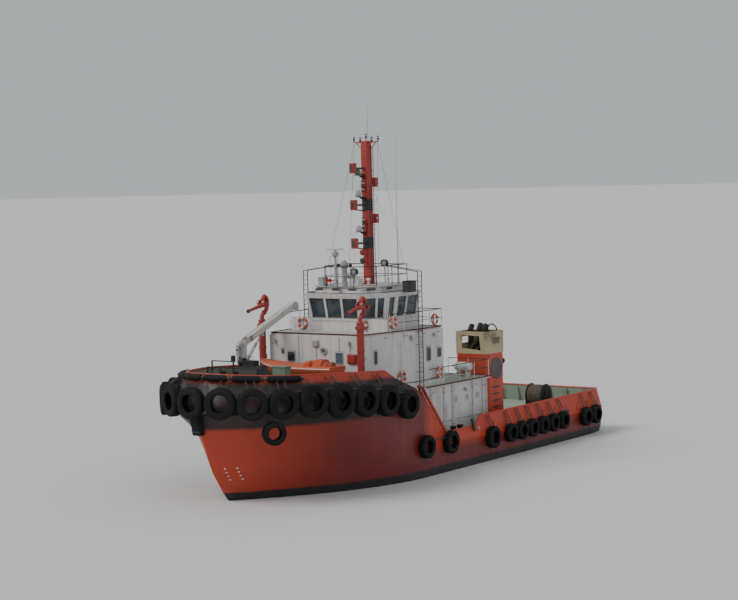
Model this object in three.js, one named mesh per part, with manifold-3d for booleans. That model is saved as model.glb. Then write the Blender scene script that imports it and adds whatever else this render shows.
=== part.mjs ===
// Fire-fighting and towing tug, 37 m over the hull, afloat.
// Frame in millimetres: origin on the centreline, on the waterline, amidships;
// +X forward, +Y to port, +Z up.
import * as THREE from 'three';
import { mergeVertices } from 'three/addons/utils/BufferGeometryUtils.js';
import Module from 'manifold-3d';

const wasm = await Module();
wasm.setup();

// Driving dimensions
const GAP = 0.3; // between pieces that touch
const PIN_GAP = 0.5; // at pins and shaft ends
const RUN_GAP = 6; // between a moving piece and what it passes
const HALF_BEAM = 5500;
const KEEL_Z = -3500;
const MAIN_DECK = 1750;
const FORECASTLE_DECK = 5000;
const BRIDGE_DECK = 8500;
const WINDOW_SILL = 9250;
const WINDOW_HEAD = 10450;
const ROOF_BOTTOM = 10750;
const ROOF_TOP = 11100;
const TRANSOM_X = -17400;
const TRANSOM_HALF = 4600;
const FORECASTLE_AFT = 3000;
const SWEEP_TOP_X = 5440; // where the forecastle side starts to sweep down
const HOUSE_HALF = 4200; // lower deckhouse
const HOUSE_AFT = -3930;
const PLATE = 100; // bulwarks and deck plates
const HOUSE_WALL = 120;
const WHEELHOUSE_WALL = 80;

const MAST_X = 2650;
const MAST_TOP = 19750;
const RADAR = { x: 6100, top: 13200 };
const MONITOR = { x: 8730, y: 3560, riserTop: 9000, pivotZ: 10150 };
const CRANE = { x: 11200, y: -3100, heading: 167.5, pedestalTop: 6600, pivotZ: 8100, luff: 27 };
const PROPELLER = { x: -14000, y: 2300, z: -2200, diameter: 2100 };
const RUDDER_X = -15250;

const COLOURS = {
  hull: 0xa33a26, house: 0xb9b6b4, red: 0x9c2b22, black: 0x17181a, deck: 0x8fa597, glass: 0x1e2f38,
  orange: 0xc25a2c, bronze: 0x9a7b45, steel: 0x8b8f90, winch: 0x2c3133,
};

// Solids

function plain(geometry) {
  const copy = geometry.clone();
  copy.deleteAttribute('normal');
  copy.deleteAttribute('uv');
  return outward(mergeVertices(copy, 1e-3));
}

// Turns the faces round where they point into the solid.
function outward(geometry) {
  const at = geometry.attributes.position;
  const index = geometry.index.array;
  const [a, b, c] = [new THREE.Vector3(), new THREE.Vector3(), new THREE.Vector3()];
  let volume = 0;
  for (let i = 0; i < index.length; i += 3) {
    a.fromBufferAttribute(at, index[i]);
    b.fromBufferAttribute(at, index[i + 1]);
    c.fromBufferAttribute(at, index[i + 2]);
    volume += a.dot(b.cross(c));
  }
  if (volume < 0) {
    for (let i = 0; i < index.length; i += 3) {
      [index[i], index[i + 1]] = [index[i + 1], index[i]];
    }
  }
  return geometry;
}

function toManifold(geometry) {
  const solid = plain(geometry);
  const vertProperties = new Float32Array(solid.attributes.position.array);
  const triVerts = new Uint32Array(solid.index.array);
  return new wasm.Manifold(new wasm.Mesh({ numProp: 3, vertProperties, triVerts }));
}

function fromManifold(solid) {
  const mesh = solid.getMesh();
  const geometry = new THREE.BufferGeometry();
  geometry.setAttribute('position', new THREE.BufferAttribute(mesh.vertProperties, 3));
  geometry.setIndex(new THREE.BufferAttribute(mesh.triVerts, 1));
  return geometry;
}

const join = (...parts) => fromManifold(parts.flat().map(toManifold).reduce((all, next) => all.add(next)));
const cut = (body, ...tools) =>
  fromManifold(tools.flat().map(toManifold).reduce((rest, tool) => rest.subtract(tool), toManifold(body)));
const mirrored = (geometry) => plain(geometry.clone().scale(1, -1, 1));

const box = (x0, x1, y0, y1, z0, z1) =>
  new THREE.BoxGeometry(x1 - x0, y1 - y0, z1 - z0).translate((x0 + x1) / 2, (y0 + y1) / 2, (z0 + z1) / 2);

function extrude(points, depth, holes = []) {
  const shape = new THREE.Shape(points.map(([a, b]) => new THREE.Vector2(a, b)));
  shape.holes = holes.map((hole) => new THREE.Path(hole.map(([a, b]) => new THREE.Vector2(a, b))));
  return new THREE.ExtrudeGeometry(shape, { depth, bevelEnabled: false });
}

// Slabs of one outline: a plan [x, y] between two heights, a side view [x, z] between two y,
// and a section [y, z] between two x.
const slabZ = (points, z0, z1, holes) => extrude(points, z1 - z0, holes).translate(0, 0, z0);
const slabY = (points, y0, y1, holes) =>
  extrude(points, y1 - y0, holes).rotateX(Math.PI / 2).translate(0, y1, 0);
const SECTION = new THREE.Matrix4().set(0, 0, 1, 0, 1, 0, 0, 0, 0, 1, 0, 0, 0, 0, 0, 1);
const slabX = (points, x0, x1) => extrude(points, x1 - x0).applyMatrix4(SECTION).translate(x0, 0, 0);

const circle = (radius, sides, cx = 0, cy = 0) =>
  Array.from({ length: sides }, (_, i) => {
    const turn = ((i + 0.5) / sides) * 2 * Math.PI;
    return [cx + radius * Math.cos(turn), cy + radius * Math.sin(turn)];
  });

const UP = new THREE.Vector3(0, 0, 1);

// Straight bar between two points.
function rod(from, to, diameter, sides = 4) {
  const [a, b] = [new THREE.Vector3(...from), new THREE.Vector3(...to)];
  const along = b.clone().sub(a);
  const bar = extrude(circle(diameter / 2 / Math.cos(Math.PI / sides), sides), along.length());
  const turn = new THREE.Quaternion().setFromUnitVectors(UP, along.normalize());
  return bar.applyQuaternion(turn).translate(...from);
}

// Round bar through a row of points.
function bentPipe(points, diameter, sides, steps) {
  const path = new THREE.CatmullRomCurve3(points.map((p) => new THREE.Vector3(...p)), false, 'centripetal');
  const section = new THREE.Shape(circle(diameter / 2, sides).map(([a, b]) => new THREE.Vector2(a, b)));
  return new THREE.ExtrudeGeometry(section, { steps, extrudePath: path, bevelEnabled: false });
}

// Solid of revolution from [radius, height] points, about Z, X or Y.
function turned(profile, segments, axis = 'z') {
  const lathe = new THREE.LatheGeometry(profile.map(([r, h]) => new THREE.Vector2(r, h)), segments);
  if (axis === 'z') return lathe.rotateX(Math.PI / 2);
  if (axis === 'x') return lathe.rotateZ(-Math.PI / 2);
  return lathe;
}

// Solid through a row of sections with equal counts of [x, y, z] points, each section convex;
// a closed row runs back into its first section.
function loft(sections, closed = false) {
  const count = sections[0].length;
  const index = [];
  for (let row = 0; row < sections.length - (closed ? 0 : 1); row += 1) {
    const after = ((row + 1) % sections.length) * count;
    for (let i = 0; i < count; i += 1) {
      const [a, b] = [row * count + i, row * count + ((i + 1) % count)];
      const [c, d] = [after + i, after + ((i + 1) % count)];
      index.push(a, b, c, b, d, c);
    }
  }
  const last = (sections.length - 1) * count;
  for (let i = 1; i < count - 1 && !closed; i += 1) {
    index.push(0, i + 1, i, last, last + i, last + i + 1);
  }
  const geometry = new THREE.BufferGeometry();
  geometry.setAttribute('position', new THREE.Float32BufferAttribute(sections.flat(2), 3));
  geometry.setIndex(index);
  return geometry;
}

// Convex plan moved inward by a distance, or outward where it is negative;
// a list moves each edge by its own.
function inset(plan, distances) {
  const lines = plan.map(([x0, y0], i) => {
    const distance = Array.isArray(distances) ? distances[i] : distances;
    const [x1, y1] = plan[(i + 1) % plan.length];
    const length = Math.hypot(x1 - x0, y1 - y0);
    const [dx, dy] = [(x1 - x0) / length, (y1 - y0) / length];
    return { x: x0 - dy * distance, y: y0 + dx * distance, dx, dy };
  });
  return lines.map((line, i) => {
    const before = lines[(i + lines.length - 1) % lines.length];
    const cross = before.dx * line.dy - before.dy * line.dx;
    const t = ((line.x - before.x) * line.dy - (line.y - before.y) * line.dx) / cross;
    return [before.x + before.dx * t, before.y + before.dy * t];
  });
}

// Whole plan, anticlockwise from port forward, from its port half listed bow to stern.
const fullPlan = (half) => [...half, ...half.map(([x, y]) => [x, -y]).reverse()];
const atHeight = (plan, z) => plan.map(([x, y]) => [x, y, z]);

// Places and parts

const group = new THREE.Group();

function add(name, geometry, colour, parent = group, metalness = 0) {
  const paint = new THREE.MeshStandardMaterial({ color: colour, roughness: 0.6, metalness });
  const mesh = new THREE.Mesh(plain(geometry), paint);
  mesh.name = name;
  parent.add(mesh);
  return mesh;
}

const SIDES = [
  { name: 'port', side: 1 },
  { name: 'starboard', side: -1 },
];

// Adds a port piece and its mirror image to starboard.
function addPair(name, portGeometry, colour, metalness = 0) {
  add(`${name}_port`, portGeometry, colour, group, metalness);
  add(`${name}_starboard`, mirrored(portGeometry), colour, group, metalness);
}

// Hull

// Plans of the hull by height. stem: foremost x; full: where the bow reaches its beam;
// half: half beam; fine: over 1 sharpens the bow; run: where the stern starts to close;
// stern: aftmost x; tail: half width there.
const [AFT, TAIL] = [TRANSOM_X, TRANSOM_HALF];
const HULL_LEVELS = [
  { z: KEEL_Z, stem: 12800, full: 4000, half: 2500, fine: 1.4, run: -2500, stern: -6500, tail: 1200 },
  { z: -2950, stem: 13500, full: 4200, half: 4300, fine: 1.8, run: -3500, stern: -8300, tail: 2500 },
  { z: -1900, stem: 14700, full: 4400, half: 5150, fine: 1.9, run: -5000, stern: -10300, tail: 3600 },
  { z: -1100, stem: 15600, full: 4600, half: 5350, fine: 2, run: -6500, stern: -12000, tail: 4200 },
  { z: -700, stem: 16000, full: 4700, half: 5400, fine: 2, run: -8000, stern: -14000, tail: 4450 },
  { z: -450, stem: 16200, full: 4800, half: 5420, fine: 2, run: -9500, stern: -17100, tail: 4550 },
  { z: 450, stem: 17000, full: 5200, half: 5480, fine: 2, run: -12000, stern: AFT, tail: TAIL },
  { z: MAIN_DECK, stem: 17900, full: 6000, half: HALF_BEAM, fine: 2, run: -13000, stern: AFT, tail: TAIL },
];
const MAIN_LEVEL = HULL_LEVELS[HULL_LEVELS.length - 1];
const FORECASTLE_LEVELS = [
  MAIN_LEVEL,
  { z: 3600, stem: 18600, full: 7600, half: HALF_BEAM, fine: 1.8 },
  { z: 4300, stem: 18800, full: 8800, half: HALF_BEAM, fine: 1.45 },
  { z: FORECASTLE_DECK, stem: 19000, full: 10200, half: HALF_BEAM, fine: 1 },
];
const DECK_EDGE_LEVEL = FORECASTLE_LEVELS[FORECASTLE_LEVELS.length - 1];
const TYRE_LEVEL = { ...DECK_EDGE_LEVEL, stem: 19150 }; // plan the bow tyres hang against
const BOW_STEPS = 10;
const STERN_STEPS = 6;
const STERN_SQUARENESS = 4;

// Port side of a plan, from the stem to where the beam is full.
function bowCurve({ stem, full, half, fine }, grow = 0) {
  return Array.from({ length: BOW_STEPS + 1 }, (_, i) => {
    const turn = (i / BOW_STEPS) * (Math.PI / 2);
    const x = full + (stem + grow - full) * Math.cos(turn);
    return [x, (half + grow) * Math.sin(turn) ** fine];
  });
}

// Port side of a plan, from where the stern starts to close to the transom.
function sternCurve({ half, run, stern, tail }, grow = 0) {
  return Array.from({ length: STERN_STEPS + 1 }, (_, i) => {
    const turn = (i / STERN_STEPS) * (Math.PI / 2);
    const x = run + (stern - grow - run) * Math.sin(turn) ** (2 / STERN_SQUARENESS);
    return [x, tail + grow + (half - tail) * Math.cos(turn) ** (2 / STERN_SQUARENESS)];
  });
}

const wholePlan = (portHalf) => [...portHalf, ...portHalf.slice(1).map(([x, y]) => [x, -y]).reverse()];
const hullPlan = (level, grow) => wholePlan([...bowCurve(level, grow), ...sternCurve(level, grow)]);
const forecastlePlan = (level) => wholePlan([...bowCurve(level), [FORECASTLE_AFT, level.half]]);

const SKEG = { half: 200, profile: [[-4500, KEEL_Z], [-12600, KEEL_Z], [-13000, -500], [-4500, -2000]] };
const STERN_TUBE = { diameter: 420, from: -9000, to: -13150 };
const RUDDER_TRUNK = { diameter: 420, bottom: -1000 };

function hull() {
  const lower = loft(HULL_LEVELS.map((level) => atHeight(hullPlan(level), level.z)));
  const raised = loft(FORECASTLE_LEVELS.map((level) => atHeight(forecastlePlan(level), level.z)));
  const sweep = [[FORECASTLE_AFT - 100, FORECASTLE_DECK + 100], [FORECASTLE_AFT - 100, 1950],
    [FORECASTLE_AFT, 1950], [SWEEP_TOP_X, 4870], [SWEEP_TOP_X, FORECASTLE_DECK + 100]];
  const skeg = slabY(SKEG.profile, -SKEG.half, SKEG.half);
  const tubes = [PROPELLER.y, -PROPELLER.y].flatMap((y) => [
    rod([STERN_TUBE.from, y, PROPELLER.z], [STERN_TUBE.to, y, PROPELLER.z], STERN_TUBE.diameter, 12),
    rod([RUDDER_X, y, RUDDER_TRUNK.bottom], [RUDDER_X, y, 0], RUDDER_TRUNK.diameter, 12),
  ]);
  return cut(join(lower, raised, skeg, ...tubes),
    slabY(sweep, HOUSE_HALF, HALF_BEAM + 500), slabY(sweep, -HALF_BEAM - 500, -HOUSE_HALF));
}

// Bulwarks

// Height of the forecastle bulwark's top by x.
const SHEER = [[5500, 5080], [6700, 5600], [7500, 5950], [8300, 6520], [9050, 6550], [12250, 6760],
  [16000, 6920], [17400, 7020], [19200, 7230]];
const BOW_BULWARK_LEAN = 0.395; // inboard, by height over the deck

function sheerAt(x) {
  const next = Math.max(1, SHEER.findIndex(([sx]) => sx >= x));
  const [[x0, z0], [x1, z1]] = [SHEER[next - 1], SHEER[next]];
  return z0 + ((z1 - z0) * (x - x0)) / (x1 - x0);
}

// Path of [x, y] with its outboard side on the left, moved outboard by a distance at each point.
function movedOut(path, distanceAt) {
  return path.map(([x, y], i) => {
    const [a, b] = [path[Math.max(0, i - 1)], path[Math.min(path.length - 1, i + 1)]];
    const share = distanceAt(x) / Math.hypot(b[0] - a[0], b[1] - a[1]);
    return [x - (b[1] - a[1]) * share, y + (b[0] - a[0]) * share];
  });
}

// Plate that stands on a path with its inboard side on the right: sections from the foot and head
// paths, offset inboard.
function standingPlate(foot, head, footZ, headZ, thickness) {
  const [footIn, headIn] = [foot, head].map((path) => movedOut(path, () => -thickness));
  return loft(foot.map((point, i) => {
    const z = headZ(head[i][0]);
    return [[...point, footZ], [...head[i], z], [...headIn[i], z], [...footIn[i], footZ]];
  }));
}

const BULWARK_STATIONS = [5500, 6700, 7500, 8300, 9050];

// Path of a forecastle level from port aft, round the bow, to starboard aft.
function roundTheBow(level) {
  const port = [...BULWARK_STATIONS.map((x) => [x, level.half]), ...bowCurve(level).reverse()];
  return [...port, ...port.slice(0, -1).map(([x, y]) => [x, -y]).reverse()];
}

const BULWARK_FOOT = roundTheBow(DECK_EDGE_LEVEL);
const BULWARK_HEAD = movedOut(BULWARK_FOOT, (x) => BOW_BULWARK_LEAN * (FORECASTLE_DECK - sheerAt(x)));

function bowBulwark() {
  return standingPlate(BULWARK_FOOT, BULWARK_HEAD, FORECASTLE_DECK + GAP, (x) => sheerAt(x), PLATE);
}

const AFT_BULWARK = { lowZ: 2300, highZ: 2870, lean: 280, stepX: -900, stepRun: 400 };
const AFT_STATIONS = [FORECASTLE_AFT, AFT_BULWARK.stepX, AFT_BULWARK.stepX - AFT_BULWARK.stepRun,
  -5000, -9000];
const BRACKETS = { from: -2560, pitch: 1530, count: 9, thickness: 30, reach: 250 };

function aftBulwark() {
  const { lowZ, highZ, lean, stepX } = AFT_BULWARK;
  const foot = [...AFT_STATIONS.map((x) => [x, HALF_BEAM]), ...sternCurve(MAIN_LEVEL)].reverse();
  const leaning = { ...MAIN_LEVEL, half: HALF_BEAM - lean, stern: TRANSOM_X + lean };
  const head = [...AFT_STATIONS.map((x) => [x, leaning.half]), ...sternCurve(leaning)].reverse();
  const top = (x) => (x >= stepX ? lowZ : highZ);
  const plate = standingPlate(foot, head, MAIN_DECK + GAP, top, PLATE);
  const inside = HALF_BEAM - PLATE + 10;
  const rib = [[inside, MAIN_DECK + GAP], [inside - BRACKETS.reach, MAIN_DECK + GAP],
    [inside - lean - 60, highZ - 120], [inside - lean, highZ - 40]];
  const ribs = Array.from({ length: BRACKETS.count }, (_, i) => {
    const x = BRACKETS.from - i * BRACKETS.pitch;
    return slabX(rib, x - BRACKETS.thickness / 2, x + BRACKETS.thickness / 2);
  });
  return [plate, ...ribs];
}

// Tyre fenders

// Ring with its axis along Z, a fender tyre's outline.
function tyre(diameter, width, segments) {
  const profile = [[0.28, 0], [0.4, -0.5], [0.5, -0.34], [0.5, 0.34], [0.4, 0.5], [0.28, 0]];
  return turned(profile.map(([r, h]) => [r * diameter, h * width]), segments);
}

// Tyre hung flat against a side at a place { x, y, outX, outY } on it.
function hungTyre({ x, y, outX, outY }, z, diameter, width, segments = 8) {
  const turn = new THREE.Quaternion().setFromUnitVectors(UP, new THREE.Vector3(outX, outY, 0));
  const stand = width / 2 + GAP;
  const ring = tyre(diameter, width, segments).applyQuaternion(turn);
  return ring.translate(x + outX * stand, y + outY * stand, z);
}

// Place on a path of [x, y] that runs aft on the port side: at a distance along it, or at an x.
function placeOn(path, isBefore) {
  let run = 0;
  for (let i = 1; i < path.length; i += 1) {
    const [[x0, y0], [x1, y1]] = [path[i - 1], path[i]];
    const length = Math.hypot(x1 - x0, y1 - y0);
    const share = isBefore(run, length, x0, x1);
    if (share <= 1 || i === path.length - 1) {
      const [alongX, alongY] = [(x1 - x0) / length, (y1 - y0) / length];
      return { x: x0 + (x1 - x0) * share, y: y0 + (y1 - y0) * share, outX: alongY, outY: -alongX };
    }
    run += length;
  }
  return null;
}
const placeAtRun = (path, s) => placeOn(path, (run, length) => (s - run) / length);
const placeAtX = (path, x) => placeOn(path, (run, length, x0, x1) => (x - x0) / (x1 - x0));

// Bow tyres to port by distance along the deck edge from the stem, diameter and height.
const BOW_TYRES = [
  [1600, 1750, 5700], [3200, 1750, 5600], [4850, 1750, 5550], [6550, 1850, 5550], [8350, 1950, 5420],
  [10300, 1850, 5220], [12350, 1850, 5000], [14400, 1700, 4560],
];
const STEM_TYRE = { diameter: 1750, z: 5700 };
const LOW_TYRE = { run: 4300, diameter: 1300, z: 4000, strapTop: 5050 };
const STEM_PAD = { half: 250, z0: 3900, z1: 4950, footX: 19130, headX: 19350 };
const BOW_TYRE_WIDTH = 600;
const BOW_CHAIN_FROM = 2; // the tyres up to this one hang from the roll, a chain links it with the others
const STRAP = 70;
// Roll under the top edge of the leaning bulwark; below: its middle under that edge.
const BOW_ROLL = { radius: 190, below: 130, clear: 10, sides: 8, aftX: 14400 };

// Block on the stem between two heights, its fore face sloping.
function stemPad() {
  const [, low] = FORECASTLE_LEVELS;
  const high = DECK_EDGE_LEVEL;
  const { half, z0, z1, footX, headX } = STEM_PAD;
  const stemAt = (z) => low.stem + ((high.stem - low.stem) * (z - low.z)) / (high.z - low.z) + GAP;
  return slabY([[stemAt(z0), z0], [stemAt(z1), z1], [headX, z1], [footX, z0]], -half, half);
}

// Line along the roll from port aft, round the bow, to starboard aft, outboard of and over its middle.
function alongRoll(out, up) {
  const { radius, below, clear, aftX } = BOW_ROLL;
  const stand = below * BOW_BULWARK_LEAN + radius * Math.hypot(1, BOW_BULWARK_LEAN) + clear;
  const line = movedOut(BULWARK_HEAD, () => stand + out);
  const risen = line.map(([x, y], i) => [x, y, sheerAt(BULWARK_HEAD[i][0]) - below + up]);
  return risen.filter((_, i) => BULWARK_HEAD[i][0] > aftX);
}

function bowRoll() {
  const lines = circle(BOW_ROLL.radius, BOW_ROLL.sides).map(([out, up]) => alongRoll(out, up));
  return loft(lines[0].map((_, i) => lines.map((line) => line[i])));
}

// Strap from a tyre's top to the nearest point of the roll.
function rollStrap(top) {
  const reach = ([x, y]) => Math.hypot(x - top[0], y - top[1]);
  const nearest = alongRoll(0, 0).reduce((best, point) => (reach(point) < reach(best) ? point : best));
  return rod(top, nearest, STRAP);
}

function bowFender() {
  const path = [...bowCurve(TYRE_LEVEL), [FORECASTLE_AFT, TYRE_LEVEL.half]];
  const hang = (place, z, diameter) => hungTyre(place, z, diameter, BOW_TYRE_WIDTH, 10);
  const topOf = ({ x, y, outX, outY }, z, diameter) => [x + outX * 200, y + outY * 200, z + 0.4 * diameter];
  const tyres = BOW_TYRES.map(([s, diameter, z]) => hang(placeAtRun(path, s), z, diameter));
  const tops = BOW_TYRES.map(([s, diameter, z]) => topOf(placeAtRun(path, s), z, diameter));
  const chain = tops.slice(BOW_CHAIN_FROM + 1).map((end, i) => rod(tops[BOW_CHAIN_FROM + i], end, STRAP));
  const toPort = [...tyres, ...chain, ...tops.slice(0, BOW_CHAIN_FROM + 1).map(rollStrap)];
  const stemPlace = { x: TYRE_LEVEL.stem, y: 0, outX: 1, outY: 0 };
  const stem = [hang(stemPlace, STEM_TYRE.z, STEM_TYRE.diameter),
    rollStrap(topOf(stemPlace, STEM_TYRE.z, STEM_TYRE.diameter)), stemPad()];
  const lowPlace = placeAtRun(path, LOW_TYRE.run);
  const [strapX, strapY, strapFoot] = topOf(lowPlace, LOW_TYRE.z, LOW_TYRE.diameter);
  const low = [hang(lowPlace, LOW_TYRE.z, LOW_TYRE.diameter),
    rod([strapX, strapY, strapFoot], [strapX, strapY, LOW_TYRE.strapTop], STRAP * 1.4)];
  return join(bowRoll(), ...stem, ...low, ...toPort, ...toPort.map(mirrored));
}

// Side tyres by x, height of the centre and diameter.
const SIDE_TYRES = [
  [5330, 1850, 1400], [2730, 1800, 1400], [-2070, 1480, 1400], [-4200, 1470, 1200], [-5545, 1470, 1200],
  [-6890, 1470, 1200], [-8235, 1470, 1200], [-9580, 1470, 1200], [-10925, 1470, 1200],
  [-14050, 1340, 1300], [-15450, 1340, 1300],
];
const SIDE_TYRE_WIDTH = 440;

// Point on the aft bulwark's outer face above a place on the deck edge.
function onBulwark({ x, y, outX, outY }, z, headZ) {
  const lean = (AFT_BULWARK.lean * (z - MAIN_DECK)) / (headZ - MAIN_DECK) + 40;
  return [x - outX * lean, y - outY * lean, z];
}

function sideFender() {
  const path = [[SWEEP_TOP_X + 500, HALF_BEAM], ...sternCurve(MAIN_LEVEL)];
  const tyres = SIDE_TYRES.map(([x, z, diameter]) =>
    hungTyre(placeAtX(path, x), z, diameter, SIDE_TYRE_WIDTH));
  const off = SIDE_TYRE_WIDTH / 2;
  const straps = SIDE_TYRES.slice(1).map(([x, z, diameter]) => {
    const place = placeAtX(path, x);
    const head = x > AFT_BULWARK.stepX ? AFT_BULWARK.lowZ : AFT_BULWARK.highZ;
    const foot = [x + place.outX * off, place.y + place.outY * off, z + 0.42 * diameter];
    return rod(foot, onBulwark(place, head - 200, head), STRAP);
  });
  const [[x0, z0], [x1, z1]] = SIDE_TYRES;
  const chain = rod([x0, HALF_BEAM + off, z0 + 550], [x1, HALF_BEAM + off, z1 + 550], STRAP);
  return [...tyres, ...straps, chain];
}

function sideBulwark() {
  return join(...aftBulwark(), ...sideFender());
}

const TRANSOM_PLATE_HALF = TRANSOM_HALF - 25; // between the side bulwarks' ends
const STERN_TYRES = { y: [-3300, -1650, 0, 1650, 3300], z: 1150, diameter: 1300 };
const STERN_POST = { diameter: 460, stand: 250, y: 4250, z0: 500, z1: 2700, holdZ: 2500 };

function transomBulwark() {
  const [x, inside, top] = [TRANSOM_X, TRANSOM_X + AFT_BULWARK.lean, AFT_BULWARK.highZ];
  const profile = [[x, MAIN_DECK + GAP], [inside, top], [inside + PLATE, top], [x + PLATE, MAIN_DECK + GAP]];
  const plate = slabY(profile, -TRANSOM_PLATE_HALF, TRANSOM_PLATE_HALF);
  const { z, diameter } = STERN_TYRES;
  const places = STERN_TYRES.y.map((y) => ({ x, y, outX: -1, outY: 0 }));
  const tyres = places.map((place) => hungTyre(place, z, diameter, SIDE_TYRE_WIDTH));
  const straps = places.map((place) =>
    rod([x - SIDE_TYRE_WIDTH / 2, place.y, z + 0.42 * diameter], onBulwark(place, top - 200, top), STRAP));
  const posts = SIDES.flatMap(({ side }) => {
    const [px, py] = [x - STERN_POST.stand, side * STERN_POST.y];
    const held = onBulwark({ x, y: py, outX: -1, outY: 0 }, STERN_POST.holdZ, top);
    return [rod([px, py, STERN_POST.z0], [px, py, STERN_POST.z1], STERN_POST.diameter, 8),
      rod([px, py, STERN_POST.holdZ], held, STRAP * 2)];
  });
  return join(plate, ...tyres, ...straps, ...posts);
}

// Deckhouses

const DOOR = { width: 600, height: 1820, sill: 60, leaf: 50, set: 10, freeGap: 8 };

// Opening through an aft wall for a door hinged at yHinge, its free edge towards the centreline.
function doorHole(wallX, yHinge, deck) {
  const free = yHinge - Math.sign(yHinge) * DOOR.width;
  const [y0, y1] = [Math.min(yHinge, free), Math.max(yHinge, free)];
  return box(wallX - 500, wallX + 500, y0, y1, deck + DOOR.sill, deck + DOOR.sill + DOOR.height);
}

function doorLeaf(wallX, yHinge, deck) {
  const side = Math.sign(yHinge);
  const ends = [yHinge - side * PIN_GAP, yHinge - side * (DOOR.width - DOOR.freeGap)].sort((a, b) => a - b);
  const [z0, z1] = [deck + DOOR.sill + RUN_GAP, deck + DOOR.sill + DOOR.height - RUN_GAP];
  return box(wallX + DOOR.set, wallX + DOOR.set + DOOR.leaf, ends[0], ends[1], z0, z1);
}

const LOWER_DOOR_Y = 300;
const UPPER_DOOR_Y = 1900;
const WHEELHOUSE_DOOR_Y = 1800;
const UPPER_AFT = 800;
const LOWER_PLAN = fullPlan([[FORECASTLE_AFT - GAP, HOUSE_HALF], [HOUSE_AFT, HOUSE_HALF]]);
const UPPER_PLAN = fullPlan([[8300, 3360], [3450, 4050], [UPPER_AFT, 4050]]);

function house(plan, z0, z1, wall) {
  return slabZ(plan, z0, z1, [inset(plan, wall)]);
}

const BOAT_DECK_EDGE = 150;
const BRIDGE_DECK_EDGE = 80;
// Upright plates beside the wheelhouse's fore corners.
const WING_PLATE = { x: 5900, y0: 2100, y1: 3500, thickness: 60 };

function deckhouses() {
  const lower = house(LOWER_PLAN, MAIN_DECK + GAP, FORECASTLE_DECK - PLATE - GAP, HOUSE_WALL);
  add('lower_deckhouse', cut(lower, doorHole(HOUSE_AFT, LOWER_DOOR_Y, MAIN_DECK)), COLOURS.house);
  const deckPlan = fullPlan([[FORECASTLE_AFT - GAP, HOUSE_HALF + BOAT_DECK_EDGE],
    [HOUSE_AFT - BOAT_DECK_EDGE, HOUSE_HALF + BOAT_DECK_EDGE]]);
  add('boat_deck', slabZ(deckPlan, FORECASTLE_DECK - PLATE, FORECASTLE_DECK), COLOURS.deck);
  const upper = house(UPPER_PLAN, FORECASTLE_DECK + GAP, BRIDGE_DECK - PLATE - GAP, HOUSE_WALL);
  add('upper_deckhouse', cut(upper, doorHole(UPPER_AFT, UPPER_DOOR_Y, FORECASTLE_DECK)), COLOURS.house);
  const { x, y0, y1, thickness } = WING_PLATE;
  const wing = box(x - thickness / 2, x + thickness / 2, y0, y1, BRIDGE_DECK - 50, WINDOW_SILL);
  const bridge = slabZ(inset(UPPER_PLAN, -BRIDGE_DECK_EDGE), BRIDGE_DECK - PLATE, BRIDGE_DECK);
  add('bridge_deck', join(bridge, wing, mirrored(wing)), COLOURS.deck);
  add('deckhouse_door_lower', doorLeaf(HOUSE_AFT, LOWER_DOOR_Y, MAIN_DECK), COLOURS.house);
  add('deckhouse_door_upper', doorLeaf(UPPER_AFT, UPPER_DOOR_Y, FORECASTLE_DECK), COLOURS.house);
}

// Wheelhouse

const WHEELHOUSE_AFT = 1500;
const SILL_PLAN = fullPlan([[6270, 1790], [5010, 2690], [WHEELHOUSE_AFT, 2690]]);
const WINDOW_LEAN = 280;
// Walls that lean, counted round the plan from the port bow corner: all but the aft one.
const LEANS = [1, 1, 0, 1, 1, 1];

// Plan of the wheelhouse's outside at a height, leaning out above the sill.
function wheelhousePlan(z) {
  const lean = WINDOW_LEAN * Math.max(0, (z - WINDOW_SILL) / (ROOF_BOTTOM - WINDOW_SILL));
  return inset(SILL_PLAN, LEANS.map((leans) => -leans * lean));
}

const wheelhouseLoft = (heights, wall) =>
  loft(heights.map((z) => atHeight(inset(wheelhousePlan(z), wall), z)));

// Windows by wall, counted round the plan from the port bow corner, from u0 to u1 along the wall.
const WINDOWS = [
  [0, 0.1, 0.62], [0, 0.7, 0.93],
  [1, 0.1, 0.26], [1, 0.36, 0.6], [1, 0.64, 0.94],
  [2, 0.36, 0.49], [2, 0.51, 0.64],
  [3, 0.06, 0.36], [3, 0.4, 0.64], [3, 0.74, 0.9],
  [4, 0.07, 0.3], [4, 0.38, 0.9],
  [5, 0.04, 0.32], [5, 0.36, 0.64], [5, 0.68, 0.96],
];
const WINDOW_LOW = WINDOW_SILL + 60;
const ROOF_EAVE = 150;

function windowHole([wall, u0, u1]) {
  const corner = (u, z, out) => {
    const plan = wheelhousePlan(z);
    const [[x0, y0], [x1, y1]] = [plan[wall], plan[(wall + 1) % plan.length]];
    const share = out / Math.hypot(x1 - x0, y1 - y0);
    return [x0 + (x1 - x0) * u + (y1 - y0) * share, y0 + (y1 - y0) * u - (x1 - x0) * share, z];
  };
  const ring = (out) => [corner(u0, WINDOW_LOW, out), corner(u1, WINDOW_LOW, out),
    corner(u1, WINDOW_HEAD, out), corner(u0, WINDOW_HEAD, out)];
  return loft([ring(300), ring(-350)]);
}

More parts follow.
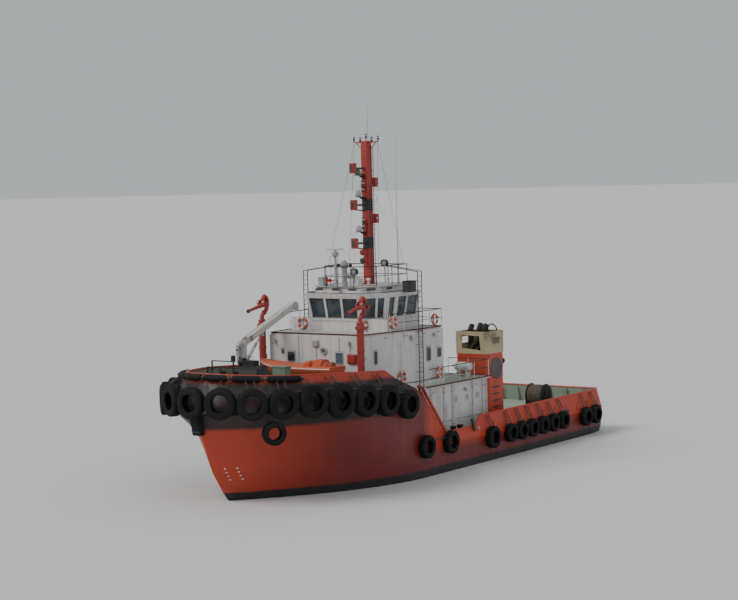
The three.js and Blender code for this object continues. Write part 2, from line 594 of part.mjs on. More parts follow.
function wheelhouse() {
  const [foot, head] = [BRIDGE_DECK + GAP, ROOF_BOTTOM - GAP];
  const shell = cut(wheelhouseLoft([foot, WINDOW_SILL, head], 0),
    wheelhouseLoft([foot - 100, WINDOW_SILL, head + 100], WHEELHOUSE_WALL));
  const doors = SIDES.map(({ side }) => doorHole(WHEELHOUSE_AFT, side * WHEELHOUSE_DOOR_Y, BRIDGE_DECK));
  add('wheelhouse_walls', cut(shell, ...WINDOWS.map(windowHole), ...doors), COLOURS.house);
  const [low, high] = [WINDOW_SILL - 20, WINDOW_HEAD + 100];
  const ring = cut(wheelhouseLoft([low, WINDOW_SILL, high], WHEELHOUSE_WALL + GAP),
    wheelhouseLoft([low - 50, WINDOW_SILL, high + 50], WHEELHOUSE_WALL + GAP + 12));
  add('wheelhouse_glass', cut(ring, ...doors), COLOURS.glass);
  const roof = slabZ(inset(wheelhousePlan(ROOF_BOTTOM), -ROOF_EAVE), ROOF_BOTTOM, ROOF_TOP);
  const cabinet = box(2930, 3630, 3090, 3600, ROOF_BOTTOM - 50, ROOF_TOP + 250);
  add('wheelhouse_roof', join(roof, cabinet), COLOURS.house);
  addPair('wheelhouse_door', doorLeaf(WHEELHOUSE_AFT, WHEELHOUSE_DOOR_Y, BRIDGE_DECK), COLOURS.house);
}

// Helm: a console across the wheelhouse and two seats behind it on one plinth.
const HELM = { x0: 3900, x1: 5500, half: 1350, plinth: 60, consoleAft: 4980, screens: [-900, 0, 900] };
const SEAT = { x: 4250, y: 650, half: 260, height: 640, back: 1230 };

function helmConsole() {
  const { x0, x1, half, plinth, consoleAft } = HELM;
  const floor = BRIDGE_DECK + plinth;
  const side = [[consoleAft, floor - 20], [x1, floor - 20], [x1, floor + 960],
    [consoleAft + 260, floor + 960], [consoleAft - 60, floor + 760], [consoleAft - 60, floor + 700],
    [consoleAft, floor + 660]];
  const screens = HELM.screens.map((y) => slabY([[x1 - 200, floor + 940], [x1 - 120, floor + 940],
    [x1 - 60, floor + 1180], [x1 - 140, floor + 1180]], y - 270, y + 270));
  const seats = SIDES.flatMap(({ side: hand }) => {
    const y = hand * SEAT.y;
    const [aft, top] = [SEAT.x - SEAT.half, floor + SEAT.height];
    return [rod([SEAT.x, y, floor - 20], [SEAT.x, y, top - 60], 160, 8),
      box(aft, SEAT.x + SEAT.half, y - SEAT.half, y + SEAT.half, top - 100, top),
      slabY([[aft, top - 20], [aft + 110, top - 20], [aft + 30, floor + SEAT.back],
        [aft - 80, floor + SEAT.back]], y - SEAT.half + 20, y + SEAT.half - 20)];
  });
  return join(box(x0, x1, -half, half, BRIDGE_DECK + GAP, floor), slabY(side, -half, half), ...screens,
    ...seats);
}

// Mast and roof gear

const MAST = { width: 520, depth: 560, aerialTop: 22200 };
// Arms: height, reach forward of the mast's middle, and the height of the box at the end.
const MAST_ARMS = [
  { z: 18100, reach: 1420, height: 600 }, { z: 15900, reach: 1420, height: 600 },
  { z: 13600, reach: 1420, height: 600 }, { z: 17250, reach: -800, height: 550 },
  { z: 15050, reach: -800, height: 550 },
];
const MAST_SHELVES = { heights: [17700, 16400, 14300], reach: 1150, domeAt: 930 };
const DOME = [[0, -20], [160, -20], [190, 120], [130, 330], [0, 400]];
const YARD = { half: 950, lampsAt: [-880, -420, 420, 880] };

function mast() {
  const [w, d] = [MAST.width / 2, MAST.depth / 2];
  const post = box(MAST_X - d, MAST_X + d, -w, w, ROOF_TOP + GAP, MAST_TOP);
  const arms = MAST_ARMS.flatMap(({ z, reach, height }) => {
    const end = MAST_X + reach;
    return [box(Math.min(end, MAST_X), Math.max(end, MAST_X), -60, 60, z - 60, z + 60),
      box(end - 170, end + 170, -170, 170, z - height / 2, z + height / 2)];
  });
  const shelves = MAST_SHELVES.heights.flatMap((z) => [
    box(MAST_X, MAST_X + MAST_SHELVES.reach, -180, 180, z - 30, z),
    turned(DOME, 8).translate(MAST_X + MAST_SHELVES.domeAt, 0, z),
  ]);
  const yard = box(MAST_X - 40, MAST_X + 40, -YARD.half, YARD.half, MAST_TOP - 120, MAST_TOP - 40);
  const lamps = YARD.lampsAt.map((y) =>
    rod([MAST_X, y, MAST_TOP - 80], [MAST_X, y, MAST_TOP + 320], 150, 6));
  const topLamp = rod([MAST_X, 0, MAST_TOP - 100], [MAST_X, 0, MAST_TOP + 450], 160, 6);
  const aerial = rod([MAST_X, 150, MAST_TOP - 200], [MAST_X, 150, MAST.aerialTop], 40);
  return join(post, ...arms, ...shelves, yard, ...lamps, topLamp, aerial);
}

const BINNACLE = { x: 5200, ballZ: 1250, ballY: 440,
  profile: [[0, GAP], [170, GAP], [170, 1100], [220, 1150], [220, 1400], [120, 1560], [0, 1560]] };
const AERIAL = { x: 2300, y: 1900,
  profile: [[0, GAP], [70, GAP], [70, 1200], [25, 1300], [16, 9300], [0, 9300]] };

function roofGear() {
  const { x, top } = RADAR;
  const post = rod([x, 0, ROOF_TOP + GAP], [x, 0, top - 250], 140, 8);
  const gearbox = box(x - 160, x + 160, -150, 150, top - 300, top);
  add('radar_pedestal', join(post, gearbox), COLOURS.steel);
  const hub = turned([[0, PIN_GAP], [90, PIN_GAP], [90, 140], [0, 140]], 10).translate(x, 0, top);
  const bar = box(x - 60, x + 60, -620, 620, top + 110, top + 260);
  add('radar_scanner', join(hub, bar), COLOURS.steel);
  const { ballY, ballZ } = BINNACLE;
  const arms = [-1, 1].map((side) => rod([0, 0, ballZ], [0, side * ballY, ballZ], 60));
  const balls = [-1, 1].map((side) => new THREE.SphereGeometry(120, 6, 4).translate(0, side * ballY, ballZ));
  const binnacle = join(turned(BINNACLE.profile, 10), ...arms, ...balls);
  add('compass_binnacle', binnacle.translate(BINNACLE.x, 0, ROOF_TOP), COLOURS.steel);
  add('whip_aerial', turned(AERIAL.profile, 6).translate(AERIAL.x, AERIAL.y, ROOF_TOP), COLOURS.steel);
}

// Rails

const POST = 44;

// Square bar at one height along a path of [x, y], mitred at its corners.
function mitredBar(path, z, size, closed) {
  const count = path.length;
  const unit = ([x0, y0], [x1, y1]) => new THREE.Vector2(x1 - x0, y1 - y0).normalize();
  return loft(path.map(([x, y], i) => {
    const before = closed || i > 0 ? unit(path[(i + count - 1) % count], path[i]) : unit(path[0], path[1]);
    const after = closed || i < count - 1 ? unit(path[i], path[(i + 1) % count]) : before;
    const share = size / 2 / (1 + before.dot(after));
    const [ox, oy] = [-(before.y + after.y) * share, (before.x + after.x) * share];
    return [[x - ox, y - oy, z - size / 2], [x + ox, y + oy, z - size / 2], [x + ox, y + oy, z + size / 2],
      [x - ox, y - oy, z + size / 2]];
  }), closed);
}

// Rail of posts and two bars along a path of [x, y] on a deck.
function railing(path, deck, height, pitch, closed = false) {
  const corners = closed ? [...path, path[0]] : path;
  const feet = corners.slice(1).flatMap(([x1, y1], i) => {
    const [x0, y0] = corners[i];
    const bays = Math.max(1, Math.round(Math.hypot(x1 - x0, y1 - y0) / pitch));
    const [dx, dy] = [(x1 - x0) / bays, (y1 - y0) / bays];
    return Array.from({ length: bays }, (_, k) => [x0 + dx * k, y0 + dy * k]);
  });
  if (!closed) feet.push(corners[corners.length - 1]);
  const posts = feet.map(([x, y]) => rod([x, y, deck + GAP], [x, y, deck + height], POST));
  const bars = [[height, POST + 8], [height / 2, POST - 8]];
  return [...bars.map(([up, size]) => mitredBar(path, deck + up, size, closed)), ...posts];
}

const BRIDGE_RAIL = [[5900, 3650], [3450, 4000], [860, 4000], [860, -4000], [3450, -4000], [5900, -3650]];
const ROOF_RAIL = [[5700, 1000], [4600, 1900], [1650, 2100], [1650, -2100], [4600, -1900], [5700, -1000]];
const BOAT_RAIL = [[2800, 4280], [HOUSE_AFT - 70, 4280], [HOUSE_AFT - 70, 1300]];
const RAIL_HEIGHT = { bridge: 1050, roof: 1180, boatDeck: 1050 };
const SEARCHLIGHTS = [[5650, 1060, 12000], [3800, 1966, 12450]];
const SEARCHLIGHT = [[0, -160], [190, -160], [210, 160], [0, 160]];

function rails() {
  add('bridge_rail', join(...railing(BRIDGE_RAIL, BRIDGE_DECK, RAIL_HEIGHT.bridge, 1600)), COLOURS.house);
  const lamps = SEARCHLIGHTS.flatMap(([x, y, z]) => [
    rod([x, y, z - 250], [x, y, z + 50], 60), turned(SEARCHLIGHT, 8, 'x').translate(x, y, z)]);
  const roof = railing(ROOF_RAIL, ROOF_TOP, RAIL_HEIGHT.roof, 1400, true);
  add('roof_rail', join(...roof, ...lamps), COLOURS.black);
  addPair('boat_deck_rail', join(...railing(BOAT_RAIL, FORECASTLE_DECK, RAIL_HEIGHT.boatDeck, 1700)),
    COLOURS.house);
}

// Funnels

const FUNNEL = { x0: -6400, x1: -4400, y0: 1600, y1: 4000, corner: 200, top: 7700 };
const EXHAUSTS = { diameter: 340, bendZ: 120, rise: 350, aft: 200,
  at: [[-5000, 2400], [-5400, 3200], [-5900, 2500]] };
const FUNNEL_DISC = { x: -5400, z: 5350, profile: [[0, 0], [680, 0], [680, 60], [0, 60]] };

function funnel() {
  const { x0, x1, y0, y1, corner, top } = FUNNEL;
  const plan = [[x0, y0 + corner], [x0 + corner, y0], [x1 - corner, y0], [x1, y0 + corner],
    [x1, y1 - corner], [x1 - corner, y1], [x0 + corner, y1], [x0, y1 - corner]];
  const { diameter, bendZ, rise, aft } = EXHAUSTS;
  const casing = slabZ(plan, MAIN_DECK + GAP, top);
  const pipes = EXHAUSTS.at.map(([x, y]) =>
    bentPipe([[x, y, top - 200], [x, y, top + bendZ], [x - aft, y, top + rise]], diameter, 8, 4));
  const disc = turned(FUNNEL_DISC.profile, 20, 'y').translate(FUNNEL_DISC.x, y1 - 10, FUNNEL_DISC.z);
  return join(casing, ...pipes, disc);
}

// Fire monitors

const MONITOR_PIPE = 255;
const YOKE = { inner: 160, thickness: 60 };
const BARREL = { droop: Math.PI / 15, profile: [[0, -160], [130, -160], [130, 250], [105, 300], [85, 1150],
  [120, 1250], [120, 1330], [0, 1330]] };

function monitors() {
  const { x, y, riserTop, pivotZ } = MONITOR;
  const riser = join(rod([x, y, FORECASTLE_DECK + GAP], [x, y, riserTop - 60], 420, 12),
    rod([x, y, riserTop - 90], [x, y, riserTop], 620, 12),
    box(x - 350, x + 350, y - 350, y + 350, FORECASTLE_DECK + GAP, FORECASTLE_DECK + 60));
  addPair('monitor_riser', riser, COLOURS.red);
  // Pipe from the swivel, aft of the barrel and over it, down to the yoke's bridge.
  const bend = [[0, riserTop + 250], [-60, riserTop + 600], [-380, riserTop + 800], [-520, riserTop + 1150],
    [-480, pivotZ + 380], [-250, pivotZ + 480], [-120, pivotZ + 380], [-120, pivotZ + 280]];
  const cheek = box(x - 220, x + 120, y + YOKE.inner, y + YOKE.inner + YOKE.thickness,
    pivotZ - 110, pivotZ + 330);
  const half = YOKE.inner + YOKE.thickness;
  const base = join(rod([x, y, riserTop + PIN_GAP], [x, y, riserTop + 90], 560, 12),
    rod([x, y, riserTop + 50], [x, y, riserTop + 320], 420, 12),
    bentPipe(bend.map(([dx, z]) => [x + dx, y, z]), MONITOR_PIPE, 8, 12),
    cheek, cheek.clone().translate(0, -2 * YOKE.inner - YOKE.thickness, 0),
    box(x - 220, x - 20, y - half, y + half, pivotZ + 230, pivotZ + 330));
  addPair('monitor_base', base, COLOURS.red);
  const reach = YOKE.inner - PIN_GAP;
  const trunnion = rod([x, y - reach, pivotZ], [x, y + reach, pivotZ], 200, 12);
  const barrel = turned(BARREL.profile, 10, 'x').rotateY(BARREL.droop).translate(x, y, pivotZ);
  addPair('monitor_barrel', join(trunnion, barrel), COLOURS.red);
}

// Rescue boat crane

const HEAD = { half: 170, top: CRANE.pivotZ + 200 };
const CHEEK = { inner: HEAD.half + RUN_GAP, outer: HEAD.half + RUN_GAP + 40 };
// Lugs for the cylinder: distance from the column's middle, height, and the cylinder's half width.
const LUG = { x: 350, z: 7100, inner: 60 };
const EYE = { along: 1500, below: 250, inner: 70 };
const PIN_RADIUS = 60;

// Plates to port and starboard of the middle, between two distances from it.
function pairOfPlates(outline, inner, outer) {
  return [slabY(outline, inner, outer), slabY(outline, -outer, -inner)];
}

const rectangle = (a0, a1, b0, b1) => [[a0, b0], [a1, b0], [a1, b1], [a0, b1]];

function crane() {
  const frame = new THREE.Group();
  frame.position.set(CRANE.x, CRANE.y, 0);
  frame.rotation.z = THREE.MathUtils.degToRad(CRANE.heading);
  group.add(frame);
  const top = CRANE.pedestalTop;
  const foot = turned([[0, FORECASTLE_DECK + GAP], [450, FORECASTLE_DECK + GAP], [450, 5060], [300, 5060],
    [300, top - 80], [400, top - 80], [400, top], [0, top]], 12);
  add('crane_pedestal', foot, COLOURS.house, frame);
  const post = turned([[0, top + PIN_GAP], [400, top + PIN_GAP], [400, top + 70], [230, top + 120],
    [230, 7500], [0, 7500]], 12);
  const pivotReach = CHEEK.inner - PIN_GAP;
  const column = join(post,
    box(-200, 200, -HEAD.half, HEAD.half, 7300, HEAD.top),
    rod([0, -pivotReach, CRANE.pivotZ], [0, pivotReach, CRANE.pivotZ], 200, 12),
    ...pairOfPlates(rectangle(0, LUG.x + 90, LUG.z - 130, LUG.z + 130), LUG.inner, LUG.inner + 50));
  add('crane_column', column, COLOURS.house, frame);
  const arm = new THREE.Group();
  arm.position.z = CRANE.pivotZ;
  arm.rotation.y = -THREE.MathUtils.degToRad(CRANE.luff);
  frame.add(arm);
  const boom = join(box(480, 4500, -CHEEK.outer, CHEEK.outer, -150, 170),
    ...pairOfPlates([[-150, -150], [700, -170], [700, 170], [-150, 150]], CHEEK.inner, CHEEK.outer),
    ...pairOfPlates(rectangle(1400, 1600, -370, -100), EYE.inner, EYE.inner + 50),
    box(4350, 4700, -90, 90, -330, 130), rod([4560, 0, -500], [4560, 0, -300], 90, 6));
  add('crane_boom', boom, COLOURS.house, arm);
  cylinder(frame);
}

// Luffing cylinder from the column's lug to the boom's eye, its rod's eye left free of its pin.
function cylinder(frame) {
  const lift = THREE.MathUtils.degToRad(CRANE.luff);
  const eyeX = EYE.along * Math.cos(lift) + EYE.below * Math.sin(lift);
  const eyeZ = CRANE.pivotZ + EYE.along * Math.sin(lift) - EYE.below * Math.cos(lift);
  const closed = Math.hypot(eyeX - LUG.x, eyeZ - LUG.z);
  const ram = new THREE.Group();
  ram.position.set(LUG.x, 0, LUG.z);
  ram.rotation.y = -Math.atan2(eyeZ - LUG.z, eyeX - LUG.x);
  frame.add(ram);
  const [tailHalf, eyeHalf] = [LUG.inner - PIN_GAP, EYE.inner - PIN_GAP];
  const tube = turned([[0, 200], [80, 200], [80, 1180], [47, 1180], [47, 480], [0, 480]], 10, 'x');
  const tail = box(-55, 240, -tailHalf, tailHalf, -PIN_RADIUS, PIN_RADIUS);
  add('crane_cylinder', join(tube, tail), COLOURS.house, ram);
  const eye = box(closed - 60, closed + 55, -eyeHalf, eyeHalf, -PIN_RADIUS, PIN_RADIUS);
  const ramRod = rod([520, 0, 0], [closed - 20, 0, 0], 80, 10);
  add('crane_rod', join(ramRod, eye), COLOURS.steel, ram, 0.8);
}

// Winches

// Across the ship: centre x and y, deck, shaft height over it, radii of the drum's core and flanges,
// half length of the drum; head is the radius of a warping head outside each cheek, or 0 for none.
const WINCHES = [
  { name: 'windlass', x: 14200, y: 0, deck: FORECASTLE_DECK, shaft: 1400, core: 360, flange: 750, half: 800,
    head: 260, colour: COLOURS.winch },
  { name: 'tow_winch', x: -8700, y: 0, deck: MAIN_DECK, shaft: 1100, core: 420, flange: 900, half: 850,
    head: 0, colour: COLOURS.winch },
  { name: 'hawser_reel', x: -13300, y: 2500, deck: MAIN_DECK, shaft: 950, core: 560, flange: 780, half: 600,
    head: 0, colour: COLOURS.black },
];
const SHAFT = 100; // radius
const WINCH_CHEEK = 110;

function winch({ name, x, y, deck, shaft, core, flange, half, head, colour }) {
  const z = deck + shaft;
  const inner = half + RUN_GAP;
  const outer = inner + WINCH_CHEEK;
  const hole = circle(SHAFT + 4, 12, x, z);
  const cheek = [[x - flange * 0.9, deck + 60], [x + flange * 0.9, deck + 60], [x + 260, z + 220],
    [x - 260, z + 220]];
  const bed = box(x - flange, x + flange, y - outer, y + outer, deck + GAP, deck + 80);
  const cheeks = [slabY(cheek, y - outer, y - inner, [hole]), slabY(cheek, y + inner, y + outer, [hole])];
  add(`${name}_frame`, join(bed, ...cheeks), colour);
  const end = outer + (head > 0 ? 420 : 40);
  const headFoot = outer + RUN_GAP;
  const outside = head > 0
    ? [[SHAFT, headFoot], [head, headFoot + 20], [head * 0.7, outer + 200], [head, end - 20], [head, end]]
    : [[SHAFT, end]];
  const halfDrum = [[core, half - 60], [flange, half - 60], [flange, half], [SHAFT, half], ...outside,
    [0, end]];
  const otherHalf = halfDrum.map(([r, h]) => [r, -h]).reverse();
  add(`${name}_drum`, turned([...otherHalf, ...halfDrum], 12, 'y').translate(x, y, z), colour);
}

// Deck fittings

const BOLLARD = [[0, 0], [160, 0], [160, 600], [210, 620], [210, 700], [0, 700]];

function doubleBollard(x, y, deck) {
  const posts = [-380, 380].map((dx) => turned(BOLLARD, 10).translate(x + dx, y, deck + 30));
  return join(box(x - 650, x + 650, y - 240, y + 240, deck + GAP, deck + 60), ...posts);
}

const BITT = { x: 16200, postY: 450, height: 2100, barHalf: 850, barZ: 1650 };
const RAFT = { x: -3250, y: 2900, up: 620,
  profile: [[0, -560], [230, -560], [290, -500], [290, 500], [230, 560], [0, 560]] };

function fittings() {
  addPair('bollard_aft', doubleBollard(-15700, 3750, MAIN_DECK), COLOURS.black);
  addPair('bollard_mid', doubleBollard(600, 4750, MAIN_DECK), COLOURS.black);
  const deck = FORECASTLE_DECK;
  const posts = [-BITT.postY, BITT.postY].map((y) =>
    rod([BITT.x, y, deck + GAP], [BITT.x, y, deck + BITT.height], 300, 10));
  const barZ = deck + BITT.barZ;
  const bar = rod([BITT.x, -BITT.barHalf, barZ], [BITT.x, BITT.barHalf, barZ], 240, 8);
  add('bow_bitt', join(...posts, bar), COLOURS.black);
  const raft = turned(RAFT.profile, 12, 'y').translate(RAFT.x, RAFT.y, deck + RAFT.up);
  const cradle = [RAFT.y - 330, RAFT.y + 330].map((y) =>
    box(RAFT.x - 270, RAFT.x + 270, y - 30, y + 30, deck + GAP, deck + 420));
  addPair('liferaft', join(raft, ...cradle), COLOURS.house);
}

// Rescue boat, stowed across the forecastle on two chocks.
// Stations: distance along, half breadth, keel and gunwale height.
const BOAT_STATIONS = [
  { s: -2600, half: 780, keel: 150, top: 950 }, { s: -900, half: 950, keel: 60, top: 950 },
  { s: 900, half: 950, keel: 60, top: 980 }, { s: 2100, half: 680, keel: 220, top: 1100 },
  { s: 2850, half: 160, keel: 700, top: 1250 },
];
// Cover stations: distance along, half breadth and top height.
const COVER_STATIONS = [
  { s: -2200, half: 500, top: 930 }, { s: -1200, half: 760, top: 1300 }, { s: 400, half: 760, top: 1250 },
  { s: 1900, half: 400, top: 1080 },
];
const BOAT = { x: 10000, y: 200, z: 5900, chocksAt: [-1500, 1300] };

function rescueBoat() {
  const place = (s, outline) => outline.map(([dx, dz]) => [BOAT.x + dx, BOAT.y - s, BOAT.z + dz]);
  const body = loft(BOAT_STATIONS.map(({ s, half, keel, top }) => {
    const bilge = keel + (top - keel) * 0.45;
    return place(s, [[0, keel], [-half * 0.8, bilge], [-half, top - 150], [-half * 0.85, top],
      [half * 0.85, top], [half, top - 150], [half * 0.8, bilge]]);
  }));
  const cover = loft(COVER_STATIONS.map(({ s, half, top }) =>
    place(s, [[-half, 900], [-half * 0.4, top], [half * 0.4, top], [half, 900]])));
  const chocks = BOAT.chocksAt.map((dy) => box(BOAT.x - 700, BOAT.x + 700, BOAT.y + dy - 60, BOAT.y + dy + 60,
    FORECASTLE_DECK + GAP, BOAT.z + 350));
  return join(body, cover, ...chocks);
}

// Propellers and rudders

// Blade sections: radius, half chord, pitch angle from the disc's plane, half thickness.
const BLADE = [
  { radius: 120, chord: 210, pitch: 58, thick: 42 }, { radius: 600, chord: 330, pitch: 36, thick: 26 },
  { radius: PROPELLER.diameter / 2 - 20, chord: 200, pitch: 24, thick: 10 },
];
const BLADES = 4;

function propeller() {
  const { x, y, z } = PROPELLER;
  const face = STERN_TUBE.to - PIN_GAP - x;
  const hub = turned([[0, -420], [110, -380], [210, -150], [210, face], [0, face]], 12, 'x');
  const blade = loft(BLADE.map(({ radius, chord, pitch, thick }) => {
    const turn = THREE.MathUtils.degToRad(pitch);
    return [[chord, 0], [0, thick], [-chord, 0], [0, -thick]].map(([c, t]) =>
      [c * Math.sin(turn) - t * Math.cos(turn), c * Math.cos(turn) + t * Math.sin(turn), radius]);
  }));
  const blades = Array.from({ length: BLADES }, (_, i) =>
    blade.clone().rotateX((i * 2 * Math.PI) / BLADES + 0.3));
  return join(hub, ...blades).translate(x, y, z);
}

const NOZZLE_SIDES = 20;
// The hull's underside lowered by the touching gap, to trim what hangs below it.
const HULL_UNDERSIDE = loft(HULL_LEVELS.slice(2, 7).map((level) =>
  atHeight(hullPlan(level, GAP), level.z - GAP)));

function nozzle() {
  const { x, y, z, diameter } = PROPELLER;
  const inner = (diameter / 2 + 10) / Math.cos(Math.PI / NOZZLE_SIDES);
  const section = [[60, 600], [0, 250], [0, -250], [30, -600], [90, -600], [190, 200], [190, 500], [60, 600]];
  const ring = turned(section.map(([out, h]) => [inner + out, h]), NOZZLE_SIDES, 'x').translate(x, y, z);
  const head = box(x - 350, x + 350, y - 180, y + 180, z + inner + 60, 0);
  return cut(join(ring, head), HULL_UNDERSIDE);
}

const RUDDER = { front: 350, rear: 1150, half: 130, top: -1150, bottom: -3350, stock: 240 };

function rudder() {
  const { front, rear, half } = RUDDER;
  const y = PROPELLER.y;
  const section = [[front, 0], [front * 0.6, half], [-rear * 0.3, half], [-rear, 15], [-rear, -15],
    [-rear * 0.3, -half], [front * 0.6, -half]];
  const blade = slabZ(section.map(([dx, dy]) => [RUDDER_X + dx, y + dy]), RUDDER.bottom, RUDDER.top);
  const stock = rod([RUDDER_X, y, RUDDER.top - 200], [RUDDER_X, y, RUDDER_TRUNK.bottom - PIN_GAP],
    RUDDER.stock, 12);
  return join(blade, stock);
}

add('hull', hull(), COLOURS.hull);
add('bow_bulwark', bowBulwark(), COLOURS.hull);
add('bow_fender', bowFender(), COLOURS.black);
addPair('side_bulwark', sideBulwark(), COLOURS.hull);
add('transom_bulwark', transomBulwark(), COLOURS.hull);
deckhouses();
wheelhouse();
add('helm_console', helmConsole(), COLOURS.winch);
add('mast', mast(), COLOURS.red);
roofGear();
rails();
addPair('funnel', funnel(), COLOURS.red);
monitors();
crane();
WINCHES.forEach(winch);
fittings();
add('rescue_boat', rescueBoat(), COLOURS.orange);
addPair('propeller', propeller(), COLOURS.bronze, 0.7);
addPair('nozzle', nozzle(), COLOURS.hull);
addPair('rudder', rudder(), COLOURS.hull);

export default group;
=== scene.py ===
"""Looks of the fire-fighting and towing tug: finer pieces, their materials, the camera and the light.

Lengths are in metres in the ship's frame: +X forward, +Y to port, +Z up, z = 0 at the waterline.
"""

import math
import random
from collections import namedtuple
from contextlib import contextmanager

import bmesh
import bpy
from mathutils import Matrix, Vector


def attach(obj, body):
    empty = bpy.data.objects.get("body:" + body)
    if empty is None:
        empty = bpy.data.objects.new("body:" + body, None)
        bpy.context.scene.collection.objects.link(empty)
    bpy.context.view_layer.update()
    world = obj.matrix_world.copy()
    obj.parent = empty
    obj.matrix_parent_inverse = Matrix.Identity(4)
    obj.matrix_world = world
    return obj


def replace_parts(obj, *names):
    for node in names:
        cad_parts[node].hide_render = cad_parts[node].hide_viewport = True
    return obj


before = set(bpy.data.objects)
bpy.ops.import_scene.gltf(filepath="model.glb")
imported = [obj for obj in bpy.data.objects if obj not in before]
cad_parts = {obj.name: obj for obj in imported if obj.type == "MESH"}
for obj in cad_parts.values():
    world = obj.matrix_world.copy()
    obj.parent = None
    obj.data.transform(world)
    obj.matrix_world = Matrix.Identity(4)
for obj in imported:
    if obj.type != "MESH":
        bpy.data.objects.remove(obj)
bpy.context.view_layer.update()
SIDES = {"port": 1, "starboard": -1}
HANDS = (-1, 1)
DECK, FORE_DECK, BRIDGE, SILL, ROOF = 1.75, 5.0, 8.5, 9.25, 11.1
AHEAD, ASTERN, TO_PORT, UPWARD = (1, 0, 0), (-1, 0, 0), (0, 1, 0), (0, 0, 1)
SEAT = 0.0003  # gap between a solid and what it stands on
OPEN = (None, None)


# Materials

GRIME = (0.085, 0.07, 0.055)
RUST = (0.16, 0.055, 0.02)


class Look:
    """A procedural material on the ship's own coordinates."""

    def __init__(self, name, colour, rough=0.5, metal=0.0):
        self.material = bpy.data.materials.new(name)
        self.material.use_nodes = True
        self.tree = self.material.node_tree
        self.shader = self.tree.nodes["Principled BSDF"]
        self.shader.inputs["Metallic"].default_value = metal
        self.place = self.node("ShaderNodeTexCoord").outputs["Object"]
        self.colour = colour
        self.rough = rough

    def feed(self, socket, value):
        if isinstance(value, bpy.types.NodeSocket):
            self.tree.links.new(value, socket)
        elif socket.type == "RGBA":
            socket.default_value = (*value, 1.0)
        else:
            socket.default_value = value

    def node(self, kind, inputs=None, **settings):
        made = self.tree.nodes.new(kind)
        for key, value in settings.items():
            setattr(made, key, value)
        for key, value in (inputs or {}).items():
            self.feed(made.inputs[key], value)
        return made

    def axis(self, letter):
        return self.node("ShaderNodeSeparateXYZ", {"Vector": self.place}).outputs[letter]

    def noise(self, scale, stretch=(1.0, 1.0, 1.0), detail=5.0, rough=0.6, shift=0.0):
        at = self.node("ShaderNodeMapping", {"Vector": self.place, "Scale": stretch,
                                             "Location": (shift,) * 3})
        made = {"Vector": at.outputs["Vector"], "Scale": scale, "Detail": detail, "Roughness": rough}
        return self.node("ShaderNodeTexNoise", made).outputs["Fac"]

    def step(self, value, low, high, to_low=0.0, to_high=1.0):
        """Smooth rise from one value to another where a value passes from low to high."""
        made = {"Value": value, "From Min": low, "From Max": high, "To Min": to_low, "To Max": to_high}
        return self.node("ShaderNodeMapRange", made, interpolation_type="SMOOTHSTEP").outputs["Result"]

    def math(self, operation, a, b):
        return self.node("ShaderNodeMath", {0: a, 1: b}, operation=operation).outputs[0]

    def over(self, share, colour):
        """Lays another colour over the present one, by a share."""
        made = self.node("ShaderNodeMix", {0: share, 6: self.colour, 7: colour}, data_type="RGBA")
        self.colour = made.outputs[2]
        return self

    def worn(self, share, rough):
        """Lets the roughness go to another value, by a share."""
        made = self.node("ShaderNodeMix", {0: share, 2: self.rough, 3: rough}, data_type="FLOAT")
        self.rough = made.outputs[0]
        return self

    def bump(self, height, strength, distance):
        made = {"Height": height, "Strength": strength, "Distance": distance}
        self.feed(self.shader.inputs["Normal"], self.node("ShaderNodeBump", made).outputs["Normal"])
        return self

    def set(self, **values):
        for key, value in values.items():
            self.feed(self.shader.inputs[key.replace("_", " ")], value)
        return self

    def made(self):
        self.feed(self.shader.inputs["Base Color"], self.colour)
        self.feed(self.shader.inputs["Roughness"], self.rough)
        return self.material


def paint(name, colour, faded, rough=0.45, streaks=0.3, rust=0.4, grime=0.25, dents=0.012, metal=0.0):
    """Ship's paint: faded patches, dirt that runs down, rust that breaks through, slightly wavy plate."""
    look = Look(name, colour, rough, metal)
    look.over(look.step(look.noise(0.5, detail=7.0), 0.42, 0.68, 0.0, 0.75), faded)
    run = look.noise(1.0, (3.2, 3.2, 0.22), 7.0, 0.62)
    look.over(look.step(run, 0.5, 0.72, 0.0, streaks), GRIME)
    look.over(look.step(look.noise(7.0, detail=8.0, rough=0.7), 0.55, 0.75, 0.0, grime), GRIME)
    patches = look.step(look.noise(0.7, shift=3.0), 0.48, 0.66)
    spots = look.step(look.noise(2.6, (1.0, 1.0, 0.45), 9.0, 0.72, 7.0), 0.56, 0.66)
    broken = look.math("MULTIPLY", look.math("MULTIPLY", patches, spots), rust)
    look.over(broken, RUST).worn(broken, 0.85)
    look.worn(look.step(run, 0.45, 0.7, 0.0, 0.6), 0.75)
    return look.bump(look.noise(1.6, detail=6.0, rough=0.55), 0.5, dents)


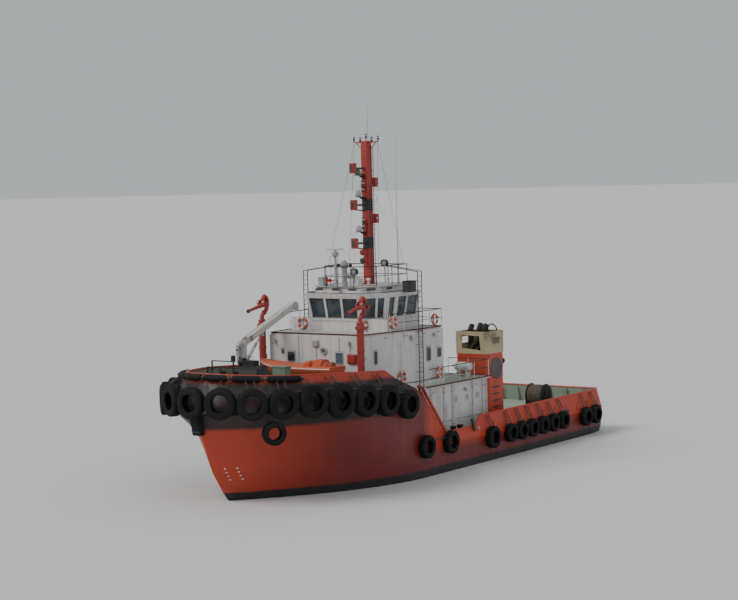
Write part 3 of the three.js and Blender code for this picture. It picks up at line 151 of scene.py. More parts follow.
def hull_paint():
    """Red with painted light and shade: dark red for the side in shade, lighter forward and on both bulwarks
    where the light falls, painted shadow and rub marks black behind the tyres, and a black boot-top at the
    water.
    """
    # Painted shade: the base red is dark for the hull's side in shade.
    look = paint("hull_red_weathered", (0.15, 0.0135, 0.0105), (0.19, 0.022, 0.016),
                 0.42, 0.28, 0.55, 0.2, 0.02)
    height, along = look.axis("Z"), look.axis("X")
    low_bulwark = look.math("MULTIPLY", look.step(along, 5.6, 4.4), look.step(height, 1.2, 1.8))
    bow_bulwark = look.step(height, 6.0, 6.3, 0.0, 0.8)
    # Painted light: lighter red forward, where the bow faces the light, and on both bulwarks.
    painted_light = look.math("MAXIMUM", look.math("MAXIMUM", look.step(along, 11.0, 18.0), low_bulwark),
                       bow_bulwark)
    look.over(look.math("MULTIPLY", painted_light, 0.9), (0.47, 0.045, 0.016))
    wavy = look.math("ADD", height, look.math("MULTIPLY", look.noise(1.4, detail=6.0, shift=2.0), 0.16))
    scrape = look.step(look.noise(1.0, (0.5, 0.5, 3.4), 8.0, 0.7, 5.0), 0.56, 0.7, 0.0, 0.5)
    look.over(scrape, (0.17, 0.03, 0.02))
    fore = look.step(along, 5.6, 6.6)
    rising = look.math("ADD", wavy, look.math("MULTIPLY", along, -0.055))
    # Painted shadow and rub marks: near black behind and under the bow tyres.
    under_tyres = look.math("MULTIPLY", look.step(wavy, 4.08, 4.38), look.step(rising, 5.9, 5.6))
    shadow_smear = look.step(look.noise(0.9, (1.0, 1.0, 0.5), 6.0, 0.6, 9.0), 0.25, 0.55, 0.9, 0.99)
    look.over(look.math("MULTIPLY", look.math("MULTIPLY", under_tyres, fore), shadow_smear), (0.012, 0.0105, 0.0105))
    look.over(look.step(wavy, 0.62, 0.5), (0.016, 0.014, 0.015))
    look.over(look.step(wavy, 0.02, -0.1), (0.13, 0.022, 0.014))
    growth = look.step(look.noise(3.0, detail=9.0, rough=0.75, shift=4.0), 0.5, 0.62, 0.0, 0.55)
    below = look.step(height, 0.2, -0.3)
    look.over(look.math("MULTIPLY", growth, below), (0.06, 0.07, 0.035))
    return look.made()


def rubber(name, colour=(0.009, 0.009, 0.010)):
    look = Look(name, colour, 0.72)
    look.over(look.step(look.noise(2.2, detail=7.0, rough=0.7), 0.45, 0.75, 0.0, 0.4), (0.019, 0.018, 0.018))
    look.over(look.step(look.noise(16.0, detail=6.0, rough=0.75), 0.55, 0.75, 0.0, 0.3),
              (0.036, 0.034, 0.031))
    look.worn(look.step(look.noise(3.0), 0.4, 0.7), 0.92)
    look.set(Specular_IOR_Level=0.22)
    return look.bump(look.noise(30.0, detail=6.0, rough=0.7), 0.5, 0.008).made()


def deck_paint(name, colour, faded):
    look = paint(name, colour, faded, 0.7, 0.12, 0.5, 0.45, 0.006)
    worn = look.step(look.noise(0.8, detail=9.0, rough=0.7, shift=6.0), 0.52, 0.68, 0.0, 0.5)
    return look.over(worn, (0.16, 0.15, 0.125)).made()


def rope_look(name, colour):
    look = Look(name, colour, 0.9)
    look.over(look.step(look.noise(5.0, detail=6.0), 0.4, 0.7, 0.0, 0.6), (0.07, 0.055, 0.04))
    lay = look.node("ShaderNodeTexWave", {"Vector": look.place, "Scale": 14.0, "Distortion": 1.0},
                    bands_direction="DIAGONAL").outputs["Fac"]
    # Painted shade: darker in the grooves between the strands.
    look.over(look.step(lay, 0.2, 0.0, 0.0, 0.6), (0.08, 0.07, 0.05))
    return look.bump(lay, 0.8, 0.02).made()


def glass(name, tint):
    look = Look(name, tint, 0.06)
    look.over(look.step(look.noise(2.0, (1.0, 1.0, 0.3), 6.0), 0.5, 0.8, 0.0, 0.25), (0.2, 0.21, 0.2))
    look.worn(look.step(look.noise(6.0, detail=6.0), 0.5, 0.8, 0.0, 0.5), 0.35)
    return look.set(Transmission_Weight=0.55, IOR=1.5).made()


def metal(name, colour, rough, tarnish):
    look = Look(name, colour, rough, 0.85)
    look.over(look.step(look.noise(4.0, detail=8.0, rough=0.7), 0.45, 0.7, 0.0, 0.8), tarnish)
    look.worn(look.step(look.noise(7.0, detail=5.0), 0.4, 0.7), min(0.9, rough + 0.35))
    return look.bump(look.noise(20.0, detail=5.0), 0.3, 0.004).made()


def funnel_paint():
    """Red casing with a buff top that soot has darkened."""
    look = paint("funnel_red_buff", (0.46, 0.042, 0.018), (0.5, 0.075, 0.035), 0.45, 0.3, 0.35)
    height = look.axis("Z")
    look.over(look.step(height, 6.29, 6.31), (0.42, 0.34, 0.215))
    cloud = look.step(look.noise(1.3, detail=7.0), 0.4, 0.7)
    sooty = look.math("MULTIPLY", look.step(height, 6.4, 7.6), cloud)
    return look.over(sooty, (0.11, 0.09, 0.065)).made()


def cover_cloth():
    """Faded orange tarpaulin, soiled brown towards its port end."""
    look = paint("cover_orange", (0.46, 0.08, 0.024), (0.36, 0.06, 0.024), 0.85, 0.3, 0.0, 0.35, 0.0)
    port_end = look.step(look.axis("Y"), 1.5, 2.5)
    soiled = look.math("MULTIPLY", port_end, look.step(look.noise(2.0), 0.3, 0.6, 0.2, 0.85))
    look.over(soiled, (0.11, 0.06, 0.032))
    return look.bump(look.noise(40.0, detail=4.0), 0.4, 0.004).made()


def mast_paint():
    """Red paint, with dark bands round the mast at the heights of two arms."""
    look = paint("mast_red", (0.32, 0.026, 0.018), (0.37, 0.045, 0.03), 0.4, 0.35, 0.5)
    height = look.axis("Z")
    for z in 15.9, 13.6:
        band = look.math("MULTIPLY", look.step(height, z - 0.42, z - 0.3),
                         look.step(height, z + 0.42, z + 0.3))
        look.over(band, (0.02, 0.016, 0.016))
    return look.made()


PAINT = {
    "hull": hull_paint(),
    "deck": deck_paint("deck_green_worn", (0.245, 0.31, 0.25), (0.3, 0.34, 0.27)),
    "upper_deck": deck_paint("deck_grey_worn", (0.42, 0.41, 0.4), (0.46, 0.45, 0.43)),
    "white": paint("house_white_stained", (0.56, 0.545, 0.54), (0.5, 0.47, 0.455),
                   0.45, 0.34, 0.5, 0.2).made(),
    "crane": paint("crane_cream", (0.5, 0.485, 0.45), (0.42, 0.39, 0.34), 0.5, 0.45, 0.7, 0.3).made(),
    "red": paint("gear_red", (0.30, 0.024, 0.02), (0.35, 0.04, 0.03), 0.4, 0.3, 0.5).made(),
    "trim": paint("trim_red", (0.35, 0.035, 0.022), (0.4, 0.06, 0.04), 0.45, 0.2, 0.3).made(),
    "mast": mast_paint(),
    "funnel": funnel_paint(),
    "black": paint("gear_black", (0.010, 0.010, 0.011), (0.02, 0.02, 0.02), 0.68, 0.1, 0.8, 0.15).made(),
    "vent": paint("vent_grey", (0.08, 0.072, 0.07), (0.1, 0.09, 0.085), 0.6, 0.3, 0.4).made(),
    "grey": paint("gear_grey", (0.3, 0.31, 0.31), (0.24, 0.245, 0.24), 0.5, 0.3, 0.4).made(),
    "dark": paint("fitting_dark", (0.03, 0.032, 0.035), (0.05, 0.05, 0.05), 0.5, 0.2, 0.6).made(),
    "winch": paint("winch_green_black", (0.022, 0.034, 0.034), (0.045, 0.055, 0.05),
                   0.5, 0.3, 0.9, 0.3).made(),
    "teal": paint("brake_teal", (0.02, 0.11, 0.12), (0.04, 0.14, 0.14), 0.5, 0.2, 0.4).made(),
    "locker": paint("locker_green", (0.12, 0.2, 0.14), (0.16, 0.23, 0.18), 0.6, 0.3, 0.3).made(),
    "orange": paint("boat_orange", (0.5, 0.075, 0.02), (0.52, 0.12, 0.045), 0.5, 0.25, 0.1, 0.25).made(),
    "cover": cover_cloth(),
    "raft": paint("raft_white", (0.58, 0.575, 0.55), (0.5, 0.49, 0.46), 0.4, 0.3, 0.0, 0.2).made(),
    "buoy": paint("lifebuoy_red", (0.5, 0.06, 0.03), (0.5, 0.09, 0.05), 0.55, 0.15, 0.0).made(),
    "lamp_green": paint("lamp_green", (0.02, 0.15, 0.08), (0.03, 0.18, 0.1), 0.4, 0.2, 0.1).made(),
    "tyre": rubber("tyre_rubber"),
    "roll": rubber("roll_rubber", (0.013, 0.0135, 0.015)),
    "rope": rope_look("hawser", (0.16, 0.13, 0.095)),
    "wire": metal("wire_rope", (0.12, 0.115, 0.11), 0.55, (0.09, 0.05, 0.03)),
    "steel": metal("bare_steel", (0.5, 0.5, 0.49), 0.3, (0.3, 0.28, 0.25)),
    "exhaust": metal("exhaust_sooty", (0.045, 0.04, 0.038), 0.6, (0.1, 0.05, 0.03)),
    "bronze": metal("propeller_bronze", (0.5, 0.33, 0.13), 0.35, (0.16, 0.17, 0.1)),
    "glass": glass("wheelhouse_glass", (0.09, 0.125, 0.145)),
    "pane": glass("cabin_pane", (0.045, 0.06, 0.07)),
    "pale_pane": glass("curtained_pane", (0.16, 0.24, 0.29)),
    "lens": glass("lamp_lens", (0.5, 0.52, 0.5)),
    "seat": paint("seat_grey", (0.05, 0.055, 0.06), (0.07, 0.07, 0.07), 0.7, 0.05, 0.0, 0.1).made(),
    "stain": paint("stain_brown", (0.2, 0.14, 0.1), (0.25, 0.17, 0.12), 0.8, 0.4, 0.6).made(),
    "floor": Look("floor_pale", (0.62, 0.63, 0.63), 0.85).made(),
}


# Pieces

def between(a, b, share):
    return a + (b - a) * share


def arc(count, start=0.0, end=2 * math.pi):
    """Angles from start to end, both included."""
    return [between(start, end, i / count) for i in range(count + 1)]


def circle(sides, radius=1.0, across=None):
    """Points (x, y) evenly round a circle, or round an oval of two radii, about the origin."""
    return [(radius * math.cos(a), (across or radius) * math.sin(a)) for a in arc(sides)[:-1]]


def rise(height):
    return Vector((0, 0, height))


def aimed(at, direction):
    """Place at a point with +Z turned to a direction."""
    turn = Vector(UPWARD).rotation_difference(Vector(direction)).to_matrix().to_4x4()
    return Matrix.Translation(at) @ turn


def eased(points, steps=6):
    """Smooth line through points, with steps between each two."""
    points = [Vector(p) for p in points]
    ends = [points[0] * 2 - points[1], *points, points[-1] * 2 - points[-2]]
    line = []
    for a, b, c, d in zip(ends, ends[1:], ends[2:], ends[3:]):
        for i in range(steps):
            t = i / steps
            line.append(0.5 * (2 * b + (c - a) * t + (2 * a - 5 * b + 4 * c - d) * t ** 2
                               + (3 * b - a - 3 * c + d) * t ** 3))
    return line + [points[-1]]


class Piece:
    """A mesh gathered from forms, each with its own material."""

    def __init__(self, name, body="ship", place=None):
        self.name, self.body = name, body
        self.points, self.faces, self.marks, self.looks = [], [], [], []
        self.place = place or Matrix.Identity(4)

    @contextmanager
    def within(self, place):
        """Forms added inside this stand in a place of their own."""
        before, self.place = self.place, self.place @ place
        yield
        self.place = before

    def form(self, points, faces, look):
        """Adds faces over points; look is one material or a list of one a face."""
        base = len(self.points)
        self.points += [self.place @ Vector(p) for p in points]
        looks = look if isinstance(look, list) else [look] * len(faces)
        for face, name in zip(faces, looks):
            if name not in self.looks:
                self.looks.append(name)
            self.faces.append([base + k for k in face])
            self.marks.append(self.looks.index(name))

    def loft(self, rings, look, caps=None, closed=False):
        """Skin through rings of points; look is one name or one a point, caps the two ends' looks."""
        count = len(rings[0])
        sides = look if isinstance(look, list) else [look] * count
        faces, looks = [], []
        for row in range(len(rings) - (0 if closed else 1)):
            after = (row + 1) % len(rings) * count
            for i in range(count):
                j = (i + 1) % count
                faces.append([row * count + i, row * count + j, after + j, after + i])
                looks.append(sides[i])
        ends = (list(range(count))[::-1], [(len(rings) - 1) * count + i for i in range(count)])
        for end, cap in zip(ends, OPEN if closed else caps or (sides[0], sides[0])):
            if cap:
                faces.append(end)
                looks.append(cap)
        self.form([p for ring in rings for p in ring], faces, looks)

    def box(self, low, high, look):
        (x0, y0, z0), (x1, y1, z1) = low, high
        self.slab([(x0, y0), (x1, y0), (x1, y1), (x0, y1)], z0, z1, "z", look)

    def slab(self, outline, low, high, axis, look, caps=None):
        """Outline in [x, y], [x, z] or [y, z] for axis z, y or x, between two places along that axis."""
        spread = {"z": lambda a, b, c: (a, b, c), "y": lambda a, b, c: (a, c, b),
                  "x": lambda a, b, c: (c, a, b)}
        self.loft([[spread[axis](a, b, c) for a, b in outline] for c in (low, high)], look, caps)

    def block(self, x, y, size, radius, low, high, look):
        """Upright block about a place, with round corners in plan."""
        self.slab([(x + a, y + b) for a, b in rounded(*size, radius)], low, high, "z", look)

    def tube(self, path, radius, look, sides=10, closed=False):
        path = [Vector(p) for p in path]
        count = len(path)
        radii = radius if isinstance(radius, list) else [radius] * count
        rings, side = [], None
        for i, at in enumerate(path):
            back = at - path[i - 1] if i or closed else path[1] - at
            ahead = path[(i + 1) % count] - at if i < count - 1 or closed else back
            along = (back.normalized() + ahead.normalized()).normalized()
            side = along.orthogonal() if side is None else side - along * side.dot(along)
            side.normalize()
            up = along.cross(side)
            rings.append([at + (side * a + up * b) * radii[i] for a, b in circle(sides)])
        self.loft(rings, look, closed=closed)

    def lathe(self, profile, look, at=(0, 0, 0), along=UPWARD, sides=20, closed=False):
        """Turned form from (radius, height) points, placed with its axis along a direction."""
        thin = 1e-5
        with self.within(aimed(at, along)):
            self.loft([[(x, y, h) for x, y in circle(sides, max(r, thin))] for r, h in profile], look,
                      closed=closed)

    def ball(self, at, radius, look, sides=16):
        self.lathe([(radius * math.sin(a), -radius * math.cos(a)) for a in arc(sides // 2, 0, math.pi)], look,
                   at, sides=sides)

    def ring(self, at, along, radius, thick, look, sides=24, start=0.0, end=2 * math.pi):
        """Round bar bent to a ring, or to part of one between two angles."""
        spot = aimed(at, along)
        line = [spot @ Vector((radius * math.cos(a), radius * math.sin(a), 0))
                for a in arc(sides, start, end)]
        whole = end - start > 6.28
        self.tube(line[:-1] if whole else line, thick, look, 10, whole)

    def done(self, slot, nodes=(), bevel=0.0, sharp=34):
        mesh = bpy.data.meshes.new(self.name)
        mesh.from_pydata(self.points, [], self.faces)
        for name in self.looks:
            mesh.materials.append(PAINT[name])
        mesh.polygons.foreach_set("material_index", self.marks)
        work = bmesh.new()
        work.from_mesh(mesh)
        bmesh.ops.recalc_face_normals(work, faces=work.faces)
        work.to_mesh(mesh)
        work.free()
        mesh.polygons.foreach_set("use_smooth", [True] * len(mesh.polygons))
        mesh.set_sharp_from_angle(angle=math.radians(sharp))
        piece = bpy.data.objects.new(self.name, mesh)
        bpy.context.scene.collection.objects.link(piece)
        if bevel:
            soften(piece, bevel)
        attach(piece, self.body)
        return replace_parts(piece, *nodes) if nodes else piece


def soften(piece, width):
    edge = piece.modifiers.new("soft_edges", "BEVEL")
    edge.width, edge.segments, edge.limit_method = width, 2, "ANGLE"
    edge.angle_limit = math.radians(40)
    edge.harden_normals = True


def keep(node, look, bevel=0.0):
    """Leaves a CAD node in sight, with a material and softened edges."""
    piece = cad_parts[node]
    piece.data.materials.clear()
    piece.data.materials.append(PAINT[look])
    if bevel:
        piece.modifiers.new("one_skin", "WELD").merge_threshold = 1e-4
        soften(piece, bevel)


def facing(place, out):
    """Place on a wall: +X along it, +Y up, +Z outwards."""
    out = Vector(out).normalized()
    along = Vector(UPWARD).cross(out)
    turn = Matrix((along, UPWARD, out)).transposed().to_4x4()
    return Matrix.Translation(place) @ turn


# Hull and bulwarks

Level = namedtuple("Level", "z stem full half fine run stern tail")
LEVELS = [
    Level(-3.5, 12.8, 4.0, 2.5, 1.4, -2.5, -6.5, 1.2),
    Level(-2.95, 13.5, 4.2, 4.3, 1.8, -3.5, -8.3, 2.5),
    Level(-1.9, 14.7, 4.4, 5.15, 1.9, -5.0, -10.3, 3.6),
    Level(-1.1, 15.6, 4.6, 5.35, 2.0, -6.5, -12.0, 4.2),
    Level(-0.7, 16.0, 4.7, 5.4, 2.0, -8.0, -14.0, 4.45),
    Level(-0.45, 16.2, 4.8, 5.42, 2.0, -9.5, -17.1, 4.55),
    Level(0.45, 17.0, 5.2, 5.48, 2.0, -12.0, -17.4, 4.6),
    Level(DECK, 17.9, 6.0, 5.5, 2.0, -13.0, -17.4, 4.6),
]
FORE_LEVELS = [LEVELS[-1], Level(3.6, 18.6, 7.6, 5.5, 1.8, 0, 0, 0),
               Level(4.3, 18.8, 8.8, 5.5, 1.45, 0, 0, 0), Level(5.0, 19.0, 10.2, 5.5, 1.0, 0, 0, 0)]
DECK_EDGE = FORE_LEVELS[-1]
TYRE_LINE = DECK_EDGE._replace(stem=19.15)  # plan the bow tyres hang against
HALF_BEAM, TRANSOM = 5.5, -17.4
HOUSE_HALF, SWEEP_TOP, FORE_AFT = 4.2, 5.44, 3.0
SHEER = [(5.5, 5.08), (6.7, 5.6), (7.5, 5.95), (8.3, 6.52), (9.05, 6.55), (12.25, 6.76), (16.0, 6.92),
         (17.4, 7.02), (19.2, 7.23)]
BOW_LEAN = 0.395  # inboard, by height over the deck
LEAN, BULWARK_TOP, STEP_TOP = 0.28, 2.87, 2.3
STEP_X = -1.0  # where the low bulwark steps up
PLATE_LOOKS = ["hull", "hull", "deck", "deck"]
SHAFT_Y, SHAFT_Z, SCREW_X, RUDDER_X = 2.3, -2.2, -14.0, -15.25


def beside(vector, side, z):
    """A plan vector of the port side, taken to one side and given a height."""
    return Vector((vector.x, side * vector.y, z))


def bow_edge():
    return bow_curve(DECK_EDGE) + [(5.5, HALF_BEAM)]


def bow_curve(level, steps=48):
    return [(between(level.full, level.stem, math.cos(t)), level.half * math.sin(t) ** level.fine)
            for t in arc(steps, 0, math.pi / 2)]


def stern_curve(level, steps=20):
    return [(between(level.run, level.stern, math.sin(t) ** 0.5),
             between(level.tail, level.half, max(0.0, math.cos(t)) ** 0.5))
            for t in arc(steps, 0, math.pi / 2)]


def whole(port):
    """Closed plan from its port half, listed from the bow aft."""
    return port + [(x, -y) for x, y in reversed(port) if y > 1e-6]


def at_height(plan, z):
    return [(x, y, z) for x, y in plan]


def sheer(x):
    for (x0, z0), (x1, z1) in zip(SHEER, SHEER[1:]):
        if x <= x1:
            break
    return between(z0, z1, (x - x0) / (x1 - x0))


def bow_at(z):
    """Plan of the bow at a height between two levels."""
    levels = LEVELS[:-1] + FORE_LEVELS
    for low, high in zip(levels, levels[1:]):
        if z <= high.z:
            break
    share = (z - low.z) / (high.z - low.z)
    return [(between(a, c, share), between(b, d, share))
            for (a, b), (c, d) in zip(bow_curve(low), bow_curve(high))]


def on_path(path, run):
    """Place at a distance along a plan path that runs aft to port, and the way out of it."""
    for (x0, y0), (x1, y1) in zip(path, path[1:]):
        length = math.hypot(x1 - x0, y1 - y0)
        if run <= length:
            break
        run -= length
    share = run / length
    return Vector((between(x0, x1, share), between(y0, y1, share), 0)), Vector((y1 - y0, x0 - x1, 0)) / length


def at_x(path, x):
    run = 0.0
    for (x0, y0), (x1, y1) in zip(path, path[1:]):
        length = math.hypot(x1 - x0, y1 - y0)
        if x >= x1:
            return on_path(path, run + length * (x - x0) / (x1 - x0))
        run += length
    return on_path(path, run)


def build_hull():
    hull = Piece("hull_shell")
    hull.loft([at_height(whole(bow_curve(a) + stern_curve(a)), a.z) for a in LEVELS], "hull",
              ("hull", "deck"))
    house_side = [(SWEEP_TOP, HOUSE_HALF), (FORE_AFT, HOUSE_HALF)]
    rings = [at_height(whole(bow_curve(a) + [(SWEEP_TOP, a.half), *house_side]), a.z) for a in FORE_LEVELS]
    looks = ["hull"] * (len(bow_curve(DECK_EDGE)) + 1) + ["white"] * 3
    looks += ["hull"] * (len(rings[0]) - len(looks))
    hull.loft(rings, looks, ("hull", "deck"))
    for side in SIDES.values():
        sweep(hull, side)
        strake = [(FORE_AFT + 0.2, HALF_BEAM)] + stern_curve(LEVELS[-1])
        hull.tube([(x, side * y, 1.66) for x, y in strake], 0.07, "hull", 8)
        draught_marks(hull, side)
    skeg = [(-4.5, -3.5), (-12.6, -3.5), (-13.0, -0.5), (-4.5, -2.0)]
    hull.slab(skeg, -0.2, 0.2, "y", "hull")
    for side in SIDES.values():
        boss = [(x, side * SHAFT_Y, SHAFT_Z) for x in (-9.0, -12.9, -13.15)]
        hull.tube(boss, [0.21, 0.21, 0.19], "hull", 24)
        stock = [(0.21, -1.0), (0.21, -0.9), (0.26, -0.6), (0.26, 0.0)]
        hull.lathe(stock, "hull", (RUDDER_X, side * SHAFT_Y, 0), sides=24)
    hull.done("hull_red", ["hull"], sharp=25)


def sweep(hull, side):
    """Slope between the high and the low deck's side, with its edge plate and the rail over it."""
    slope = [(FORE_AFT, DECK), (SWEEP_TOP, DECK), (SWEEP_TOP, 4.87), (FORE_AFT, 1.95)]
    hull.slab(slope, side * HOUSE_HALF, side * HALF_BEAM, "y", "hull")
    edge = [(2.95, 2.1), (5.36, 4.98), (5.62, 5.28), (5.62, 4.98), (5.5, 4.9), (3.15, 2.1)]
    hull.slab(edge, side * 5.36, side * HALF_BEAM, "y", "hull")
    y = side * 5.43
    hull.tube([(2.92, y, 2.42), (3.35, y, 2.95), (5.3, y, 5.28), (5.75, side * 5.45, 5.4)], 0.1, "hull", 8)
    for share in (0.1, 0.36, 0.62, 0.88):
        foot = Vector((between(3.2, 5.3, share), y, between(2.2, 4.7, share)))
        hull.tube([foot, foot + Vector((-0.2, 0, 0.55))], 0.05, "hull", 8)


def draught_marks(hull, side):
    """Plain ticks in two columns on the bow."""
    for y in (0.5, 0.95):
        for row in range(4):
            z = 1.25 + row * 0.22
            spot, out = near_half_breadth(z, y)
            with hull.within(facing(beside(spot, side, z), beside(out, side, 0.35))):
                hull.box((-0.06, -0.035, -0.01), (0.06, 0.035, 0.012), "white")


def near_half_breadth(z, y):
    """Place on the port bow at a height where the half breadth is y, and the way out of the plating."""
    plan = bow_at(z)
    for (x0, y0), (x1, y1) in zip(plan, plan[1:]):
        if y <= y1:
            break
    share = (y - y0) / (y1 - y0)
    return Vector((between(x0, x1, share), y, z)), Vector((y1 - y0, x0 - x1, 0)).normalized()


def wall(piece, foot, head, thick, looks):
    """Plate from a foot line to a head line, its outside first; looks: outside, top, inside, foot."""
    rings = []
    for i, (low, high) in enumerate(zip(foot, head)):
        ahead = Vector(foot[min(i + 1, len(foot) - 1)]) - Vector(foot[max(i - 1, 0)])
        inward = Vector((ahead.y, -ahead.x, 0)).normalized() * thick
        low, high = Vector(low), Vector(high)
        rings.append([low, high, high + inward, low + inward])
    piece.loft(rings, looks)


def moved_out(path, distance):
    """Path of (x, y) with its outboard side on the left, moved outboard by a distance or by one a point."""
    moved = []
    for i, (x, y) in enumerate(path):
        (ax, ay), (bx, by) = path[max(0, i - 1)], path[min(len(path) - 1, i + 1)]
        reach = distance(x) if callable(distance) else distance
        share = reach / math.hypot(bx - ax, by - ay)
        moved.append((x - (by - ay) * share, y + (bx - ax) * share))
    return moved


def bulwark_lines():
    """Foot and head of the leaning bow bulwark from port aft, round the stem, to starboard aft."""
    aft = [(5.5 + 0.2 * i, 5.5) for i in range(24)]
    port = aft + bow_curve(DECK_EDGE)[::-1]
    foot = port + [(x, -y) for x, y in reversed(port[:-1])]
    return foot, moved_out(foot, lambda x: BOW_LEAN * (FORE_DECK - sheer(x)))


def on_bulwark(x, z, side):
    """Place on the outside of the bow bulwark beside x at a height, and the way out of the plating there."""
    spot, out = at_x(bow_edge(), x)
    spot -= out * BOW_LEAN * (z - FORE_DECK)
    return beside(spot, side, z), beside(out, side, BOW_LEAN).normalized()


def build_bow_bulwark():
    bulwark = Piece("bow_bulwark_plate")
    foot, head = bulwark_lines()
    wall(bulwark, at_height(foot, FORE_DECK), [(x, y, sheer(x)) for x, y in head], 0.1, PLATE_LOOKS)
    bulwark.tube([(x, y, sheer(x)) for x, y in moved_out(head, -0.06)[2:-2]], 0.07, "hull")
    for i in range(17):
        spot, out = on_path(bow_edge(), 0.9 + i * 0.92)
        height = sheer(spot.x) - FORE_DECK - 0.15
        lean = BOW_LEAN * height
        stay = [(-0.1, 0.0), (-0.62, 0.0), (-0.58, 0.12), (-0.22 - lean, height), (-0.1 - lean, height)]
        for side in SIDES.values():
            with bulwark.within(facing(beside(spot, side, FORE_DECK), beside(out, side, 0))):
                bulwark.loft([[(x, z, y) for y, z in stay] for x in (-0.012, 0.012)], "deck")
    for side in SIDES.values():
        fairlead(bulwark, *on_bulwark(9.05, 6.05, side))
    bulwark.done("hull_red", ["bow_bulwark"])


def fairlead(piece, at, out):
    """Oval ring that lines a hole in the bulwark on its outside and inside, with a dark plug of painted shade
    in the hole at both faces.
    """
    for face, step, look in ((at, 0.012, "hull"), (at - out * 0.1, -0.012, "deck")):
        spot = facing(face, out)
        piece.tube([spot @ Vector((a, b, 0)) for a, b in circle(28, 0.24, 0.2)], 0.055, look, closed=True)
        hole = [spot @ Vector((a, b, step)) for a, b in circle(28, 0.2, 0.16)]
        # Painted shade filling the hole.
        piece.loft([[p - out * step for p in hole], hole], "dark")


def aft_lines(side):
    """Foot and head lines of the bulwark beside the main deck, from aft forward."""
    level = LEVELS[-1]
    lean = level._replace(half=level.half - LEAN, stern=level.stern + LEAN)
    straight = [3.0, 1.2, -0.6, -0.9, -1.3, -3.5, -6.0, -8.5, -11.0]
    foot = [(x, level.half) for x in straight] + stern_curve(level)
    head = [(x, lean.half) for x in straight] + stern_curve(lean)
    return ([(x, side * y, DECK) for x, y in reversed(foot)],
            [(x, side * y, STEP_TOP if x > STEP_X else BULWARK_TOP) for x, y in reversed(head)])


def build_aft_bulwark(name, side):
    bulwark = Piece(f"side_bulwark_plate_{name}")
    foot, head = aft_lines(side)
    wall(bulwark, foot, head, 0.07 * side, PLATE_LOOKS)
    bulwark.tube([Vector(p) - Vector((0, side * 0.04, 0)) for p in head], 0.06, "hull")
    fin = [(0.0, 0.0), (-0.02, 0.1), (-0.14, 0.58), (-0.02, 0.0)]
    stay = [(-0.1, 0.0), (-0.42, 0.0), (-0.38, 0.1), (-0.44, 0.95), (-0.33, 1.02)]
    # Painted shadow: a dark slanted plate beside each outer gusset.
    shadow_smear = [(-0.2, 0.12), (0.16, 0.62), (0.2, 0.62), (-0.12, 0.12)]
    for i in range(10):
        x = -2.56 - 1.53 * i
        spot, out = at_x(stern_curve(LEVELS[-1]) if x < -13 else [(3, HALF_BEAM), (-13, HALF_BEAM)], x)
        with bulwark.within(facing(beside(spot, side, DECK), beside(out, side, 0))):
            for outline, look in ((fin, "hull"), (stay, "deck")):
                bulwark.loft([[(u, z, y) for y, z in outline] for u in (-0.015, 0.015)], look)
            # Painted shadow of the gusset on the outside plating.
            bulwark.loft([[(u * side, z, y - 0.25 * z) for u, z in shadow_smear] for y in (0.012, -0.02)], "dark")
    # Painted shade: dark plugs through the bulwark stand for its openings.
    for x, low, high, half in ((-0.46, 0.3, 1.02, 0.1), (-6.1, 0.08, 0.3, 0.3), (-11.9, 0.08, 0.3, 0.3)):
        port = [(-half, low), (half, low), (half, high), (-half, high)]
        bulwark.loft([[(x + u, side * (HALF_BEAM - 0.25 * z + off), DECK + z) for u, z in port]
                      for off in (0.006, -0.1)], "dark")
    return bulwark


# Tyre fenders

# Radius by the diameter and place across by the width, from the outer bead round the tread and inside.
TYRE = [
    (0.300, -0.28), (0.275, -0.37), (0.285, -0.455), (0.325, -0.495), (0.385, -0.49), (0.435, -0.465),
    (0.468, -0.42), (0.488, -0.37), (0.497, -0.33), (0.497, -0.20), (0.482, -0.19), (0.482, -0.14),
    (0.497, -0.13), (0.498, -0.02), (0.484, -0.01), (0.484, 0.04), (0.498, 0.05), (0.497, 0.17),
    (0.482, 0.18), (0.482, 0.23), (0.497, 0.24), (0.497, 0.33), (0.488, 0.37), (0.468, 0.42),
    (0.435, 0.465), (0.385, 0.49), (0.325, 0.495), (0.285, 0.455), (0.275, 0.37), (0.300, 0.28),
    (0.42, 0.30), (0.455, 0.2), (0.462, 0.0), (0.455, -0.2), (0.42, -0.30),
]
BOW_TYRES = [(1.6, 1.75, 5.7), (3.2, 1.75, 5.6), (4.85, 1.75, 5.55), (6.55, 1.85, 5.55), (8.35, 1.95, 5.42),
             (10.3, 1.85, 5.22), (12.35, 1.85, 5.0), (14.4, 1.7, 4.56)]
LOW_TYRE = (4.3, 1.3, 4.0)
BOW_WIDTH, SIDE_WIDTH = 0.6, 0.44
SIDE_TYRES = [(5.33, 1.85, 1.4), (2.73, 1.8, 1.4), (-2.07, 1.48, 1.4), (-4.2, 1.47, 1.2), (-5.545, 1.47, 1.2),
              (-6.89, 1.47, 1.2), (-8.235, 1.47, 1.2), (-9.58, 1.47, 1.2), (-10.925, 1.47, 1.2),
              (-14.05, 1.34, 1.3), (-15.45, 1.34, 1.3)]
STERN_TYRES_Y = (-3.3, -1.65, 0.0, 1.65, 3.3)
chance = random.Random(7)


def hang_tyre(piece, at, out, z, diameter, width):
    """Old tyre hung against the plating, turned and tilted by chance."""
    spot = Vector((at[0], at[1], z)) + out * (width / 2 + 0.002)
    tilt = Matrix.Rotation(chance.uniform(-0.012, 0.012), 4, "X")
    tilt = tilt @ Matrix.Rotation(chance.uniform(0, 6.28), 4, "Z")
    count, size = 40, diameter * 0.985
    squash = [1 - 0.006 * math.sin(a * 2 + spot.x) for a in arc(count)]
    rings = []
    for r, w in TYRE:
        lug = 0.968 if 0.48 < r < 0.49 and abs(w) > 0.3 else 1.0
        reach = [r * size * squash[i] * (lug if i % 2 else 1.0) for i in range(count)]
        rings.append([(a * far, b * far, w * width * 0.97) for (a, b), far in zip(circle(count), reach)])
    with piece.within(aimed(spot, out) @ tilt):
        piece.loft(rings, "tyre", closed=True)
    return spot


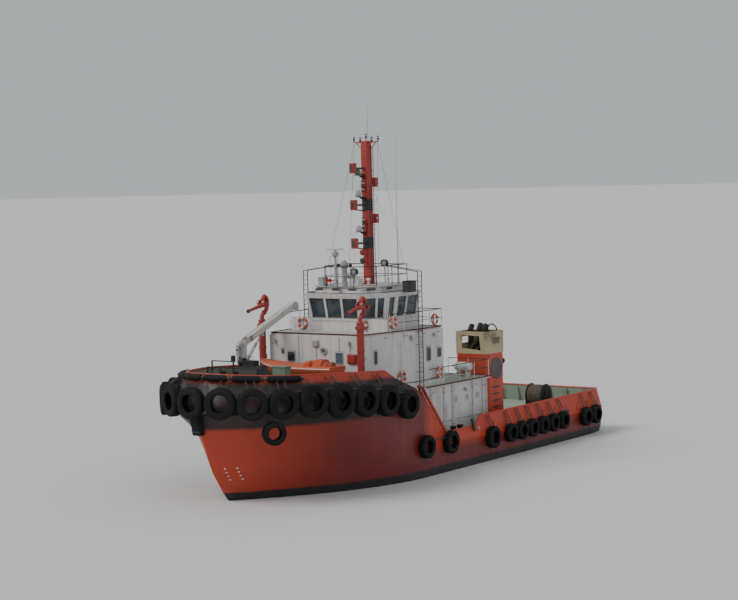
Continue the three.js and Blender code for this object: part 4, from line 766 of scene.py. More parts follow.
def chain(piece, start, end, size=0.075, sag=0.0):
    """Chain of oval links between two points."""
    start, end = Vector(start), Vector(end)
    count = max(2, round((end - start).length / (size * 1.5)))
    for i in range(count):
        share = (i + 0.5) / count
        at = start.lerp(end, share) - rise(sag * 4 * share * (1 - share))
        spot = aimed(at, end - start) @ Matrix.Rotation(math.pi / 2 * (i % 2), 4, "Z")
        piece.tube([spot @ Vector((a, 0, b)) for a, b in circle(8, size * 0.5, size)], size * 0.17,
                   "wire", 5, True)


def roll_line():
    """Middle of the roll under the bow bulwark's top edge, with the way out, from port to starboard."""
    _, head = bulwark_lines()
    outer = moved_out(head, 0.13 * BOW_LEAN + 0.19 * math.hypot(1, BOW_LEAN) + 0.01)
    line = []
    for (x, y), (u, v) in zip(head, outer):
        if x > 14.75:
            line.append((Vector((u, v, sheer(x) - 0.13)), Vector((u - x, v - y, 0)).normalized()))
    return line


def build_bow_fender():
    fender = Piece("bow_fender_tyres")
    path = bow_curve(TYRE_LINE) + [(FORE_AFT, HALF_BEAM)]
    roll = roll_line()
    for name, side in SIDES.items():
        tops = []
        for tyre in [*BOW_TYRES, LOW_TYRE] if name == "port" else BOW_TYRES:
            run, size, z = tyre
            spot, out = on_path(path, run)
            out.y *= side
            at = hang_tyre(fender, (spot.x, side * spot.y), out, z, size, BOW_WIDTH)
            if tyre == LOW_TYRE:
                chain(fender, at + rise(0.4), at + rise(1.1), 0.11)
                continue
            tops.append(at + rise(size * 0.4))
            edge, _ = on_bulwark(spot.x, sheer(spot.x) - 0.08, side)
            near = min((p for p, _ in roll), key=lambda p: (p.xy - at.xy).length)
            hook = near if (near.xy - at.xy).length < 1.3 else edge
            for shift in (-0.22, 0.22):
                along = Vector((-out.y, out.x, 0)) * shift
                chain(fender, at + along + out * 0.12 + rise(size * 0.32), hook + along, 0.09)
        for a, b in zip(tops, tops[1:]):
            chain(fender, a, b, 0.085, 0.12)
    at = hang_tyre(fender, (TYRE_LINE.stem, 0), Vector(AHEAD), 5.7, 1.75, BOW_WIDTH)
    chain(fender, at + rise(0.5), roll[len(roll) // 2][0], 0.09)
    pad = [(18.69, 3.9), (18.988, 4.95), (19.35, 4.95), (19.13, 3.9)]
    fender.slab(pad, -0.25, 0.25, "y", "roll")
    for z in (4.1, 4.4, 4.7):
        fender.box((19.1, -0.262, z - 0.03), (19.2, 0.262, z + 0.03), "dark")
    fender.done("fender_rubber", ["bow_fender"])
    bar = Piece("bow_fender_roll")
    line = [at for at, _ in roll]
    bar.tube(line, 0.075, "dark", 8)
    rolls = 6
    share = len(line) // rolls
    for start in range(0, share * rolls, share):
        part = line[start + 1:start + share]
        bar.tube(part, [0.168] + [0.188] * (len(part) - 2) + [0.168], "roll", 20)
    for at, out in roll[share::share]:
        bar.tube([at - out * 0.2 + rise(0.1), at + rise(0.2), at + out * 0.2], 0.03, "wire", 6)
    bar.done("fender_rubber")


def build_side_bulwarks():
    for name, side in SIDES.items():
        bulwark = build_aft_bulwark(name, side)
        path = [(FORE_AFT + 3, HALF_BEAM)] + stern_curve(LEVELS[-1])
        spots = []
        for x, z, size in SIDE_TYRES:
            spot, out = at_x(path, x)
            out.y *= side
            at = hang_tyre(bulwark, (spot.x, side * spot.y), out, z, size, SIDE_WIDTH)
            spots.append(at)
            if x > SWEEP_TOP - 0.2:
                continue
            hook = beside(spot, side, (STEP_TOP if x > STEP_X else BULWARK_TOP) - 0.06) - out * (LEAN - 0.05)
            for shift in (-0.16, 0.16):
                along = Vector((-out.y, out.x, 0)) * shift
                chain(bulwark, at + rise(size * 0.36) + along, hook + along, 0.07)
        chain(bulwark, spots[0] + rise(0.45), spots[1] + rise(0.45), 0.085, 0.16)
        for a, b in zip(spots[3:8], spots[4:9]):
            chain(bulwark, a + rise(0.3), b + rise(0.3), 0.07, 0.05)
        bulwark.done("hull_red", [f"side_bulwark_{name}"])


def build_transom_bulwark():
    bulwark = Piece("transom_bulwark_plate")
    foot = [(TRANSOM, y, DECK) for y in (-4.6, -2.3, 0, 2.3, 4.6)]
    head = [(TRANSOM + LEAN, y, BULWARK_TOP) for _, y, _ in foot]
    wall(bulwark, foot, head, 0.07, PLATE_LOOKS)
    bulwark.tube([(x + 0.03, y, z) for x, y, z in reversed(head)], 0.06, "hull")
    stay = [(-17.31, DECK), (-17.0, DECK), (-17.04, 1.9), (-16.98, 2.78), (-17.06, 2.8)]
    for i in range(7):
        y = -3.9 + 1.3 * i
        bulwark.slab(stay, y - 0.015, y + 0.015, "y", "deck")
    for y in STERN_TYRES_Y:
        at = hang_tyre(bulwark, (TRANSOM, y), Vector(ASTERN), 1.15, 1.3, SIDE_WIDTH)
        for shift in (-0.16, 0.16):
            chain(bulwark, at + Vector((0, shift, 0.48)), (-17.2, y + shift, 2.78), 0.07)
    for side in SIDES.values():
        x, y = -17.65, side * 4.25
        bulwark.lathe([(0.16, 0.5), (0.214, 0.56), (0.214, 2.64), (0.16, 2.7)], "roll", (x, y, 0), sides=24)
        for z in (0.9, 1.6, 2.3):
            bulwark.ring((x, y, z), UPWARD, 0.212, 0.017, "wire")
        for z, inner, radius in ((2.5, -17.25, 0.07), (1.5, -17.36, 0.05)):
            bulwark.tube([(x, y, z), (inner, y, z)], radius, "dark", 12)
    bulwark.done("hull_red", ["transom_bulwark"])


# Houses

HOUSE_FRONT, UPPER_AFT, LOWER_AFT, WHEELHOUSE_AFT = 8.3, 0.8, -3.93, 1.5
LADDER_AT = (3.7, 3.27)  # x of the side ladders' stringers
HELM_FLOOR = 8.56
UPPER = [(8.3, 3.36), (3.45, 4.05), (0.8, 4.05), (0.8, -4.05), (3.45, -4.05), (8.3, -3.36)]
WHEELHOUSE = [(6.27, 1.79), (5.01, 2.69), (1.5, 2.69), (1.5, -2.69), (5.01, -2.69), (6.27, -1.79)]
PANE_LOW, PANE_HEAD, ROOF_FOOT = 9.31, 10.45, 10.75
# Wall counted round the plan from the port bow corner, and the window's two ends along it.
WINDOWS = [
    (0, 0.1, 0.62), (0, 0.7, 0.93), (1, 0.1, 0.26), (1, 0.36, 0.6), (1, 0.64, 0.94), (2, 0.36, 0.49),
    (2, 0.51, 0.64), (3, 0.06, 0.36), (3, 0.4, 0.64), (3, 0.74, 0.9), (4, 0.07, 0.3), (4, 0.38, 0.9),
    (5, 0.04, 0.32), (5, 0.36, 0.64), (5, 0.68, 0.96),
]


def grown(plan, out):
    """Closed plan with every side moved out, by one distance or by one a side."""
    count = len(plan)
    steps = out if isinstance(out, list) else [out] * count
    sides = [(Vector(plan[(i + 1) % count]) - Vector(plan[i])).normalized() for i in range(count)]
    made = []
    for i, (x, y) in enumerate(plan):
        (bx, by), (ax, ay) = sides[i - 1], sides[i]
        back, ahead = steps[i - 1], steps[i]
        turn = bx * ay - by * ax
        made.append((x + (back * -ax + ahead * bx) / turn * -1, y + (ahead * by - back * ay) / turn * -1))
    return made


def leaning(z):
    lean = 0.28 * max(0.0, (z - SILL) / (ROOF_FOOT - SILL))
    return grown(WHEELHOUSE, [lean, lean, 0.0, lean, lean, lean])


def on_wheelhouse(wall_at, u, z, out=0.0, aside=0.0):
    """Point on a wheelhouse wall: share along it, height, distance outwards and distance aside."""
    plan = leaning(z)
    start, end = Vector(plan[wall_at]), Vector(plan[(wall_at + 1) % 6])
    along = (end - start).normalized()
    spot = start.lerp(end, u) + along * aside + Vector((along.y, -along.x)) * out
    return Vector((*spot, z))


def rounded(width, height, radius, steps=3):
    """Rectangle with round corners about the origin."""
    w, h = width / 2 - radius, height / 2 - radius
    return [(x + radius * math.cos(a), y + radius * math.sin(a))
            for i, (x, y) in enumerate([(w, h), (-w, h), (-w, -h), (w, -h)])
            for a in arc(steps, i * math.pi / 2, (i + 1) * math.pi / 2)]


def panel(piece, spot, out, width, height, look, thick=0.02, radius=0.05, shift=0.0):
    """Plate with round corners against a wall."""
    rings = [[(x, y, z) for x, y in rounded(width - 2 * r, height - 2 * r, radius)]
             for r, z in ((0, shift), (0, shift + thick * 0.7), (thick * 0.3, shift + thick))]
    with piece.within(facing(spot, out)):
        piece.loft(rings, look)


def window(piece, spot, out, width, height, pane="pane", rim="grey"):
    """Small ship's window: rim, pane and a drip bar over it."""
    rings = [[(x, y, z) for x, y in rounded(width + 2 * r, height + 2 * r, 0.07 + r)]
             for r, z in ((0.05, 0.0), (0.05, 0.025), (0.035, 0.035), (0.008, 0.035), (0, 0.025), (0, 0.004))]
    brow = [(-width / 2 - 0.09, 0.04, 0.02), (-width / 2 - 0.03, 0.1, 0.045), (width / 2 + 0.03, 0.1, 0.045),
            (width / 2 + 0.09, 0.04, 0.02)]
    with piece.within(facing(spot, out)):
        piece.loft(rings, rim, OPEN)
        piece.slab(rounded(width, height, 0.07), 0.002, 0.014, "z", pane)
        piece.tube([(x, height / 2 + y, z) for x, y, z in brow], 0.012, rim, 6)


def wall_lamp(piece, spot, out):
    with piece.within(facing(spot, out)):
        piece.box((-0.07, -0.05, 0), (0.07, 0.05, 0.06), "grey")
        piece.lathe([(0.05, 0), (0.075, 0.05), (0.075, 0.14), (0.04, 0.18)], "lens", (0, 0, 0.12),
                    (0, -1, 0.4), 12)
        for x, z in circle(4, 0.082):
            piece.tube([(x, 0, 0.12 + z), (x, -0.16, 0.17 + z)], 0.006, "dark", 5)
        piece.tube([(0, 0.04, 0.04), (0, 0.09, 0.1), (0, 0, 0.16)], 0.015, "dark", 6)


def side_wall(x, side):
    """Place and way out on the upper house's long walls."""
    (x0, y0), (x1, y1) = UPPER[0:2] if x > 3.45 else UPPER[1:3]
    y = between(y0, y1, (x - x0) / (x1 - x0))
    out = Vector((y1 - y0, x0 - x1, 0)).normalized()
    return y * side, (out.x, side * out.y, 0)


def build_decks():
    """Deck plates over the houses: white edge, red line, black pipe round them and green or grey top."""
    boat = [(3.0, 4.35), (-4.08, 4.35), (-4.08, -4.35), (3.0, -4.35)]
    for name, plan, z, top, edges in (("boat_deck", boat, FORE_DECK, "deck", 3),
                                      ("bridge_deck", grown(UPPER, 0.08), BRIDGE, "upper_deck", 6)):
        deck = Piece(f"{name}_plate")
        deck.slab(plan, z - 0.0997, z - 0.045, "z", "white", ("white", None))
        deck.slab(plan, z - 0.045, z - 0.012, "z", "trim", OPEN)
        rings = [at_height(grown(plan, out), z + up) for out, up in ((0, -0.012), (-0.012, 0), (-0.05, 0))]
        deck.loft(rings, top, (None, top))
        line = [Vector((*spot, z + 0.02)) for spot in grown(plan, -0.025)]
        for a, b in list(zip(line, line[1:] + line[:1]))[:edges]:
            deck.tube([a, b], 0.026, "black", 8)
            count = round((b - a).length / 0.85)
            for i in range(count):
                at = a.lerp(b, (i + 0.5) / count)
                deck.box((at.x - 0.03, at.y - 0.03, z), (at.x + 0.03, at.y + 0.03, z + 0.05), "dark")
        if name == "bridge_deck":
            wing_plates(deck)
        deck.done("deck_green", [name])


def wing_plates(deck):
    """Plates across the bridge deck on both sides of the wheelhouse's front."""
    outline = [(2.1, BRIDGE), (3.5, BRIDGE), (3.5, 9.19), (3.44, SILL), (2.16, SILL), (2.1, 9.19)]
    for side in SIDES.values():
        deck.slab([(side * y, z) for y, z in outline], 5.87, 5.93, "x", "white")
        deck.tube([(5.9, side * 2.1, SILL), (5.9, side * 3.5, SILL)], 0.02, "dark", 8)


def build_wheelhouse():
    keep("wheelhouse_walls", "white", 0.008)
    keep("wheelhouse_glass", "glass")
    trim = Piece("wheelhouse_frames")
    # Distance round the pane and outwards, along a frame's section.
    section = ((0.045, 0.004), (0.035, 0.018), (-0.012, 0.018), (-0.018, -0.07), (0.045, -0.005))
    for wall_at, u0, u1 in WINDOWS:
        corners = [(u0, PANE_LOW, -1, -1), (u1, PANE_LOW, 1, -1), (u1, PANE_HEAD, 1, 1),
                   (u0, PANE_HEAD, -1, 1)]
        trim.loft([[on_wheelhouse(wall_at, u, z + up * m, out, aside * m) for m, out in section]
                   for u, z, aside, up in corners], "dark", closed=True)
        middle = (u0 + u1) / 2
        if wall_at in (0, 4, 5):
            wiper(trim, wall_at, middle)
        trim.tube([on_wheelhouse(wall_at, u, PANE_HEAD + 0.09, 0.02) for u in (u0, u1)], 0.016, "white", 6)
    for wall_at in (0, 1, 3, 4, 5):
        trim.tube([on_wheelhouse(wall_at, u, 9.18, 0.07) for u in (0.04, 0.5, 0.96)], 0.018, "white", 8)
        for u in (0.04, 0.35, 0.65, 0.96):
            trim.tube([on_wheelhouse(wall_at, u, 9.18, reach) for reach in (0.07, -0.01)], 0.014, "white", 6)
    for y in (-0.5, 2.35):
        wall_lamp(trim, (WHEELHOUSE_AFT, y, 10.6), ASTERN)
    trim.done("house_white")
    build_wheelhouse_roof()


def wiper(trim, wall_at, middle):
    """Wiper over a pane: motor, arm and blade."""
    top, foot = (on_wheelhouse(wall_at, middle, z, 0.05) for z in (PANE_HEAD + 0.03, PANE_LOW + 0.5))
    trim.tube([top - rise(0.05), foot], 0.011, "dark", 6)
    trim.tube([on_wheelhouse(wall_at, middle, z, 0.03, 0.03) for z in (9.5, 10.25)], 0.013, "black", 6)
    trim.ball(top, 0.045, "dark", 10)


def build_wheelhouse_roof():
    """Roof with a rounded edge, a red line, vent slots drawn as dark plates of painted shade and a black box
    on its port side.
    """
    roof = Piece("wheelhouse_roof_slab")
    plan = leaning(ROOF_FOOT)
    edge = ((0.0, ROOF_FOOT), (0.13, 10.77), (0.15, 10.8), (0.15, 11.03), (0.1, ROOF), (0.04, ROOF))
    roof.loft([at_height(grown(plan, out), z) for out, z in edge], "white")
    line = ((0.148, 10.83), (0.156, 10.835), (0.156, 10.865), (0.148, 10.87))
    roof.loft([at_height(grown(plan, out), z) for out, z in line], "trim", OPEN)
    for wall_at, u in ((5, 0.13), (5, 0.5), (5, 0.87), (0, 0.5), (4, 0.5), (1, 0.2), (3, 0.2), (3, 0.7)):
        start, end = Vector(plan[wall_at]), Vector(plan[(wall_at + 1) % 6])
        along = (end - start).normalized()
        out = Vector((along.y, -along.x, 0))
        # Painted shade: a dark plate for each vent slot.
        panel(roof, start.lerp(end, u).to_3d() + out * 0.15 + rise(10.97), out,
              0.6, 0.13, "dark", 0.008, 0.06)
    for low, high, look in (((2.93, 3.09, 10.7), (3.63, 3.6, 11.35), "black"),
                            ((2.97, 3.6, 10.75), (3.27, 3.612, 11.3), "dark"),
                            ((3.3, 3.6, 10.75), (3.59, 3.612, 11.3), "dark"),
                            ((3.63, 3.14, 10.75), (3.642, 3.55, 11.3), "dark"),
                            ((2.9, 3.06, 11.33), (3.66, 3.63, 11.37), "black")):
        roof.box(low, high, look)
    roof.done("house_white", ["wheelhouse_roof"], 0.006)


def build_helm():
    keep("helm_console", "dark", 0.015)
    helm = Piece("helm_fittings", place=Matrix.Translation((0, 0, HELM_FLOOR)))
    for y in (-0.9, 0.0, 0.9):
        screen = [(5.285, 0.98), (5.275, 0.98), (5.335, 1.16), (5.345, 1.16)]
        helm.slab(screen, y - 0.24, y + 0.24, "y", "pane")
        for k in range(6):
            helm.lathe([(0.014, 0), (0.014, 0.02), (0.01, 0.025)], "raft" if k % 2 else "buoy",
                       (5.08, y - 0.2 + 0.08 * k, 0.9), (-0.5, 0, 1), 8)
    wheel, axle = (4.86, 0, 0.86), (-1, 0, 0.5)
    helm.ring(wheel, axle, 0.17, 0.014, "black")
    for a, b in circle(3, 0.17):
        helm.tube([(4.88, 0, 0.86), aimed(wheel, axle) @ Vector((a, b, 0))], 0.01, "steel", 6)
    for y in (-0.52, -0.38, 0.38, 0.52):
        helm.tube([(5.0, y, 0.86), (4.97, y, 1.02)], 0.012, "steel", 6)
        helm.ball((4.97, y, 1.02), 0.026, "black", 10)
    for name, side in SIDES.items():
        y = side * 0.65
        pad = Matrix.Translation((4.29, y, HELM_FLOOR + 0.63))
        cushion(f"helm_seat_pad_{name}", pad, (0.44, 0.46), 0.08)
        cushion(f"helm_seat_back_{name}", facing((4.05, y, HELM_FLOOR + 0.96), (1, 0, 0.17)),
                (0.42, 0.48), 0.09)
        for shift in (-0.27, 0.27):
            helm.box((4.05, y + shift - 0.03, 0.85), (4.42, y + shift + 0.03, 0.89), "dark")
        bar = [(4.06, -0.27, 0.86), (4.03, -0.24, 0.74), (4.03, 0.24, 0.74), (4.06, 0.27, 0.86)]
        helm.tube([(x, y + shift, z) for x, shift, z in bar], 0.018, "steel", 8)
    helm.done("black_paint", bevel=0.01)


# Share of a cushion's breadth and of its thickness, from its flat back to the crown.
CROWN = [(0.86, 0.0), (0.97, 0.12), (1.0, 0.4), (0.97, 0.68), (0.86, 0.86), (0.6, 0.97), (0.3, 1.0)]


def cushion(name, place, size, thick):
    """Crowned pad with a piped seam, its sides drawn in between the corners."""
    pad = Piece(name, place=place)
    outline = []
    for a in arc(40)[:-1]:
        c, s = math.cos(a), math.sin(a)
        reach = (abs(c) ** 5 + abs(s) ** 5) ** -0.2 * (0.965 + 0.035 * abs(math.sin(2 * a))) / 2
        outline.append((c * reach * size[0], s * reach * size[1]))
    rings = [[(x * share, y * share, up * thick) for x, y in outline] for share, up in CROWN]
    pad.loft(rings, "seat")
    pad.tube(rings[2], 0.006, "dark", 6, True)
    return pad.done("black_paint")


# Hinge x, hinge y, way from the hinge to the free edge, and the deck that each door stands on.
DOORS = {"deckhouse_door_lower": (LOWER_AFT, 0.3, -1, DECK),
         "deckhouse_door_upper": (UPPER_AFT, 1.9, -1, FORE_DECK),
         "wheelhouse_door_port": (WHEELHOUSE_AFT, 1.8, -1, BRIDGE),
         "wheelhouse_door_starboard": (WHEELHOUSE_AFT, -1.8, 1, BRIDGE)}


def build_doors():
    frames = Piece("door_frames")
    for name, (x, y, way, deck) in DOORS.items():
        keep(name, "white", 0.008)
        low, high = deck + 0.06, deck + 1.88
        door_fittings(name, x + 0.01, y, way, low)
        hinge, free = y - way * 0.035, y + way * 0.6
        inner = [(hinge, low), (free, low), (free, high), (hinge, high)]
        back, front = hinge - way * 0.05, free + way * 0.06
        outer = [(back, low - 0.05), (front, low - 0.05), (front, high + 0.05), (back, high + 0.05)]
        frames.loft([[(x, a, b), (x - 0.025, a, b), (x - 0.025, c, d), (x, c, d)]
                     for (a, b), (c, d) in zip(outer, inner)], "grey", closed=True)
        if deck != BRIDGE:
            brow = [(x - 0.32, high + 0.12), (x, high + 0.2), (x, high + 0.22), (x - 0.33, high + 0.14)]
            frames.slab(brow, y - 0.45 if way < 0 else y + 0.1, y + 0.1, "y", "white")
    frames.done("house_white")


def door_fittings(name, face, y, way, low):
    """Window, panel, handle and hinges, which ride on a door's leaf."""
    leaf = Piece(f"{name}_fittings", name)
    middle, grip = y + way * 0.3, y + way * 0.53
    window(leaf, (face, middle, low + 1.42), ASTERN, 0.3, 0.42, "pane", "steel")
    panel(leaf, (face, middle, low + 0.55), ASTERN, 0.42, 0.7, "white", 0.012)
    knob = [(0.03, 0), (0.03, 0.02), (0.016, 0.03), (0.016, 0.06)]
    leaf.lathe(knob, "steel", (face, grip, low + 0.95), ASTERN, 12)
    leaf.tube([(face - 0.05, grip, low + 0.95), (face - 0.055, grip - way * 0.13, low + 0.93)],
              0.012, "steel", 8)
    for z in (low + 0.22, low + 0.9, low + 1.6):
        leaf.box((face - 0.014, y + way * 0.012, z - 0.04), (face, y + way * 0.17, z + 0.04), "grey")
    leaf.done("house_white")


def build_houses():
    keep("lower_deckhouse", "white", 0.01)
    keep("upper_deckhouse", "white", 0.01)
    trim = Piece("deckhouse_trim")
    front_wall(trim)
    for side in SIDES.values():
        upper_wall(trim, side)
        lower_wall(trim, side)
    for x, y, z, width, height in ((LOWER_AFT, 2.2, 3.5, 0.45, 0.45), (LOWER_AFT, -1.6, 3.5, 0.45, 0.45),
                                   (LOWER_AFT, 3.3, 3.5, 0.45, 0.45), (UPPER_AFT, -1.4, 7.0, 0.5, 0.6),
                                   (UPPER_AFT, 3.1, 7.0, 0.5, 0.6)):
        window(trim, (x, y, z), ASTERN, width, height)
    for y in (1.2, -2.9):
        panel(trim, (LOWER_AFT, y, 4.2), ASTERN, 0.6, 0.4, "grey", 0.1, 0.03)
    wall_lamp(trim, (LOWER_AFT, -0.9, 4.5), ASTERN)
    wall_lamp(trim, (UPPER_AFT, 0.9, 7.6), ASTERN)
    trim.done("house_white")
    climb = Piece("side_ladders")
    for side in SIDES.values():
        y = side * 4.21
        for x in LADDER_AT:
            climb.tube([(x, y, 5.05), (x, y, 11.93)], 0.028, "dark", 8)
            climb.tube([(x - 0.05, side * 1.96, 12.25), (x, y, 11.93)], 0.024, "dark", 8)
            for z in (6.0, 7.6, 8.4):
                climb.tube([(x, y, z), (x, side * 4.0, z)], 0.018, "dark", 6)
        for k in range(22):
            climb.tube([(x, y, 5.35 + k * 0.3) for x in LADDER_AT], 0.014, "dark", 6)
    climb.done("black_paint")


def front_wall(trim):
    """Windows, hose boxes, horn, lamps and cable runs on the upper house's front."""
    window(trim, (HOUSE_FRONT, 1.73, 7.13), AHEAD, 0.48, 0.62, "pale_pane")
    window(trim, (HOUSE_FRONT, -1.76, 7.13), AHEAD, 0.5, 0.51)
    window(trim, (HOUSE_FRONT, -2.38, 7.43), AHEAD, 0.16, 0.26)
    for x, y, z, width, height, look, thick, radius in (
            (0, 2.66, 7.13, 0.62, 0.56, "red", 0.16, 0.04), (0.16, 2.66, 7.13, 0.5, 0.44, "red", 0.012, 0.03),
            (0, 0.07, 7.95, 0.42, 0.4, "grey", 0.14, 0.03), (0, -0.6, 5.8, 0.5, 0.7, "red", 0.18, 0.03)):
        panel(trim, (HOUSE_FRONT + x, y, z), AHEAD, width, height, look, thick, radius)
    horn = (HOUSE_FRONT, 0.63, 7.53)
    trim.lathe([(0.2, 0), (0.22, 0.03), (0.22, 0.09), (0.17, 0.1), (0.15, 0.05), (0, 0.04)],
               "grey", horn, AHEAD, 24)
    trim.lathe([(0, 0.05), (0.09, 0.05), (0.07, 0.07), (0, 0.075)], "dark", horn, AHEAD, 16)
    for y, low, high, look in ((2.5, 7.42, 7.95, "dark"), (1.73, 7.52, 8.4, "grey"),
                               (0.07, 5.1, 7.74, "grey"), (-1.2, 5.1, 8.4, "grey"), (3.1, 5.1, 8.4, "grey")):
        trim.tube([(HOUSE_FRONT + 0.03, y, low), (HOUSE_FRONT + 0.03, y, high)], 0.014, look, 6)
        for k in range(round((high - low) / 0.5)):
            z = low + 0.2 + 0.5 * k
            trim.box((HOUSE_FRONT, y - 0.03, z), (HOUSE_FRONT + 0.045, y + 0.03, z + 0.03), "grey")
    for y, z in ((2.5, 8.05), (-2.9, 8.05)):
        wall_lamp(trim, (HOUSE_FRONT, y, z), AHEAD)


def upper_wall(trim, side):
    """Windows, scupper stains, lamps, lifebuoy and pipe along a side of the upper house."""
    for x, z, width, height in ((7.215, 7.12, 0.23, 0.72), (2.45, 6.94, 0.4, 0.76), (1.3, 6.94, 0.4, 0.5)):
        y, out = side_wall(x, side)
        window(trim, (x, y, z), out, width, height)
    for x in (6.3, 4.6, 2.9, 1.4):
        y, out = side_wall(x, side)
        panel(trim, (x, y, 8.2), out, 0.42, 0.045, "stain", 0.004, 0.02)
    for x in (4.2, 1.9):
        y, out = side_wall(x, side)
        wall_lamp(trim, (x, y, 8.1), out)
    y, out = side_wall(5.1, side)
    lifebuoy(trim, (5.1, y + side * 0.1, 5.8), out)
    trim.tube([(x, side_wall(x, side)[0] + side * 0.05, 5.42) for x in (7.9, 3.45, 0.95)], 0.02, "dark", 8)
    for x in (7.5, 5.9, 4.3, 2.7, 1.2):
        y, _ = side_wall(x, side)
        trim.tube([(x, y - side * 0.01, 5.42), (x, y + side * 0.05, 5.42)], 0.014, "dark", 6)


def lower_wall(trim, side):
    """Portholes, hatches, pipes, stains, lamp and grab rail along a side of the lower house."""
    wall_y, out = side * HOUSE_HALF, (0, side, 0)
    for x in (-0.2, -1.5, -2.7):
        panel(trim, (x, wall_y, 3.95), out, 0.46, 0.46, "white", 0.03, 0.05)
        port = [(0.17, 0), (0.19, 0.03), (0.16, 0.05), (0.13, 0.04), (0, 0.04)]
        trim.lathe(port, "grey", (x, wall_y, 3.95), out, 20)
    for x, width, height, z in ((1.7, 0.62, 1.7, 2.9), (-0.85, 0.5, 1.15, 3.1), (0.7, 0.4, 0.9, 3.4)):
        panel(trim, (x, wall_y, z), out, width, height, "white", 0.035, 0.06)
        grip = (x + width * 0.36, side * 4.25, z)
        trim.tube([grip, Vector(grip) - rise(0.14)], 0.012, "steel", 6)
    for k, x in enumerate((2.6, 2.45, 1.15, 0.2, 0.05, -2.15, -3.3, -3.42, -3.75)):
        trim.tube([(x, side * 4.25, 1.78), (x, side * 4.25, 4.88)], 0.032 if k % 3 else 0.045, "white", 8)
        for z in (2.5, 3.5, 4.5):
            trim.box((x - 0.06, wall_y, z - 0.02), (x + 0.06, side * 4.3, z + 0.02), "grey")
    for x in (2.2, 0.0, -2.6):
        panel(trim, (x, wall_y, 4.62), out, 0.4, 0.045, "stain", 0.004, 0.02)
    wall_lamp(trim, (-1.2, wall_y, 4.5), out)
    trim.tube([(-3.9, side * 4.24, 2.75), (2.4, side * 4.24, 2.75)], 0.018, "grey", 8)


# Mast and roof

MAST_X, MAST_HEAD = 2.65, 19.75
RADAR_X, COMPASS_X = 6.1, 5.2
# Height of each mast arm, its reach from the mast's middle and the height of the box at its end.
MAST_ARMS = [(18.1, 1.42, 0.6), (15.9, 1.42, 0.6), (13.6, 1.42, 0.6), (17.25, -0.8, 0.55),
             (15.05, -0.8, 0.55)]


def lantern(piece, at, size):
    """Navigation lantern: foot, glass and cap."""
    foot = [(0.8, 0), (0.8, 1), (1, 1.1), (1, 1.4)]
    bulb = [(0.8, 0), (0.85, 0.6), (0.8, 1.2)]
    cap = [(1, 0), (0.95, 0.4), (0.4, 0.8)]
    for profile, up, look in ((foot, 0, "dark"), (bulb, 1.4, "lens"), (cap, 2.6, "dark")):
        piece.lathe([(size * r, size * h) for r, h in profile], look, Vector(at) + rise(size * up), sides=14)


def build_mast():
    mast = Piece("mast_post", place=Matrix.Translation((MAST_X, 0, 0)))
    mast.loft([at_height(rounded(0.56 * w, 0.52 * w, 0.1 * w, 4), z)
               for z, w in ((ROOF + SEAT, 1.0), (13.2, 1.0), (19.6, 0.97), (MAST_HEAD, 0.9))], "mast")
    for z in (12.9, 14.7, 16.7, 18.7):
        mast.slab(rounded(0.58, 0.54, 0.1, 4), z, z + 0.03, "z", "mast")
    mast.slab(rounded(0.9, 0.85, 0.1), ROOF + SEAT, ROOF + 0.03, "z", "mast")
    for x, y in ((0.42, 0), (-0.42, 0), (0, 0.38), (0, -0.38)):
        web = [Vector((x * share, y * share, ROOF + up))
               for share, up in ((1, 0.02), (0.62, 0.5), (0.62, 0.02))]
        half = Vector((y, x, 0)).normalized() * 0.015
        mast.loft([[p + half, p - half] for p in web], "mast", closed=True)
    mast_arms(mast)
    mast_head(mast)
    mast_lines(mast)
    mast.done("fire_red", ["mast"])


def mast_arms(mast):
    """Boxes on arms, domes on brackets, lanterns and horns."""
    for z, reach, height in MAST_ARMS:
        low, high = z - height / 2, z + height / 2
        mast.box((min(reach, 0), -0.05, z - 0.06), (max(reach, 0), 0.05, z + 0.06), "dark")
        if reach > 0:
            strut = [(reach - 0.1, 0, z - height * 0.42), (reach - 0.4, 0, low), (0.26, 0, z - height * 0.62)]
            mast.tube(eased(strut, 5), 0.035, "dark", 8)
        mast.block(reach, 0, (0.34, 0.34), 0.03, low, high, "red")
        mast.block(reach, 0, (0.3, 0.3), 0.03, high, high + 0.02, "red")
        for y in (0.17, -0.17):
            panel(mast, (reach, y, z), (0, y, 0), 0.26, height - 0.1, "red", 0.012, 0.03)
        if reach > 0:
            panel(mast, (reach + 0.17, 0, z), AHEAD, 0.2, height - 0.2, "dark", 0.012, 0.03)
    dome = [(0.16, 0), (0.185, 0.06), (0.19, 0.14), (0.17, 0.24), (0.13, 0.33), (0.07, 0.385), (0, 0.4)]
    for z, look in ((17.7, "lamp_green"), (16.4, "grey"), (14.3, "grey")):
        mast.slab([(0.1, -0.15), (1.15, -0.18), (1.15, 0.18), (0.1, 0.15)], z - 0.03, z, "z", "dark")
        mast.slab([(0.2, z - 0.03), (0.9, z - 0.03), (0.25, z - 0.3)], -0.012, 0.012, "y", "dark")
        mast.lathe(dome, look, (0.93, 0, z))
    for z in (17.0, 14.8):
        mast.box((0.2, -0.12, z), (0.62, 0.12, z + 0.03), "dark")
        for up in (0.03, -0.36):
            lantern(mast, (0.48, 0, z + up), 0.1)
    for z, look in ((12.9, "red"), (12.4, "dark")):
        mast.box((0.2, -0.08, z), (0.62, 0.08, z + 0.03), "red")
        mast.lathe([(0.05, 0), (0.17, 0.08), (0.18, 0.2), (0.1, 0.24)], look, (0.5, 0, z + 0.16),
                   (1, 0, -0.15), 16)


